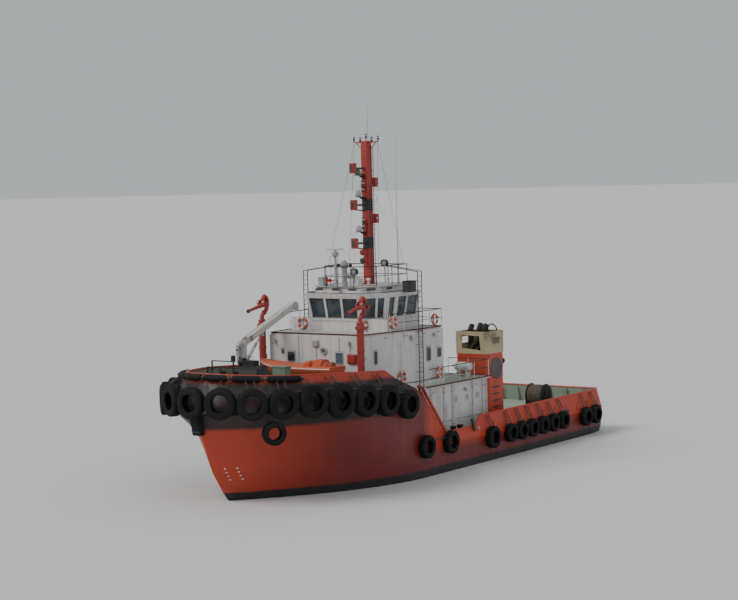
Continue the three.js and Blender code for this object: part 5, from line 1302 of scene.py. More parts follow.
def mast_head(mast):
    """Yard with its braces, lanterns and stays, and the rod on top."""
    for side in SIDES.values():
        yard = [(0, side * y, MAST_HEAD + up)
                for y, up in ((0, -0.08), (0.6, -0.08), (0.86, -0.06), (0.92, 0.02))]
        mast.tube(yard, 0.04, "mast")
        brace = [(0, side * y, MAST_HEAD + up) for y, up in ((0.25, -0.42), (0.45, -0.36), (0.7, -0.12))]
        mast.tube(eased(brace, 4), 0.028, "mast", 8)
        lantern(mast, (0, side * 0.88, MAST_HEAD + 0.04), 0.075)
        lantern(mast, (0, side * 0.42, MAST_HEAD - 0.04), 0.085)
        for x, y in ((-0.75, 2.02), (1.65, 1.86)):
            mast.tube([(0, side * 0.86, MAST_HEAD - 0.1), (x, side * y, 12.28)], 0.009, "wire", 5)
    mast.tube([rise(MAST_HEAD - 0.05), rise(MAST_HEAD + 0.2)], 0.035, "mast")
    lantern(mast, rise(MAST_HEAD + 0.18), 0.075)
    mast.tube([(0, 0.15, z) for z in (MAST_HEAD - 0.1, 20.6, 22.2)], [0.02, 0.014, 0.007], "grey", 8)


def mast_lines(mast):
    """Ladder behind the mast, cables up its sides and two small lamps."""
    ladder = -0.41
    for y in (-0.2, 0.2):
        mast.tube([(ladder, y, ROOF + 0.1), (ladder, y, 19.4)], 0.02, "mast", 8)
        for z in (11.6, 13.6, 15.7, 17.9, 19.3):
            mast.tube([(ladder, y, z), (ladder + 0.18, y, z)], 0.014, "mast", 6)
    for k in range(27):
        mast.tube([(ladder, y, 11.4 + k * 0.3) for y in (-0.2, 0.2)], 0.012, "mast", 6)
    for x, y, top in ((-0.12, 0.275, 19.5), (-0.12, -0.275, 18.1), (0.1, 0.29, 17.2)):
        line = [(x + 0.012 * math.sin(z * 1.7), y, z) for z in arc(16, ROOF + 0.05, top)]
        mast.tube(line, 0.016, "wire", 6)
        for z in arc(12, 11.6, top - 0.2):
            mast.box((x - 0.04, min(y, y * 0.92), z), (x + 0.04, max(y * 1.04, y), z + 0.02), "dark")
    for z in (16.1, 14.9):
        mast.tube([(-0.1, 0.26, z), (-0.1, 0.62, z), (-0.1, 0.62, z + 0.14)], 0.014, "dark", 6)
        mast.lathe([(0.03, 0), (0.035, 0.1), (0, 0.13)], "raft", (-0.1, 0.62, z + 0.12), sides=10)


def build_roof_gear():
    radar_place = Matrix.Translation((RADAR_X, 0, 0))
    radar = Piece("radar_pedestal_post", place=radar_place)
    radar.lathe([(0.16, SEAT), (0.16, 0.025), (0.07, 0.04), (0.07, 1.8)], "grey", rise(ROOF), sides=18)
    for a in arc(4, math.pi / 4)[:-1]:
        bolt = (0.13 * math.cos(a), 0.13 * math.sin(a), ROOF + 0.025)
        radar.lathe([(0.018, 0), (0.018, 0.02)], "steel", bolt, sides=6)
    radar.loft([at_height(rounded(0.32 * w, 0.3 * w, 0.06 * w), z)
                for z, w in ((12.9, 0.6), (12.97, 0.95), (13.0, 1.0), (13.15, 1.0), (13.2, 0.9))], "grey")
    radar.lathe([(0.09, 0), (0.09, 0.1)], "grey", (-0.16, 0, 13.05), ASTERN, 14)
    cable = [(-0.2, 0, 13.05), (-0.27, 0.02, 12.9), (-0.15, 0.03, 12.6), (-0.09, 0.03, 12.2),
             (-0.09, 0.03, 11.15)]
    radar.tube(eased(cable, 4), 0.013, "wire", 6)
    radar.tube([(0, 0.4, 11.75), (0, -0.4, 11.75)], 0.016, "grey", 8)
    radar.done("gear_grey", ["radar_pedestal"])
    bar = Piece("radar_scanner_bar", "radar", radar_place)
    bar.lathe([(0.09, 0.0005), (0.09, 0.08), (0.07, 0.14)], "grey", rise(13.2), sides=18)
    bar.loft([[(x * w, y, 13.385 + z * w) for x, z in rounded(0.12, 0.15, 0.045)]
              for y, w in ((-0.62, 0.55), (-0.6, 0.9), (-0.57, 1), (0.57, 1), (0.6, 0.9), (0.62, 0.55))],
             "raft")
    bar.box((-0.07, -0.16, 13.3), (0.07, 0.16, 13.33), "grey")
    bar.done("gear_grey", ["radar_scanner"])
    compass = Piece("compass_binnacle_body", place=Matrix.Translation((COMPASS_X, 0, 0)))
    compass.lathe([(0.2, SEAT), (0.2, 0.03), (0.165, 0.05), (0.16, 0.55), (0.17, 1.05), (0.22, 1.12),
                   (0.22, 1.38), (0.2, 1.42), (0.13, 1.5), (0.09, 1.56)], "grey", rise(ROOF), sides=24)
    compass.lathe([(0.228, 0), (0.228, 0.03)], "dark", rise(ROOF + 1.2), sides=24)
    for side in SIDES.values():
        compass.tube([(0, side * 0.18, 12.35), (0, side * 0.34, 12.35)], 0.026, "dark")
        compass.ball((0, side * 0.44, 12.35), 0.12, "dark", 20)
    panel(compass, (0.163, 0, 11.6), AHEAD, 0.16, 0.3, "grey", 0.02)
    compass.done("gear_grey", ["compass_binnacle"])
    whip = Piece("whip_aerial_rod")
    whip.lathe([(0.13, SEAT), (0.13, 0.02), (0.07, 0.03), (0.07, 0.5), (0.05, 0.54), (0.05, 0.95),
                (0.07, 1.0), (0.07, 1.2), (0.028, 1.3), (0.022, 3.2), (0.03, 3.24), (0.03, 3.3),
                (0.018, 3.36), (0.012, 6.3), (0.006, 9.3)], "grey", (2.3, 1.9, ROOF), sides=12)
    whip.done("gear_grey", ["whip_aerial"])
    roof_small_gear()


def roof_small_gear():
    """Lockers, vents, dome, horns, searchlight and short aerials."""
    small = Piece("roof_small_gear")
    small.block(5.0, -1.75, (0.5, 0.42), 0.05, ROOF, 11.6, "grey")
    small.block(5.0, -1.75, (0.56, 0.48), 0.05, 11.6, 11.63, "grey")
    small.block(3.6, -0.3, (0.5, 0.7), 0.06, ROOF, 11.5, "white")
    for x, y, size, up in ((4.1, 0.95, 0.16, 0.45), (1.9, -1.4, 0.14, 0.4), (4.5, -1.1, 0.12, 0.5),
                           (1.9, 0.9, 0.12, 0.35)):
        vent = [(size * 0.5, 0), (size * 0.5, up * 0.7), (size, up * 0.7), (size, up * 0.85),
                (size * 0.6, up)]
        small.lathe(vent, "white", (x, y, ROOF), sides=18)
    dome = [(0.05, 0), (0.05, 0.4), (0.2, 0.44), (0.2, 0.52), (0.12, 0.62), (0, 0.66)]
    small.lathe(dome, "raft", (1.95, -0.6, ROOF))
    horn = [(0.03, -0.2), (0.035, 0.1), (0.06, 0.25), (0.12, 0.34), (0.115, 0.34), (0.03, 0.2)]
    for y in (-0.55, -0.75):
        small.tube([(5.6, y, ROOF), (5.6, y, 11.45)], 0.022, "grey", 8)
        small.lathe(horn, "buoy", (5.6, y, 11.48), AHEAD, 16)
    beam = (1, 0, -0.1)
    small.lathe([(0.11, -0.13), (0.15, -0.1), (0.16, 0.12), (0.14, 0.13)], "grey", (5.0, 0.3, 11.7), beam, 18)
    small.lathe([(0.13, 0), (0.1, 0.02)], "lens", (5.13, 0.3, 11.687), beam, 18)
    small.tube([(5.0, 0.3, ROOF), (5.0, 0.3, 11.6)], 0.025, "grey", 8)
    for x, y, top in ((1.75, 1.5, 13.3), (4.4, -1.6, 12.9), (1.8, -1.7, 14.2)):
        small.tube([(x, y, ROOF), (x, y, ROOF + 0.5), (x, y, top)], [0.022, 0.016, 0.008], "grey", 6)
    small.done("gear_grey")


# Rails

def railing(piece, path, deck, height, pitch, bars, posts, closed=False):
    """Posts and bars at full and half height along a path of [x, y]."""
    corners = [Vector((*spot, deck)) for spot in path + (path[:1] if closed else [])]
    for a, b in zip(corners, corners[1:]):
        bays = max(1, round((b - a).length / pitch))
        last = b == corners[-1] and not closed
        for k in range(bays + 1 if last else bays):
            at = a.lerp(b, k / bays)
            piece.tube([at + rise(SEAT), at + rise(height - 0.01)], 0.022, posts, 8)
            piece.lathe([(0.05, SEAT), (0.05, 0.012), (0.03, 0.02)], posts, at, sides=10)
    line = corners[:-1] if closed else corners
    for share, radius in ((1.0, 0.026), (0.5, 0.018)):
        piece.tube([p + rise(height * share) for p in line], radius, bars, 8, closed)


def lifebuoy(piece, at, out):
    """Ring with four light bands, a grab line and its bracket."""
    for a in arc(4)[:-1]:
        piece.ring(at, out, 0.29, 0.068, "buoy", 8, a + 0.25, a + math.pi / 2 - 0.25)
        piece.ring(at, out, 0.29, 0.07, "raft", 3, a - 0.25, a + 0.25)
    piece.ring(at, out, 0.37, 0.008, "rope", 28)
    back = Vector(at) - Vector(out).normalized() * 0.08
    piece.box(back - Vector((0.03, 0.03, 0.36)), back + Vector((0.03, 0.03, 0.3)), "grey")


def searchlight(piece, x, y, z):
    can = [(0.12, -0.16), (0.18, -0.13), (0.2, -0.02), (0.21, 0.14), (0.21, 0.16), (0.19, 0.16), (0.18, 0.1)]
    piece.lathe(can, "black", (x, y, z), AHEAD, 24)
    piece.lathe([(0.18, 0.1), (0.12, 0.115), (0, 0.12)], "lens", (x, y, z), AHEAD, 24)
    yoke = [(x, y + across, z + up)
            for across, up in ((-0.23, 0), (-0.23, -0.2), (0, -0.25), (0.23, -0.2), (0.23, 0))]
    piece.tube(yoke, 0.018, "black", 8)
    piece.tube([(x, y, z - 0.42), (x, y, z - 0.24)], 0.03, "black")


def build_rails():
    bridge = [(5.9, 3.65), (3.45, 4.0), (0.86, 4.0), (0.86, -4.0), (3.45, -4.0), (5.9, -3.65)]
    rail = Piece("bridge_rail_bars")
    railing(rail, bridge, BRIDGE, 1.05, 1.6, "dark", "white")
    lifebuoy(rail, (5.8, 3.82, 9.06), (0.14, 1, 0))
    for side in SIDES.values():
        lifebuoy(rail, (1.5, side * 3.92, 8.95), (0, side, 0))
    rail.done("house_white", ["bridge_rail"])
    front = Piece("wing_plate_lifebuoys")
    for y in (-2.64, 1.8):
        lifebuoy(front, (6.01, y, 8.9), AHEAD)
    front.done("house_white")
    roof = [(5.7, 1.0), (4.6, 1.9), (1.65, 2.1), (1.65, -2.1), (4.6, -1.9), (5.7, -1.0)]
    rail = Piece("roof_rail_bars")
    railing(rail, roof, ROOF, 1.18, 1.4, "black", "black", True)
    rail.tube(at_height(roof, ROOF + 0.05), 0.014, "black", 6, True)
    lights = ((5.65, 1.06, 12.0), (3.8, 1.966, 12.45))
    for x, y, z in lights:
        searchlight(rail, x, y, z)
    for x, y, _ in lights:
        rail.tube([(x, y, 11.3), (x, y, 12.2)], 0.026, "black", 8)
    rail.done("black_paint", ["roof_rail"])
    for name, side in SIDES.items():
        rail = Piece(f"boat_deck_rail_bars_{name}")
        path = [(2.8, side * 4.28), (-4.0, side * 4.28), (-4.0, side * 1.3)]
        railing(rail, path, FORE_DECK, 1.05, 1.7, "dark", "white")
        lifebuoy(rail, (1.7, side * 4.32, 5.8), (0, side, 0))
        rail.done("house_white", [f"boat_deck_rail_{name}"])
FUNNEL = [(-6.4, 1.8), (-6.2, 1.6), (-4.6, 1.6), (-4.4, 1.8), (-4.4, 3.8), (-4.6, 4.0), (-6.2, 4.0),
          (-6.4, 3.8)]
FUNNEL_TOP, FUNNEL_HEAD, FUNNEL_WALL = 6.3, 7.7, 0.06


def pierced(stack, outer, hole, at):
    """Plate with a rolled edge round its opening; at turns a place and a share of its depth to a point."""
    stack.loft([[at(a, b, 0), at(c, d, 0), at(c, d, 1), at(a, b, 1)] for (a, b), (c, d) in zip(outer, hole)],
               "funnel", closed=True)
    stack.tube([at(c, d, 0.5) for c, d in hole], 0.045, "funnel", 8, True)


# Funnels

def build_funnels():
    for name, side in SIDES.items():
        stack = Piece(f"funnel_casing_{name}")
        plan = [(x, side * y) for x, y in FUNNEL]
        stack.loft([at_height(plan, z) for z in (DECK + SEAT, FUNNEL_TOP)], "funnel", ("funnel", "dark"))
        stack.loft([at_height(grown(plan, 0.03 * side), z) for z in (6.26, 6.34)], "funnel", OPEN)
        for z in (2.4, 5.0):
            rings = [at_height(grown(plan, out * side), z + up)
                     for out, up in ((0, 0), (0.03, 0.01), (0.03, 0.05), (0, 0.06))]
            stack.loft(rings, "funnel", OPEN)
        for y, way in ((4.0, -FUNNEL_WALL), (1.6, FUNNEL_WALL)):
            pierced(stack, [(-6.2, FUNNEL_TOP), (-4.6, FUNNEL_TOP), (-4.6, FUNNEL_HEAD), (-6.2, FUNNEL_HEAD)],
                    [(-5.95, 6.86), (-5.0, 6.86), (-5.0, 7.32), (-5.95, 7.32)],
                    lambda a, b, depth: (a, side * (y + way * depth), b))
        pierced(stack, [(1.8, FUNNEL_TOP), (3.8, FUNNEL_TOP), (3.8, FUNNEL_HEAD), (1.8, FUNNEL_HEAD)],
                [(2.05, 6.62), (3.5, 6.5), (3.4, 7.45), (2.1, 7.5)],
                lambda a, b, depth: (-4.4 - FUNNEL_WALL * depth, side * a, b))
        for a, b in ((0, 1), (2, 3), (4, 5), (6, 7), (7, 0)):
            (x0, y0), (x1, y1) = plan[a], plan[b]
            inner = Vector((y1 - y0, x0 - x1)).normalized() * (FUNNEL_WALL * side)
            strip = [(x0, y0), (x1, y1), (x1 + inner.x, y1 + inner.y), (x0 + inner.x, y0 + inner.y)]
            stack.slab(strip, FUNNEL_TOP, FUNNEL_HEAD, "z", "funnel")
        stack.tube(at_height(grown(plan, 0.045 * side), 7.66), 0.045, "funnel", 8, True)
        funnel_pipes(stack, side)
        funnel_outside(stack, side)
        stack.done("fire_red", [f"funnel_{name}"], sharp=30)


def funnel_pipes(stack, side):
    """Exhaust pipes inside a funnel's top."""
    for x, y in ((-5.0, 2.4), (-5.4, 3.2), (-5.9, 2.5)):
        line = eased([(x - back, side * y, z) for back, z in ((0, 6.3), (0, 7.5), (0, 7.8), (0.2, 8.05))], 4)
        stack.tube(line, 0.17, "exhaust", 18)
        mouth = [line[-1] + Vector(shift) for shift in ((0.006, 0, -0.01), (-0.003, 0, 0.005))]
        stack.tube(mouth, 0.145, "tyre", 18)
        stack.ring((x, side * y, 7.6), UPWARD, 0.18, 0.02, "exhaust", 18)
    duct = [(-4.7, side * 2.5, 6.36), (-4.75, side * 2.7, 6.7), (-4.9, side * 3.2, 7.2),
            (-5.3, side * 3.6, 7.56)]
    stack.tube(eased(duct, 4), 0.17, "exhaust", 14)
    loop = [(-5.6, side * 3.3, 7.5), (-5.6, side * 3.35, 7.95), (-5.75, side * 3.5, 8.1),
            (-5.95, side * 3.7, 7.9), (-6.05, side * 3.75, 7.4)]
    stack.tube(eased(loop, 4), 0.04, "exhaust")


def funnel_outside(stack, side):
    """Round vent, slots drawn as dark plates of painted shade, door, rungs and the lamp behind a funnel."""
    vent = [(0.68, 0), (0.68, 0.035), (0.65, 0.05), (0.62, 0.04), (0, 0.04)]
    stack.lathe(vent, "vent", (-5.4, side * 4.0, 5.35), (0, side, 0), 40)
    # Painted shade: dark plates for the slots.
    for k in range(4):
        panel(stack, (-5.3, side * 4.0, 2.9 + 0.42 * k), (0, side, 0), 0.9, 0.1, "dark", 0.012, 0.03)
    panel(stack, (-4.4, side * 3.1, 2.9), AHEAD, 0.6, 1.7, "funnel", 0.03, 0.06)
    for k in range(13):
        rung = [(-6.4, side * 2.9), (-6.5, side * 2.9), (-6.5, side * 2.55), (-6.4, side * 2.55)]
        stack.tube(at_height(rung, 2.2 + 0.4 * k), 0.013, "funnel", 6)
    bracket = [(-6.38, 5.3), (-6.75, 5.3), (-6.75, 6.0), (-6.38, 6.0)]
    stack.tube([(x, side * 3.7, z) for x, z in bracket], 0.02, "white", 8)
    lamp, beam = Vector((-6.62, side * 3.7, 5.7)), (-1, 0, -0.3)
    stack.lathe([(0.1, -0.1), (0.16, -0.06), (0.17, 0.1), (0.15, 0.1)], "black", lamp, beam, 18)
    stack.lathe([(0.15, 0), (0.1, 0.01)], "lens", lamp + Vector((-0.1, 0, -0.03)), beam, 18)


# Fire monitors

def bolts(piece, at, along, radius, count, size=0.018, look="steel"):
    """Bolt heads round a flange."""
    for x, y in circle(count, radius):
        piece.lathe([(size, 0), (size, size)], look, aimed(at, along) @ Vector((x, y, 0)), along, 6)
MONITOR_X, MONITOR_Y, TRUNNION = 8.73, 3.56, rise(10.15)


def build_monitors():
    for name, side in SIDES.items():
        place = Matrix.Translation((MONITOR_X, side * MONITOR_Y, 0))
        monitor_riser(name, place)
        monitor_base(name, side, place)
        barrel = Piece(f"monitor_barrel_pipe_{name}", f"barrel_{name}", place)
        barrel.tube([TRUNNION + Vector((0, y, 0)) for y in (-0.154, 0.154)], 0.1, "red", 24)
        along = Vector((math.cos(math.pi / 15), 0, -math.sin(math.pi / 15)))
        profile = [(0.09, -0.16), (0.13, -0.13), (0.13, 0.25), (0.115, 0.29), (0.105, 0.3), (0.1, 0.55),
                   (0.112, 0.56), (0.112, 0.6), (0.098, 0.61), (0.085, 1.15), (0.1, 1.2), (0.12, 1.25),
                   (0.12, 1.33), (0.1, 1.33), (0.085, 1.25), (0.07, 0.9), (0.0, 0.9)]
        barrel.lathe(profile, "red", TRUNNION, along, 28)
        barrel.lathe([(0.122, 0), (0.122, 0.04)], "dark", TRUNNION + along * 1.27, along, 28)
        barrel.done("fire_red", [f"monitor_barrel_{name}"])


def monitor_riser(name, place):
    riser = Piece(f"monitor_riser_pipe_{name}", place=place)
    riser.slab(rounded(0.7, 0.7, 0.06), FORE_DECK + SEAT, 5.06, "z", "red")
    riser.lathe([(0.21, 0), (0.21, 3.85), (0.31, 3.9), (0.31, 4.0)], "red", rise(FORE_DECK), sides=32)
    for z in (6.3, 7.6):
        riser.lathe([(0.21, 0), (0.24, 0.01), (0.24, 0.09), (0.21, 0.1)], "red", rise(z), sides=32)
    bolts(riser, rise(8.88), UPWARD, 0.27, 12)
    for a in arc(4, math.pi / 4)[:-1]:
        c, s = math.cos(a), math.sin(a)
        web = [Vector((c * r, s * r, z)) for r, z in ((0.2, 5.06), (0.34, 5.06), (0.2, 5.5))]
        half = Vector((-s, c, 0)) * 0.012
        riser.loft([[p + half for p in web], [p - half for p in web]], "red")
    riser.tube([(-0.2, 0, 7.0), (-0.34, 0, 7.0), (-0.34, 0, 7.15)], 0.04, "red")
    riser.ring((-0.34, 0, 7.2), UPWARD, 0.11, 0.014, "dark", 20)
    riser.done("fire_red", [f"monitor_riser_{name}"])


def monitor_base(name, side, place):
    base = Piece(f"monitor_base_body_{name}", f"monitor_{name}", place)
    base.lathe([(0.28, 0.0005), (0.28, 0.07), (0.21, 0.1), (0.21, 0.2), (0.225, 0.21), (0.225, 0.27),
                (0.19, 0.32)], "red", rise(9.0), sides=32)
    bolts(base, rise(9.07), UPWARD, 0.25, 12)
    bend = [(0, 9.25), (-0.06, 9.6), (-0.38, 9.8), (-0.52, 10.15), (-0.48, 10.53), (-0.25, 10.63),
            (-0.15, 10.55), (-0.16, 10.46)]
    line = eased([(x, 0, z) for x, z in bend], 5)
    base.tube(line, 0.1275, "red", 20)
    for at in (7, 15, 24):
        base.tube([line[at], line[at].lerp(line[at + 1], 0.6)], 0.155, "red", 20)
    gear = line[15] + Vector((-0.02, side * 0.19, 0))
    half = Vector((0.09, 0.08, 0.1))
    base.box(gear - half, gear + half, "red")
    cheek = [(-0.22, 10.04), (0.08, 10.04), (0.12, 10.09), (0.12, 10.24), (-0.02, 10.48), (-0.22, 10.48)]
    for hand in HANDS:
        base.slab(cheek, hand * 0.16, hand * 0.22, "y", "red")
        cap, out = TRUNNION + Vector((0, hand * 0.22, 0)), (0, hand, 0)
        base.lathe([(0.13, 0), (0.13, 0.02), (0.1, 0.03)], "red", cap, out)
        bolts(base, cap + Vector((0, hand * 0.02, 0)), out, 0.1, 6, 0.012)
    base.box((-0.22, -0.22, 10.38), (-0.06, 0.22, 10.48), "red")
    hub = Vector((-0.1, side * 0.34, 10.3))
    base.ring(hub, TO_PORT, 0.12, 0.013, "dark", 20)
    base.tube([(-0.1, side * 0.22, 10.3), hub], 0.02, "dark", 8)
    for a, b in circle(3, 0.12):
        base.tube([hub, hub + Vector((a, 0, b))], 0.009, "dark", 6)
    base.done("fire_red", [f"monitor_base_{name}"], 0.006)
LIFT = Matrix.Translation(rise(8.1)) @ Matrix.Rotation(-math.radians(27), 4, "Y")


# Rescue boat crane

CRANE = Matrix.Translation((11.2, -3.1, 0)) @ Matrix.Rotation(math.radians(167.5), 4, "Z")
ARM = CRANE @ LIFT


def build_crane():
    foot = Piece("crane_pedestal_post", place=CRANE)
    foot.lathe([(0.45, 5.0003), (0.45, 5.05), (0.3, 5.07), (0.3, 6.5), (0.4, 6.53), (0.4, 6.6)], "crane",
               sides=32)
    bolts(foot, rise(5.05), UPWARD, 0.39, 10)
    bolts(foot, rise(6.5), UPWARD, 0.35, 12)
    panel(foot, (0, 0.3, 5.9), TO_PORT, 0.24, 0.4, "crane", 0.03)
    foot.done("house_white", ["crane_pedestal"])
    crane_column()
    crane_boom()
    crane_ram()


def crane_column():
    column = Piece("crane_column_post", "crane_column", CRANE)
    column.lathe([(0.4, 6.6005), (0.4, 6.67), (0.31, 6.7), (0.23, 6.76), (0.23, 7.5)], "crane", sides=32)
    bolts(column, rise(6.67), UPWARD, 0.36, 12)
    head = [(-0.2, 7.3), (0.2, 7.3), (0.2, 8.2), (0.14, 8.3), (-0.14, 8.3), (-0.2, 8.22)]
    column.slab(head, -0.17, 0.17, "y", "crane")
    column.tube([(0, -0.1755, 8.1), (0, 0.1755, 8.1)], 0.1, "steel", 20)
    lug = [(0.0, 6.98), (0.36, 6.98), (0.44, 7.05), (0.44, 7.15), (0.36, 7.23), (0.0, 7.32)]
    for hand in HANDS:
        column.slab(lug, hand * 0.06, hand * 0.11, "y", "crane")
        column.lathe([(0.07, 0), (0.07, 0.02)], "steel", (0.35, hand * 0.11, 7.1), (0, hand, 0), 14)
    column.box((-0.38, -0.13, 7.35), (-0.2, 0.13, 7.8), "grey")
    for k in range(4):
        y = -0.09 + 0.06 * k
        column.tube([(-0.38, y, 7.7), (-0.44, y, 7.86)], 0.01, "black", 6)
        hose = [(-0.3, y, 7.36), (-0.36, y, 7.1), (-0.24, -0.06 + 0.04 * k, 6.85)]
        column.tube(eased(hose, 4), 0.014, "black", 6)
    drum = [(0.1, -0.16), (0.13, -0.12), (0.13, 0.12), (0.1, 0.16)]
    column.lathe(drum, "crane", (-0.27, 0, 8.0), TO_PORT, 16)
    column.done("house_white", ["crane_column"], 0.008)


def crane_boom():
    """Boom with its cheeks and lugs, head sheave, hook, wire and hose, along +X from its pivot."""
    boom = Piece("crane_boom_arm", "crane_boom", ARM)
    section = ((-0.216, -0.15), (0.216, -0.15), (0.216, 0.17), (-0.216, 0.17))
    boom.loft([[(u, y, z * up) for y, z in section] for u, up in ((0.48, 1.0), (4.0, 1.0), (4.5, 0.96))],
              "crane")
    for z in (-0.158, 0.172):
        boom.box((0.5, -0.23, z), (4.45, 0.23, z + 0.006), "crane")
    cheek = [(-0.12, -0.15), (0.7, -0.17), (0.7, 0.17), (-0.1, 0.15), (-0.15, 0.1), (-0.15, -0.1)]
    lug = [(1.38, -0.1), (1.62, -0.1), (1.6, -0.32), (1.55, -0.37), (1.45, -0.37), (1.4, -0.32)]
    for hand in HANDS:
        out = (0, hand, 0)
        boom.slab(cheek, hand * 0.176, hand * 0.216, "y", "crane")
        boom.lathe([(0.13, 0), (0.13, 0.02), (0.09, 0.03)], "crane", (0, hand * 0.216, 0), out)
        boom.slab(lug, hand * 0.07, hand * 0.12, "y", "crane")
        boom.lathe([(0.06, 0), (0.06, 0.02)], "steel", (1.5, hand * 0.12, -0.25), out, 14)
        for u in (1.0, 1.9, 2.8, 3.7):
            rib = [(u, -0.1), (u + 0.5, -0.1), (u + 0.5, -0.085), (u, -0.085)]
            boom.slab(rib, hand * 0.216, hand * 0.222, "y", "crane")
    tip = [(4.35, -0.33), (4.62, -0.33), (4.7, -0.24), (4.7, 0.06), (4.62, 0.13), (4.35, 0.13)]
    for hand in HANDS:
        boom.slab(tip, hand * 0.055, hand * 0.09, "y", "crane")
    sheave = [(0.14, -0.05), (0.11, -0.035), (0.11, 0.035), (0.14, 0.05)]
    boom.lathe(sheave, "dark", (4.53, 0, -0.08), TO_PORT)
    boom.box((4.35, -0.055, -0.33), (4.42, 0.055, 0.13), "crane")
    boom.tube([(4.56, 0, -0.22), (4.56, 0, -0.36)], 0.03, "steel", 8)
    boom.lathe([(0.03, 0), (0.05, 0.03), (0.05, 0.1), (0.03, 0.12)], "black", (4.56, 0, -0.44), sides=12)
    boom.ring((4.56, 0, -0.45), TO_PORT, 0.032, 0.012, "steel", 14, 0.6, 5.4)
    boom.tube([(0.3, 0.1, 0.2), (2.4, 0.05, 0.2), (4.4, 0.0, 0.16), (4.6, 0.0, 0.09)], 0.008, "wire", 6)
    boom.tube([(0.1, 0.22, 0.05), (0.7, 0.235, 0.03), (2.6, 0.232, 0.0), (4.3, 0.228, 0.0)],
              0.014, "black", 6)
    boom.done("house_white", ["crane_boom"], 0.006)


def crane_ram():
    """Cylinder and rod on the line from the column's pin to the boom's pin, with +X along it."""
    foot = Vector((0.35, 0, 7.1))
    line = LIFT @ Vector((1.5, 0, -0.25)) - foot
    place = CRANE @ Matrix.Translation(foot) @ Matrix.Rotation(-math.atan2(line.z, line.x), 4, "Y")
    tube = Piece("crane_cylinder_tube", "crane_cylinder", place)
    tube.lathe([(0.06, 0.2), (0.08, 0.22), (0.08, 1.1), (0.088, 1.11), (0.088, 1.17), (0.075, 1.18),
                (0.047, 1.18), (0.047, 0.5), (0.0, 0.5)], "crane", along=AHEAD, sides=24)
    end = [(-0.05, -0.03), (-0.03, -0.055), (0.24, -0.06), (0.24, 0.06), (-0.03, 0.055), (-0.05, 0.03)]
    tube.slab(end, -0.0595, 0.0595, "y", "crane")
    tube.tube([(0.25, 0.06, 0.07), (0.3, 0.06, 0.1), (1.05, 0.05, 0.1), (1.1, 0.04, 0.07)], 0.012, "steel", 6)
    tube.done("house_white", ["crane_cylinder"])
    rod = Piece("crane_rod_bar", "crane_rod", place)
    reach = line.length
    rod.tube([(0.52, 0, 0), (reach - 0.03, 0, 0)], 0.04, "steel", 20)
    eye = [(-0.06, -0.05), (0.03, -0.06), (0.055, -0.03), (0.055, 0.03), (0.03, 0.06), (-0.06, 0.05)]
    rod.slab([(reach + u, z) for u, z in eye], -0.0695, 0.0695, "y", "crane")
    rod.done("rod_steel", ["crane_rod"])


# Winches and deck fittings

Winch = namedtuple("Winch", "name x y deck shaft core flange half head look rope")

# Gap between a drum and its frame, and the thickness of the frame's cheeks.
DRUM_GAP, CHEEK = 0.006, 0.11


def both_ways(half):
    """Turned profile and its mirror image below it."""
    return [(r, -h) for r, h in reversed(half)] + half
WINCHES = [
    Winch("windlass", 14.2, 0.0, FORE_DECK, 1.4, 0.36, 0.75, 0.8, 0.26, "winch", 0.6),
    Winch("tow_winch", -8.7, 0.0, DECK, 1.1, 0.42, 0.9, 0.85, 0, "winch", 0.7),
    Winch("hawser_reel", -13.3, 2.5, DECK, 0.95, 0.56, 0.78, 0.6, 0, "black", 0.7),
]


def build_winch(w):
    winch_frame(w)
    winch_drum(w)


def winch_frame(w):
    """Bed, cheeks with ribs and bearings, gear case or drum guard, and the brake's wheel."""
    z, inner = w.shaft, w.half + DRUM_GAP
    outer = inner + CHEEK
    bed = Piece(f"{w.name}_frame_body", place=Matrix.Translation((w.x, w.y, w.deck)))
    for hand in HANDS:
        middle = hand * (inner + CHEEK / 2)
        bed.box((-w.flange, middle - 0.14, SEAT), (w.flange, middle + 0.055, 0.08), w.look)
    for x in (-0.75 * w.flange, 0.75 * w.flange):
        bed.box((x - 0.1, -outer, SEAT), (x + 0.1, outer, 0.07), w.look)
    bed.box((-w.flange, -outer, SEAT), (w.flange, outer, 0.03), w.look)
    cheek = [(-w.flange * 0.9, 0.06), (w.flange * 0.9, 0.06), (0.26, z + 0.14), (0.14, z + 0.22),
             (-0.14, z + 0.22), (-0.26, z + 0.14)]
    for hand in HANDS:
        near, far = hand * inner, hand * outer
        bed.slab(cheek, near, near + hand * 0.03, "y", w.look)
        bed.slab(cheek, far - hand * 0.03, far, "y", w.look)
        edge = [(x, far - hand * 0.055, h) for x, h in cheek]
        for a, b in zip(edge[1:], edge[2:] + edge[:1]):
            bed.tube([a, b], 0.03, w.look, 6)
        bed.lathe([(0.19, -0.11), (0.19, 0.0), (0.17, 0.004)], w.look, (0, far, z), (0, hand, 0), 24)
        for x in (-0.3 * w.flange, 0.3 * w.flange):
            rib = [(x - 0.02, 0.08), (x + 0.02, 0.08), (x * 0.5 + 0.02, z - 0.2), (x * 0.5 - 0.02, z - 0.2)]
            bed.slab(rib, near, far, "y", w.look)
    if not w.head:
        case = [(w.flange * r, h) for r, h in ((0.45, 0), (0.48, 0.05), (0.46, 0.12))]
        bed.lathe(case, w.look, (-w.flange * 0.5, outer - 0.17, 0.45), TO_PORT, 24)
    lever = Vector((-w.flange * 0.55, -inner - 0.05, 0.07))
    top = lever + Vector((0.1, 0, w.shaft + 0.55))
    bed.tube([lever, top], 0.025, "teal", 8)
    bed.ring(top, (1, 0, 0.4), 0.13, 0.014, "teal", 20)
    bed.tube([top + Vector((0, y, 0)) for y in (-0.13, 0.13)], 0.01, "teal", 6)
    if w.head:
        drum_guard(bed, w)
    bed.done("black_paint", [f"{w.name}_frame"])


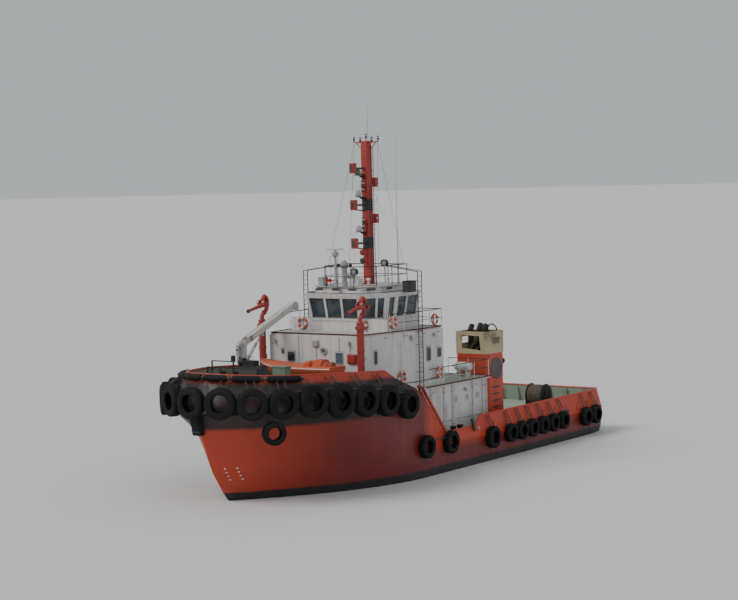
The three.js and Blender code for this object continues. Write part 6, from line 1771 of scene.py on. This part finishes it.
def winch_drum(w):
    """Drum with webs on its flanges, warping heads where it has them, and wound rope."""
    z, outer = w.deck + w.shaft, w.half + DRUM_GAP + CHEEK
    axle = (w.x, w.y, z)
    drum = Piece(f"{w.name}_drum_body", f"{w.name}_drum")
    foot, end = outer + 0.006, outer + (0.42 if w.head else 0.04)
    outside = [(0.1, foot), (w.head, foot + 0.02), (w.head, foot + 0.05), (w.head * 0.72, outer + 0.13),
               (w.head * 0.7, outer + 0.24), (w.head * 0.9, end - 0.05), (w.head, end - 0.02), (w.head, end),
               (0.12, end), (0.1, end - 0.02)] if w.head else [(0.1, end)]
    half = [(w.core, w.half - 0.06), (w.flange - 0.03, w.half - 0.055), (w.flange, w.half - 0.04),
            (w.flange, w.half - 0.01), (w.flange - 0.02, w.half), (0.1, w.half), *outside]
    drum.lathe(both_ways(half), w.look, axle, TO_PORT, 48)
    for hand in HANDS:
        y = w.y + hand * (w.half - 0.062)
        for a, b in circle(8):
            web = [(w.x + a * r, y, z + b * r) for r in (w.rope + 0.02, w.flange - 0.03)]
            drum.tube(web, 0.012, w.look, 6)
    pitch, dip = 0.062, 0.0272
    rope = [(w.core - 0.01, 0.065 - w.half)]
    for k in range(int(2 * (w.half - 0.07) / pitch)):
        h = 0.07 - w.half + (k + 0.5) * pitch
        swell = w.rope + 0.012 * math.sin(k * 2.3)
        rope += [(swell - dip, h - pitch / 2), (swell, h - pitch * 0.3), (swell + 0.01, h),
                 (swell, h + pitch * 0.3)]
    rope += [(w.rope - 0.03, w.half - 0.07), (w.core - 0.01, w.half - 0.065)]
    drum.lathe(rope, "wire" if w.name == "tow_winch" else "rope", axle, TO_PORT, 48)
    drum.done("gear_grey", [f"{w.name}_drum"])


def drum_guard(bed, w):
    """Plate bent over the front and top of a drum, with a valve chest and its levers on top."""
    low, high = w.flange + 0.05, w.flange + 0.08
    shell = [(r * math.cos(a), w.shaft + r * math.sin(a)) for r, way in ((low, 1), (high, -1))
             for a in arc(16, -0.3, 2.1)[::way]]
    bed.slab(shell, -w.half - 0.02, w.half + 0.02, "y", "black")
    for a in (0.3, 0.95, 1.6):
        x, z = high * math.cos(a), w.shaft + high * math.sin(a)
        bed.tube([(x, -w.half, z), (x, w.half, z)], 0.03, "black", 8)
    crown = w.shaft + high
    bed.box((-0.22, -0.5, crown - 0.04), (0.24, 0.32, crown + 0.26), "black")
    bed.lathe([(0.2, 0), (0.24, 0.03), (0.24, 0.3), (0.2, 0.34)], "black", (0, -0.5, crown + 0.16),
              (0, -1, 0))
    for k in range(4):
        foot = Vector((0.05, -0.36 + 0.18 * k, crown + 0.24))
        bed.tube([foot, foot + Vector((0.09, 0, 0.26))], 0.014, "teal", 6)
        bed.ball(foot + Vector((0.09, 0, 0.27)), 0.032, "teal", 8)


def double_bollard(name, at):
    piece = Piece(f"{name}_posts", place=Matrix.Translation(at))
    piece.slab(rounded(1.3, 0.48, 0.1), SEAT, 0.06, "z", "black")
    post = [(0.2, 0.06), (0.16, 0.1), (0.155, 0.6), (0.2, 0.64), (0.21, 0.67), (0.2, 0.72), (0.12, 0.73)]
    for x in (-0.38, 0.38):
        piece.lathe(post, "black", (x, 0, 0), sides=24)
        for hand in HANDS:
            piece.tube([(x, hand * 0.12, 0.36), (x, hand * 0.21, 0.36)], 0.035, "black")
    piece.done("black_paint", [name])


def liferaft(name, side):
    """Ribbed canister on two saddles, with a strap over each."""
    raft = Piece(f"liferaft_canister_{name}", place=Matrix.Translation((-3.25, side * 2.9, FORE_DECK)))
    half = [(0.29, 0.02), (0.275, 0.03), (0.275, 0.26), (0.285, 0.28), (0.275, 0.3), (0.285, 0.46),
            (0.25, 0.53), (0.2, 0.56)]
    saddle = [(-0.27, SEAT), (0.27, SEAT), (0.27, 0.46), (0.2, 0.46), (0.14, 0.38), (0.0, 0.335),
              (-0.14, 0.38), (-0.2, 0.46), (-0.27, 0.46)]
    raft.lathe(both_ways(half), "raft", rise(0.62), TO_PORT, 32)
    for y in (-0.33, 0.33):
        raft.ring((0, y, 0.62), TO_PORT, 0.285, 0.008, "dark", 32)
        raft.slab(saddle, y - 0.03, y + 0.03, "y", "white")
    for x in (-0.24, 0.24):
        raft.tube([(x, -0.36, 0.12), (x, 0.36, 0.12)], 0.02, "white", 8)
    raft.done("raft_white", [f"liferaft_{name}"])


def build_fittings():
    for name, side in SIDES.items():
        double_bollard(f"bollard_aft_{name}", (-15.7, side * 3.75, DECK))
        double_bollard(f"bollard_mid_{name}", (0.6, side * 4.75, DECK))
        liferaft(name, side)
    bitt = Piece("bow_bitt_posts", place=Matrix.Translation((16.2, 0, FORE_DECK)))
    post = [(0.28, SEAT), (0.28, 0.03), (0.15, 0.05), (0.15, 2.03), (0.18, 2.05), (0.18, 2.09), (0.12, 2.1)]
    for y in (-0.45, 0.45):
        bitt.lathe(post, "black", (0, y, 0), sides=28)
    bitt.lathe(both_ways([(0.1, 0.7), (0.12, 0.84), (0.1, 0.85)]), "black", rise(1.65), TO_PORT, 24)
    bitt.done("black_paint", ["bow_bitt"])
    forecastle_gear()


def forecastle_gear():
    """Lockers on legs, mushroom vents, small bollards and pipe frames."""
    gear = Piece("forecastle_gear")
    for x, y, low, high in ((11.95, 0.32, 6.45, 6.92), (15.0, -2.4, 5.1, 6.0)):
        gear.block(x, y, (0.6, 0.9), 0.05, low, high, "locker")
        gear.block(x, y, (0.66, 0.96), 0.05, high, high + 0.06, "locker")
        for a in (-0.24, 0.24):
            for b in (-0.36, 0.36):
                gear.tube([(x + a, y + b, z) for z in (FORE_DECK, low + 0.02)], 0.03, "dark", 8)
    vent = [(0.07, 0), (0.07, 0.55), (0.17, 0.55), (0.2, 0.62), (0.17, 0.72), (0.08, 0.76)]
    for x, y in ((15.0, 2.2), (14.6, -1.7), (6.6, 3.9)):
        gear.lathe(vent, "deck", (x, y, FORE_DECK), sides=18)
    post = [(0.12, 0), (0.1, 0.05), (0.1, 0.4), (0.13, 0.42), (0.13, 0.46), (0.08, 0.47)]
    for side in SIDES.values():
        gear.block(17.3, side * 1.3, (0.9, 0.34), 0.08, FORE_DECK, 5.05, "black")
        for x in (17.05, 17.55):
            gear.lathe(post, "black", (x, side * 1.3, 5.05), sides=18)
    for x, reach, top in ((16.75, 0.75, 7.7), (17.5, 0.45, 7.45)):
        for y in (-reach, reach):
            gear.tube([(x, y, FORE_DECK), (x, y, top)], 0.045, "black", 8)
        for z in (top, top - 0.35):
            gear.tube([(x, -reach, z), (x, reach, z)], 0.03, "black", 8)
    gear.lathe([(0.1, 0), (0.13, 0.03), (0.13, 0.3), (0.08, 0.36)], "black", (16.75, 0.75, 7.68), sides=14)
    gear.done("black_paint")


def aboard(x, y, z):
    """Point given from the middle of the boat's keel line."""
    return BOAT_AT + Vector((x, y, z))


# Rescue boat

# Distance along, half breadth, keel and gunwale height.
BOAT_STATIONS = [(-2.6, 0.78, 0.15, 0.95), (-0.9, 0.95, 0.06, 0.95), (0.9, 0.95, 0.06, 0.98),
                 (2.1, 0.68, 0.22, 1.1), (2.85, 0.16, 0.7, 1.25)]
BOAT_AT = Vector((10.0, 0.2, 5.9))
# Gear under the boat's cover: place along the boat, half breadth, half length and height over the keel.
COVERED = [(-2.05, 0.42, 0.26, 1.14), (-1.45, 0.6, 0.3, 1.28), (-0.7, 0.5, 0.3, 1.2), (0.3, 0.58, 0.45, 1.24),
           (1.3, 0.4, 0.4, 1.16)]
COVER_SIZE = (2.3, 4.7)


def build_boat():
    boat = Piece("rescue_boat_hull")
    stations = eased([(s, half, keel) for s, half, keel, _ in BOAT_STATIONS])
    tops = [p.y for p in eased([(s, top, 0) for s, _, _, top in BOAT_STATIONS])]
    rings, edges = [], []
    for (s, half, keel), top in zip(stations, tops):
        bilge = between(keel, top, 0.45)
        half = min(half, 0.95)
        section = [(-0.04, keel), (-half * 0.45, between(keel, bilge, 0.4)), (-half * 0.8, bilge),
                   (-half * 0.95, between(bilge, top, 0.4)), (-half, top - 0.15), (-half, top - 0.06),
                   (-half * 0.96, top - 0.01), (-half * 0.87, top)]
        section += [(-a, b) for a, b in reversed(section)]
        rings.append([aboard(a, -s, b) for a, b in section])
        edges.append((s, half, top))
    boat.loft(rings, "orange")
    skin = (list(boat.points), list(boat.faces))
    for hand in HANDS:
        boat.tube([aboard(hand * half * 0.985, -s, top - 0.1) for s, half, top in edges], 0.035, "raft", 8)
        loops = [aboard(hand * half * 0.99, -s, top - 0.17) for s, half, top in edges[2:23:2]]
        for a, b in zip(loops, loops[1:]):
            boat.tube(eased([a, (a + b) / 2 - rise(0.09), b], 3), 0.009, "rope", 6)
        s, half, _ = edges[14]
        port = [(0.08, 0), (0.11, 0.015), (0.09, 0.03), (0, 0.02)]
        boat.lathe(port, "dark", aboard(hand * half * 0.9, -s, 0.62), (hand, 0, -0.3), 18)
    boat.tube([aboard(0, -s, keel) for s, _, keel in stations], 0.04, "orange", 8)
    for y in (-1.5, 1.3):
        for x0, x1, z0, z1 in ((-0.7, 0.7, SEAT - 0.9, -0.8), (-0.7, -0.58, -0.8, 0.32),
                               (0.58, 0.7, -0.8, 0.32), (-0.5, 0.5, -0.08, 0.02)):
            boat.box(aboard(x0, y - 0.06, z0), aboard(x1, y + 0.06, z1), "orange")
        for hand in HANDS:
            boat.tube([aboard(hand * 0.62, y, -0.84), aboard(hand * 0.3, y, -0.05)], 0.04, "orange", 8)
            pad = [aboard(hand * x, y, z) for x, z in ((0.56, 0.06), (0.66, 0.18), (0.74, 0.33))]
            boat.tube(pad, 0.05, "roll", 8)
    boat.done("boat_orange", ["rescue_boat"], sharp=40)
    build_cover(skin)


def bare(name, points, faces):
    mesh = bpy.data.meshes.new(name)
    mesh.from_pydata(points, [], faces)
    made = bpy.data.objects.new(name, mesh)
    bpy.context.scene.collection.objects.link(made)
    return made


def fallen(points, faces, under, frames):
    """Where the points of a cloth come to lie when it falls on forms."""
    sheet = bare("falling_cloth", points, faces)
    forms = [bare("form_under_cloth", *form) for form in under]
    for form in forms:
        form.modifiers.new("collision", "COLLISION")
        form.collision.thickness_outer = 0.012
        form.collision.cloth_friction = 12.0
    cloth = sheet.modifiers.new("cloth", "CLOTH")
    cloth.settings.quality = 6
    cloth.settings.mass = 0.35
    cloth.settings.tension_stiffness = cloth.settings.compression_stiffness = 20.0
    cloth.settings.shear_stiffness = 8.0
    cloth.settings.bending_stiffness = 1.5
    cloth.settings.air_damping = 2.0
    cloth.collision_settings.distance_min = 0.012
    cloth.collision_settings.collision_quality = 3
    cloth.point_cache.frame_end = frames
    for at in range(1, frames + 1):
        bpy.context.scene.frame_set(at)
    seen = sheet.evaluated_get(bpy.context.evaluated_depsgraph_get())
    lying = [vertex.co.copy() for vertex in seen.data.vertices]
    for made in (sheet, *forms):
        bpy.data.objects.remove(made)
    bpy.context.scene.frame_set(1)
    return lying


def build_cover(skin):
    """Tarpaulin dropped over the boat's gear and gunwales, with a pale bolt rope in its hem."""
    gear = Piece("gear_under_cover")
    for s, half, reach, top in COVERED:
        place = Matrix.Translation(aboard(0, -s, 0.9))
        with gear.within(place @ Matrix.Diagonal((half, reach, top - 0.9, 1))):
            gear.box((-0.8, -0.9, -1), (0.8, 0.7, 1), "orange")
    across, along = 40, 80
    width, length = COVER_SIZE
    points = [aboard((i / across - 0.5) * width, (k / along - 0.5) * length + 0.22, 1.36)
              for k in range(along + 1) for i in range(across + 1)]
    row = across + 1
    faces = [[k * row + i, k * row + i + 1, (k + 1) * row + i + 1, (k + 1) * row + i]
             for k in range(along) for i in range(across)]
    points = fallen(points, faces, [skin, (gear.points, gear.faces)], 70)
    cover = Piece("rescue_boat_cover")
    cover.form(points, faces, "cover")
    cloth = cover.done("boat_orange", sharp=180)
    rim = [*range(row), *(k * row + across for k in range(1, along + 1)),
           *(along * row + i for i in reversed(range(across))), *(k * row for k in reversed(range(1, along)))]
    hem = Piece("rescue_boat_cover_hem")
    hem.tube([points[i] for i in rim], 0.022, "raft", 6, True)
    hem.done("boat_orange")


# Propellers, nozzles and rudders

# Blade section: radius, half chord, pitch from the disc's plane in degrees, half thickness.
BLADE = [(0.12, 0.21, 58, 0.042), (0.36, 0.28, 46, 0.034), (0.6, 0.33, 36, 0.026), (0.85, 0.3, 29, 0.016),
         (0.98, 0.24, 26, 0.011), (1.03, 0.16, 24, 0.008)]
# Share of the half chord and of the half thickness round a blade's section.
BLADE_SECTION = [(1.0, 0.0), (0.75, 0.5), (0.3, 0.95), (-0.3, 0.95), (-0.8, 0.45), (-1.0, 0.0), (-0.75, -0.4),
                 (-0.3, -0.8), (0.3, -0.8), (0.8, -0.4)]


def build_propeller(name, side):
    screw = Piece(f"propeller_blades_{name}", f"propeller_{name}",
                  Matrix.Translation((SCREW_X, side * SHAFT_Y, SHAFT_Z)))
    screw.lathe([(0.0, -0.42), (0.06, -0.41), (0.11, -0.38), (0.17, -0.27), (0.21, -0.15), (0.21, 0.3),
                 (0.2, 0.32), (0.2, 0.8495)], "bronze", along=AHEAD, sides=28)
    rings = []
    for radius, chord, pitch, thick in BLADE:
        c, s = math.cos(math.radians(pitch)), math.sin(math.radians(pitch))
        rings.append([(u * chord * s - t * thick * c, side * (u * chord * c + t * thick * s), radius)
                      for u, t in BLADE_SECTION])
    for a in arc(4)[:-1]:
        with screw.within(Matrix.Rotation(side * (a + 0.3), 4, "X")):
            screw.loft(rings, "bronze")
    bolts(screw, (0.3, 0, 0), AHEAD, 0.195, 8, 0.02, "bronze")
    screw.done("propeller_bronze", [f"propeller_{name}"], sharp=50)


def build_nozzle(name, side):
    duct = Piece(f"nozzle_duct_{name}", place=Matrix.Translation((SCREW_X, side * SHAFT_Y, SHAFT_Z)))
    section = [(1.133, 0.6), (1.1, 0.5), (1.073, 0.25), (1.066, 0.0), (1.073, -0.25), (1.103, -0.6),
               (1.163, -0.6), (1.21, -0.2), (1.263, 0.2), (1.268, 0.4), (1.25, 0.52), (1.2, 0.59)]
    duct.lathe(section, "hull", along=AHEAD, sides=56, closed=True)
    for x, radius in ((0.45, 1.245), (-0.45, 1.19)):
        duct.ring((x, 0, 0), AHEAD, radius, 0.02, "hull", 56)
    strut = [(0.35, 0.0), (0.31, 0.08), (0.18, 0.16), (0.0, 0.18), (-0.2, 0.14), (-0.35, 0.03)]
    strut += [(x, -y) for x, y in reversed(strut[1:])]
    duct.slab(strut, -1.05 - SHAFT_Z, -0.6 - SHAFT_Z, "z", "hull")
    for y in (-0.6, 0.6):
        spot = Vector((0, y, math.sqrt(1.2 ** 2 - y ** 2))).normalized() * 1.225
        for x in (-0.2, 0.2):
            duct.box(spot + Vector((x - 0.15, -0.04, -0.03)), spot + Vector((x + 0.05, 0.04, 0.04)), "steel")
    duct.done("hull_red", [f"nozzle_{name}"], sharp=30)


def build_rudder(name, side):
    blade = Piece(f"rudder_blade_{name}", f"rudder_{name}", Matrix.Translation((RUDDER_X, side * SHAFT_Y, 0)))
    foil = [(0.35, 0.0), (0.33, 0.05), (0.26, 0.095), (0.12, 0.125), (-0.1, 0.13), (-0.35, 0.12),
            (-0.7, 0.07), (-1.1, 0.018), (-1.15, 0.012)]
    foil += [(x, -y) for x, y in reversed(foil[1:])]
    blade.loft([[(x * length, y * thick, z) for x, y in foil]
                for z, length, thick in ((-3.35, 0.97, 0.8), (-3.31, 1.0, 0.95), (-3.2, 1.0, 1.0),
                                         (-1.25, 1.0, 1.0), (-1.18, 1.0, 0.96), (-1.15, 0.98, 0.9))], "hull")
    for z in (-2.8, -2.25, -1.7):
        blade.slab([(x, y * 1.03) for x, y in foil], z - 0.015, z + 0.015, "z", "hull")
    blade.lathe([(0.12, -1.35), (0.12, -1.0005)], "steel", sides=24)
    blade.lathe([(0.2, -1.16), (0.19, -1.12), (0.13, -1.06)], "hull", sides=24)
    for z in (-2.6, -1.9):
        for y in (-0.05, 0.05):
            blade.box((-0.75, y - 0.03, z), (-0.55, y + 0.03, z + 0.1), "steel")
    blade.done("hull_red", [f"rudder_{name}"], sharp=30)


# Camera, light and floor

def build_stage():
    corners = [(-FLOOR, -FLOOR, 0), (FLOOR, -FLOOR, 0), (FLOOR, FLOOR, 0), (-FLOOR, FLOOR, 0)]
    ground = bare("floor", corners, [[0, 1, 2, 3]])
    ground.data.materials.append(PAINT["floor"])
    sky = bpy.data.worlds.new("studio")
    sky.use_nodes = True
    sky.node_tree.nodes["Background"].inputs["Color"].default_value = (0.80, 0.82, 0.84, 1)
    sky.node_tree.nodes["Background"].inputs["Strength"].default_value = 0.62
    bpy.context.scene.world = sky
    for name, towards, strength, softness, tint in LIGHTS:
        lamp = bpy.data.lights.new(name, "SUN")
        lamp.energy, lamp.angle, lamp.color = strength, math.radians(softness), tint
        light = bpy.data.objects.new(name, lamp)
        light.rotation_euler = (-Vector(towards)).to_track_quat("-Z", "Y").to_euler()
        bpy.context.scene.collection.objects.link(light)


# Direction that each light comes from, its strength, its width in degrees and its tint.
LIGHTS = [
    ("key_light", (0.62, -0.42, 0.75), 1.9, 30, (1.0, 0.97, 0.93)),
    ("fill_light", (0.5, 0.8, 0.5), 0.5, 60, (0.93, 0.96, 1.0)),
]
FLOOR = 5000.0
CAMERA_AT = (92.7, 63.23, 17.03)
CAMERA_TURN, CAMERA_DIP, HEEL = math.radians(35), math.atan(145 / 1814), math.radians(1.7)


def build_camera():
    lens = bpy.data.cameras.new("view")
    lens.sensor_width, lens.lens = 36.0, 36.0 * 1814 / 738
    lens.clip_start, lens.clip_end = 1.0, 10000.0
    turn, dip = CAMERA_TURN, CAMERA_DIP
    right = Vector((-math.sin(turn), math.cos(turn), 0))
    ahead = Vector((-math.cos(turn) * math.cos(dip), -math.sin(turn) * math.cos(dip), -math.sin(dip)))
    axes = Matrix((right, right.cross(ahead), -ahead)).transposed()
    camera = bpy.data.objects.new("camera", lens)
    heel = Matrix.Rotation(-HEEL, 3, "X")
    camera.matrix_world = Matrix.Translation(CAMERA_AT) @ (heel @ axes).to_4x4()
    bpy.context.scene.collection.objects.link(camera)
    bpy.context.scene.camera = camera


build_camera()
build_stage()
build_hull()
build_bow_bulwark()
build_bow_fender()
build_side_bulwarks()
build_transom_bulwark()
build_decks()
build_wheelhouse()
build_helm()
build_doors()
build_houses()
build_mast()
build_roof_gear()
build_rails()
build_funnels()
build_monitors()
build_crane()
for winch in WINCHES:
    build_winch(winch)
build_fittings()
build_boat()
for name, side in SIDES.items():
    build_propeller(name, side)
    build_nozzle(name, side)
    build_rudder(name, side)
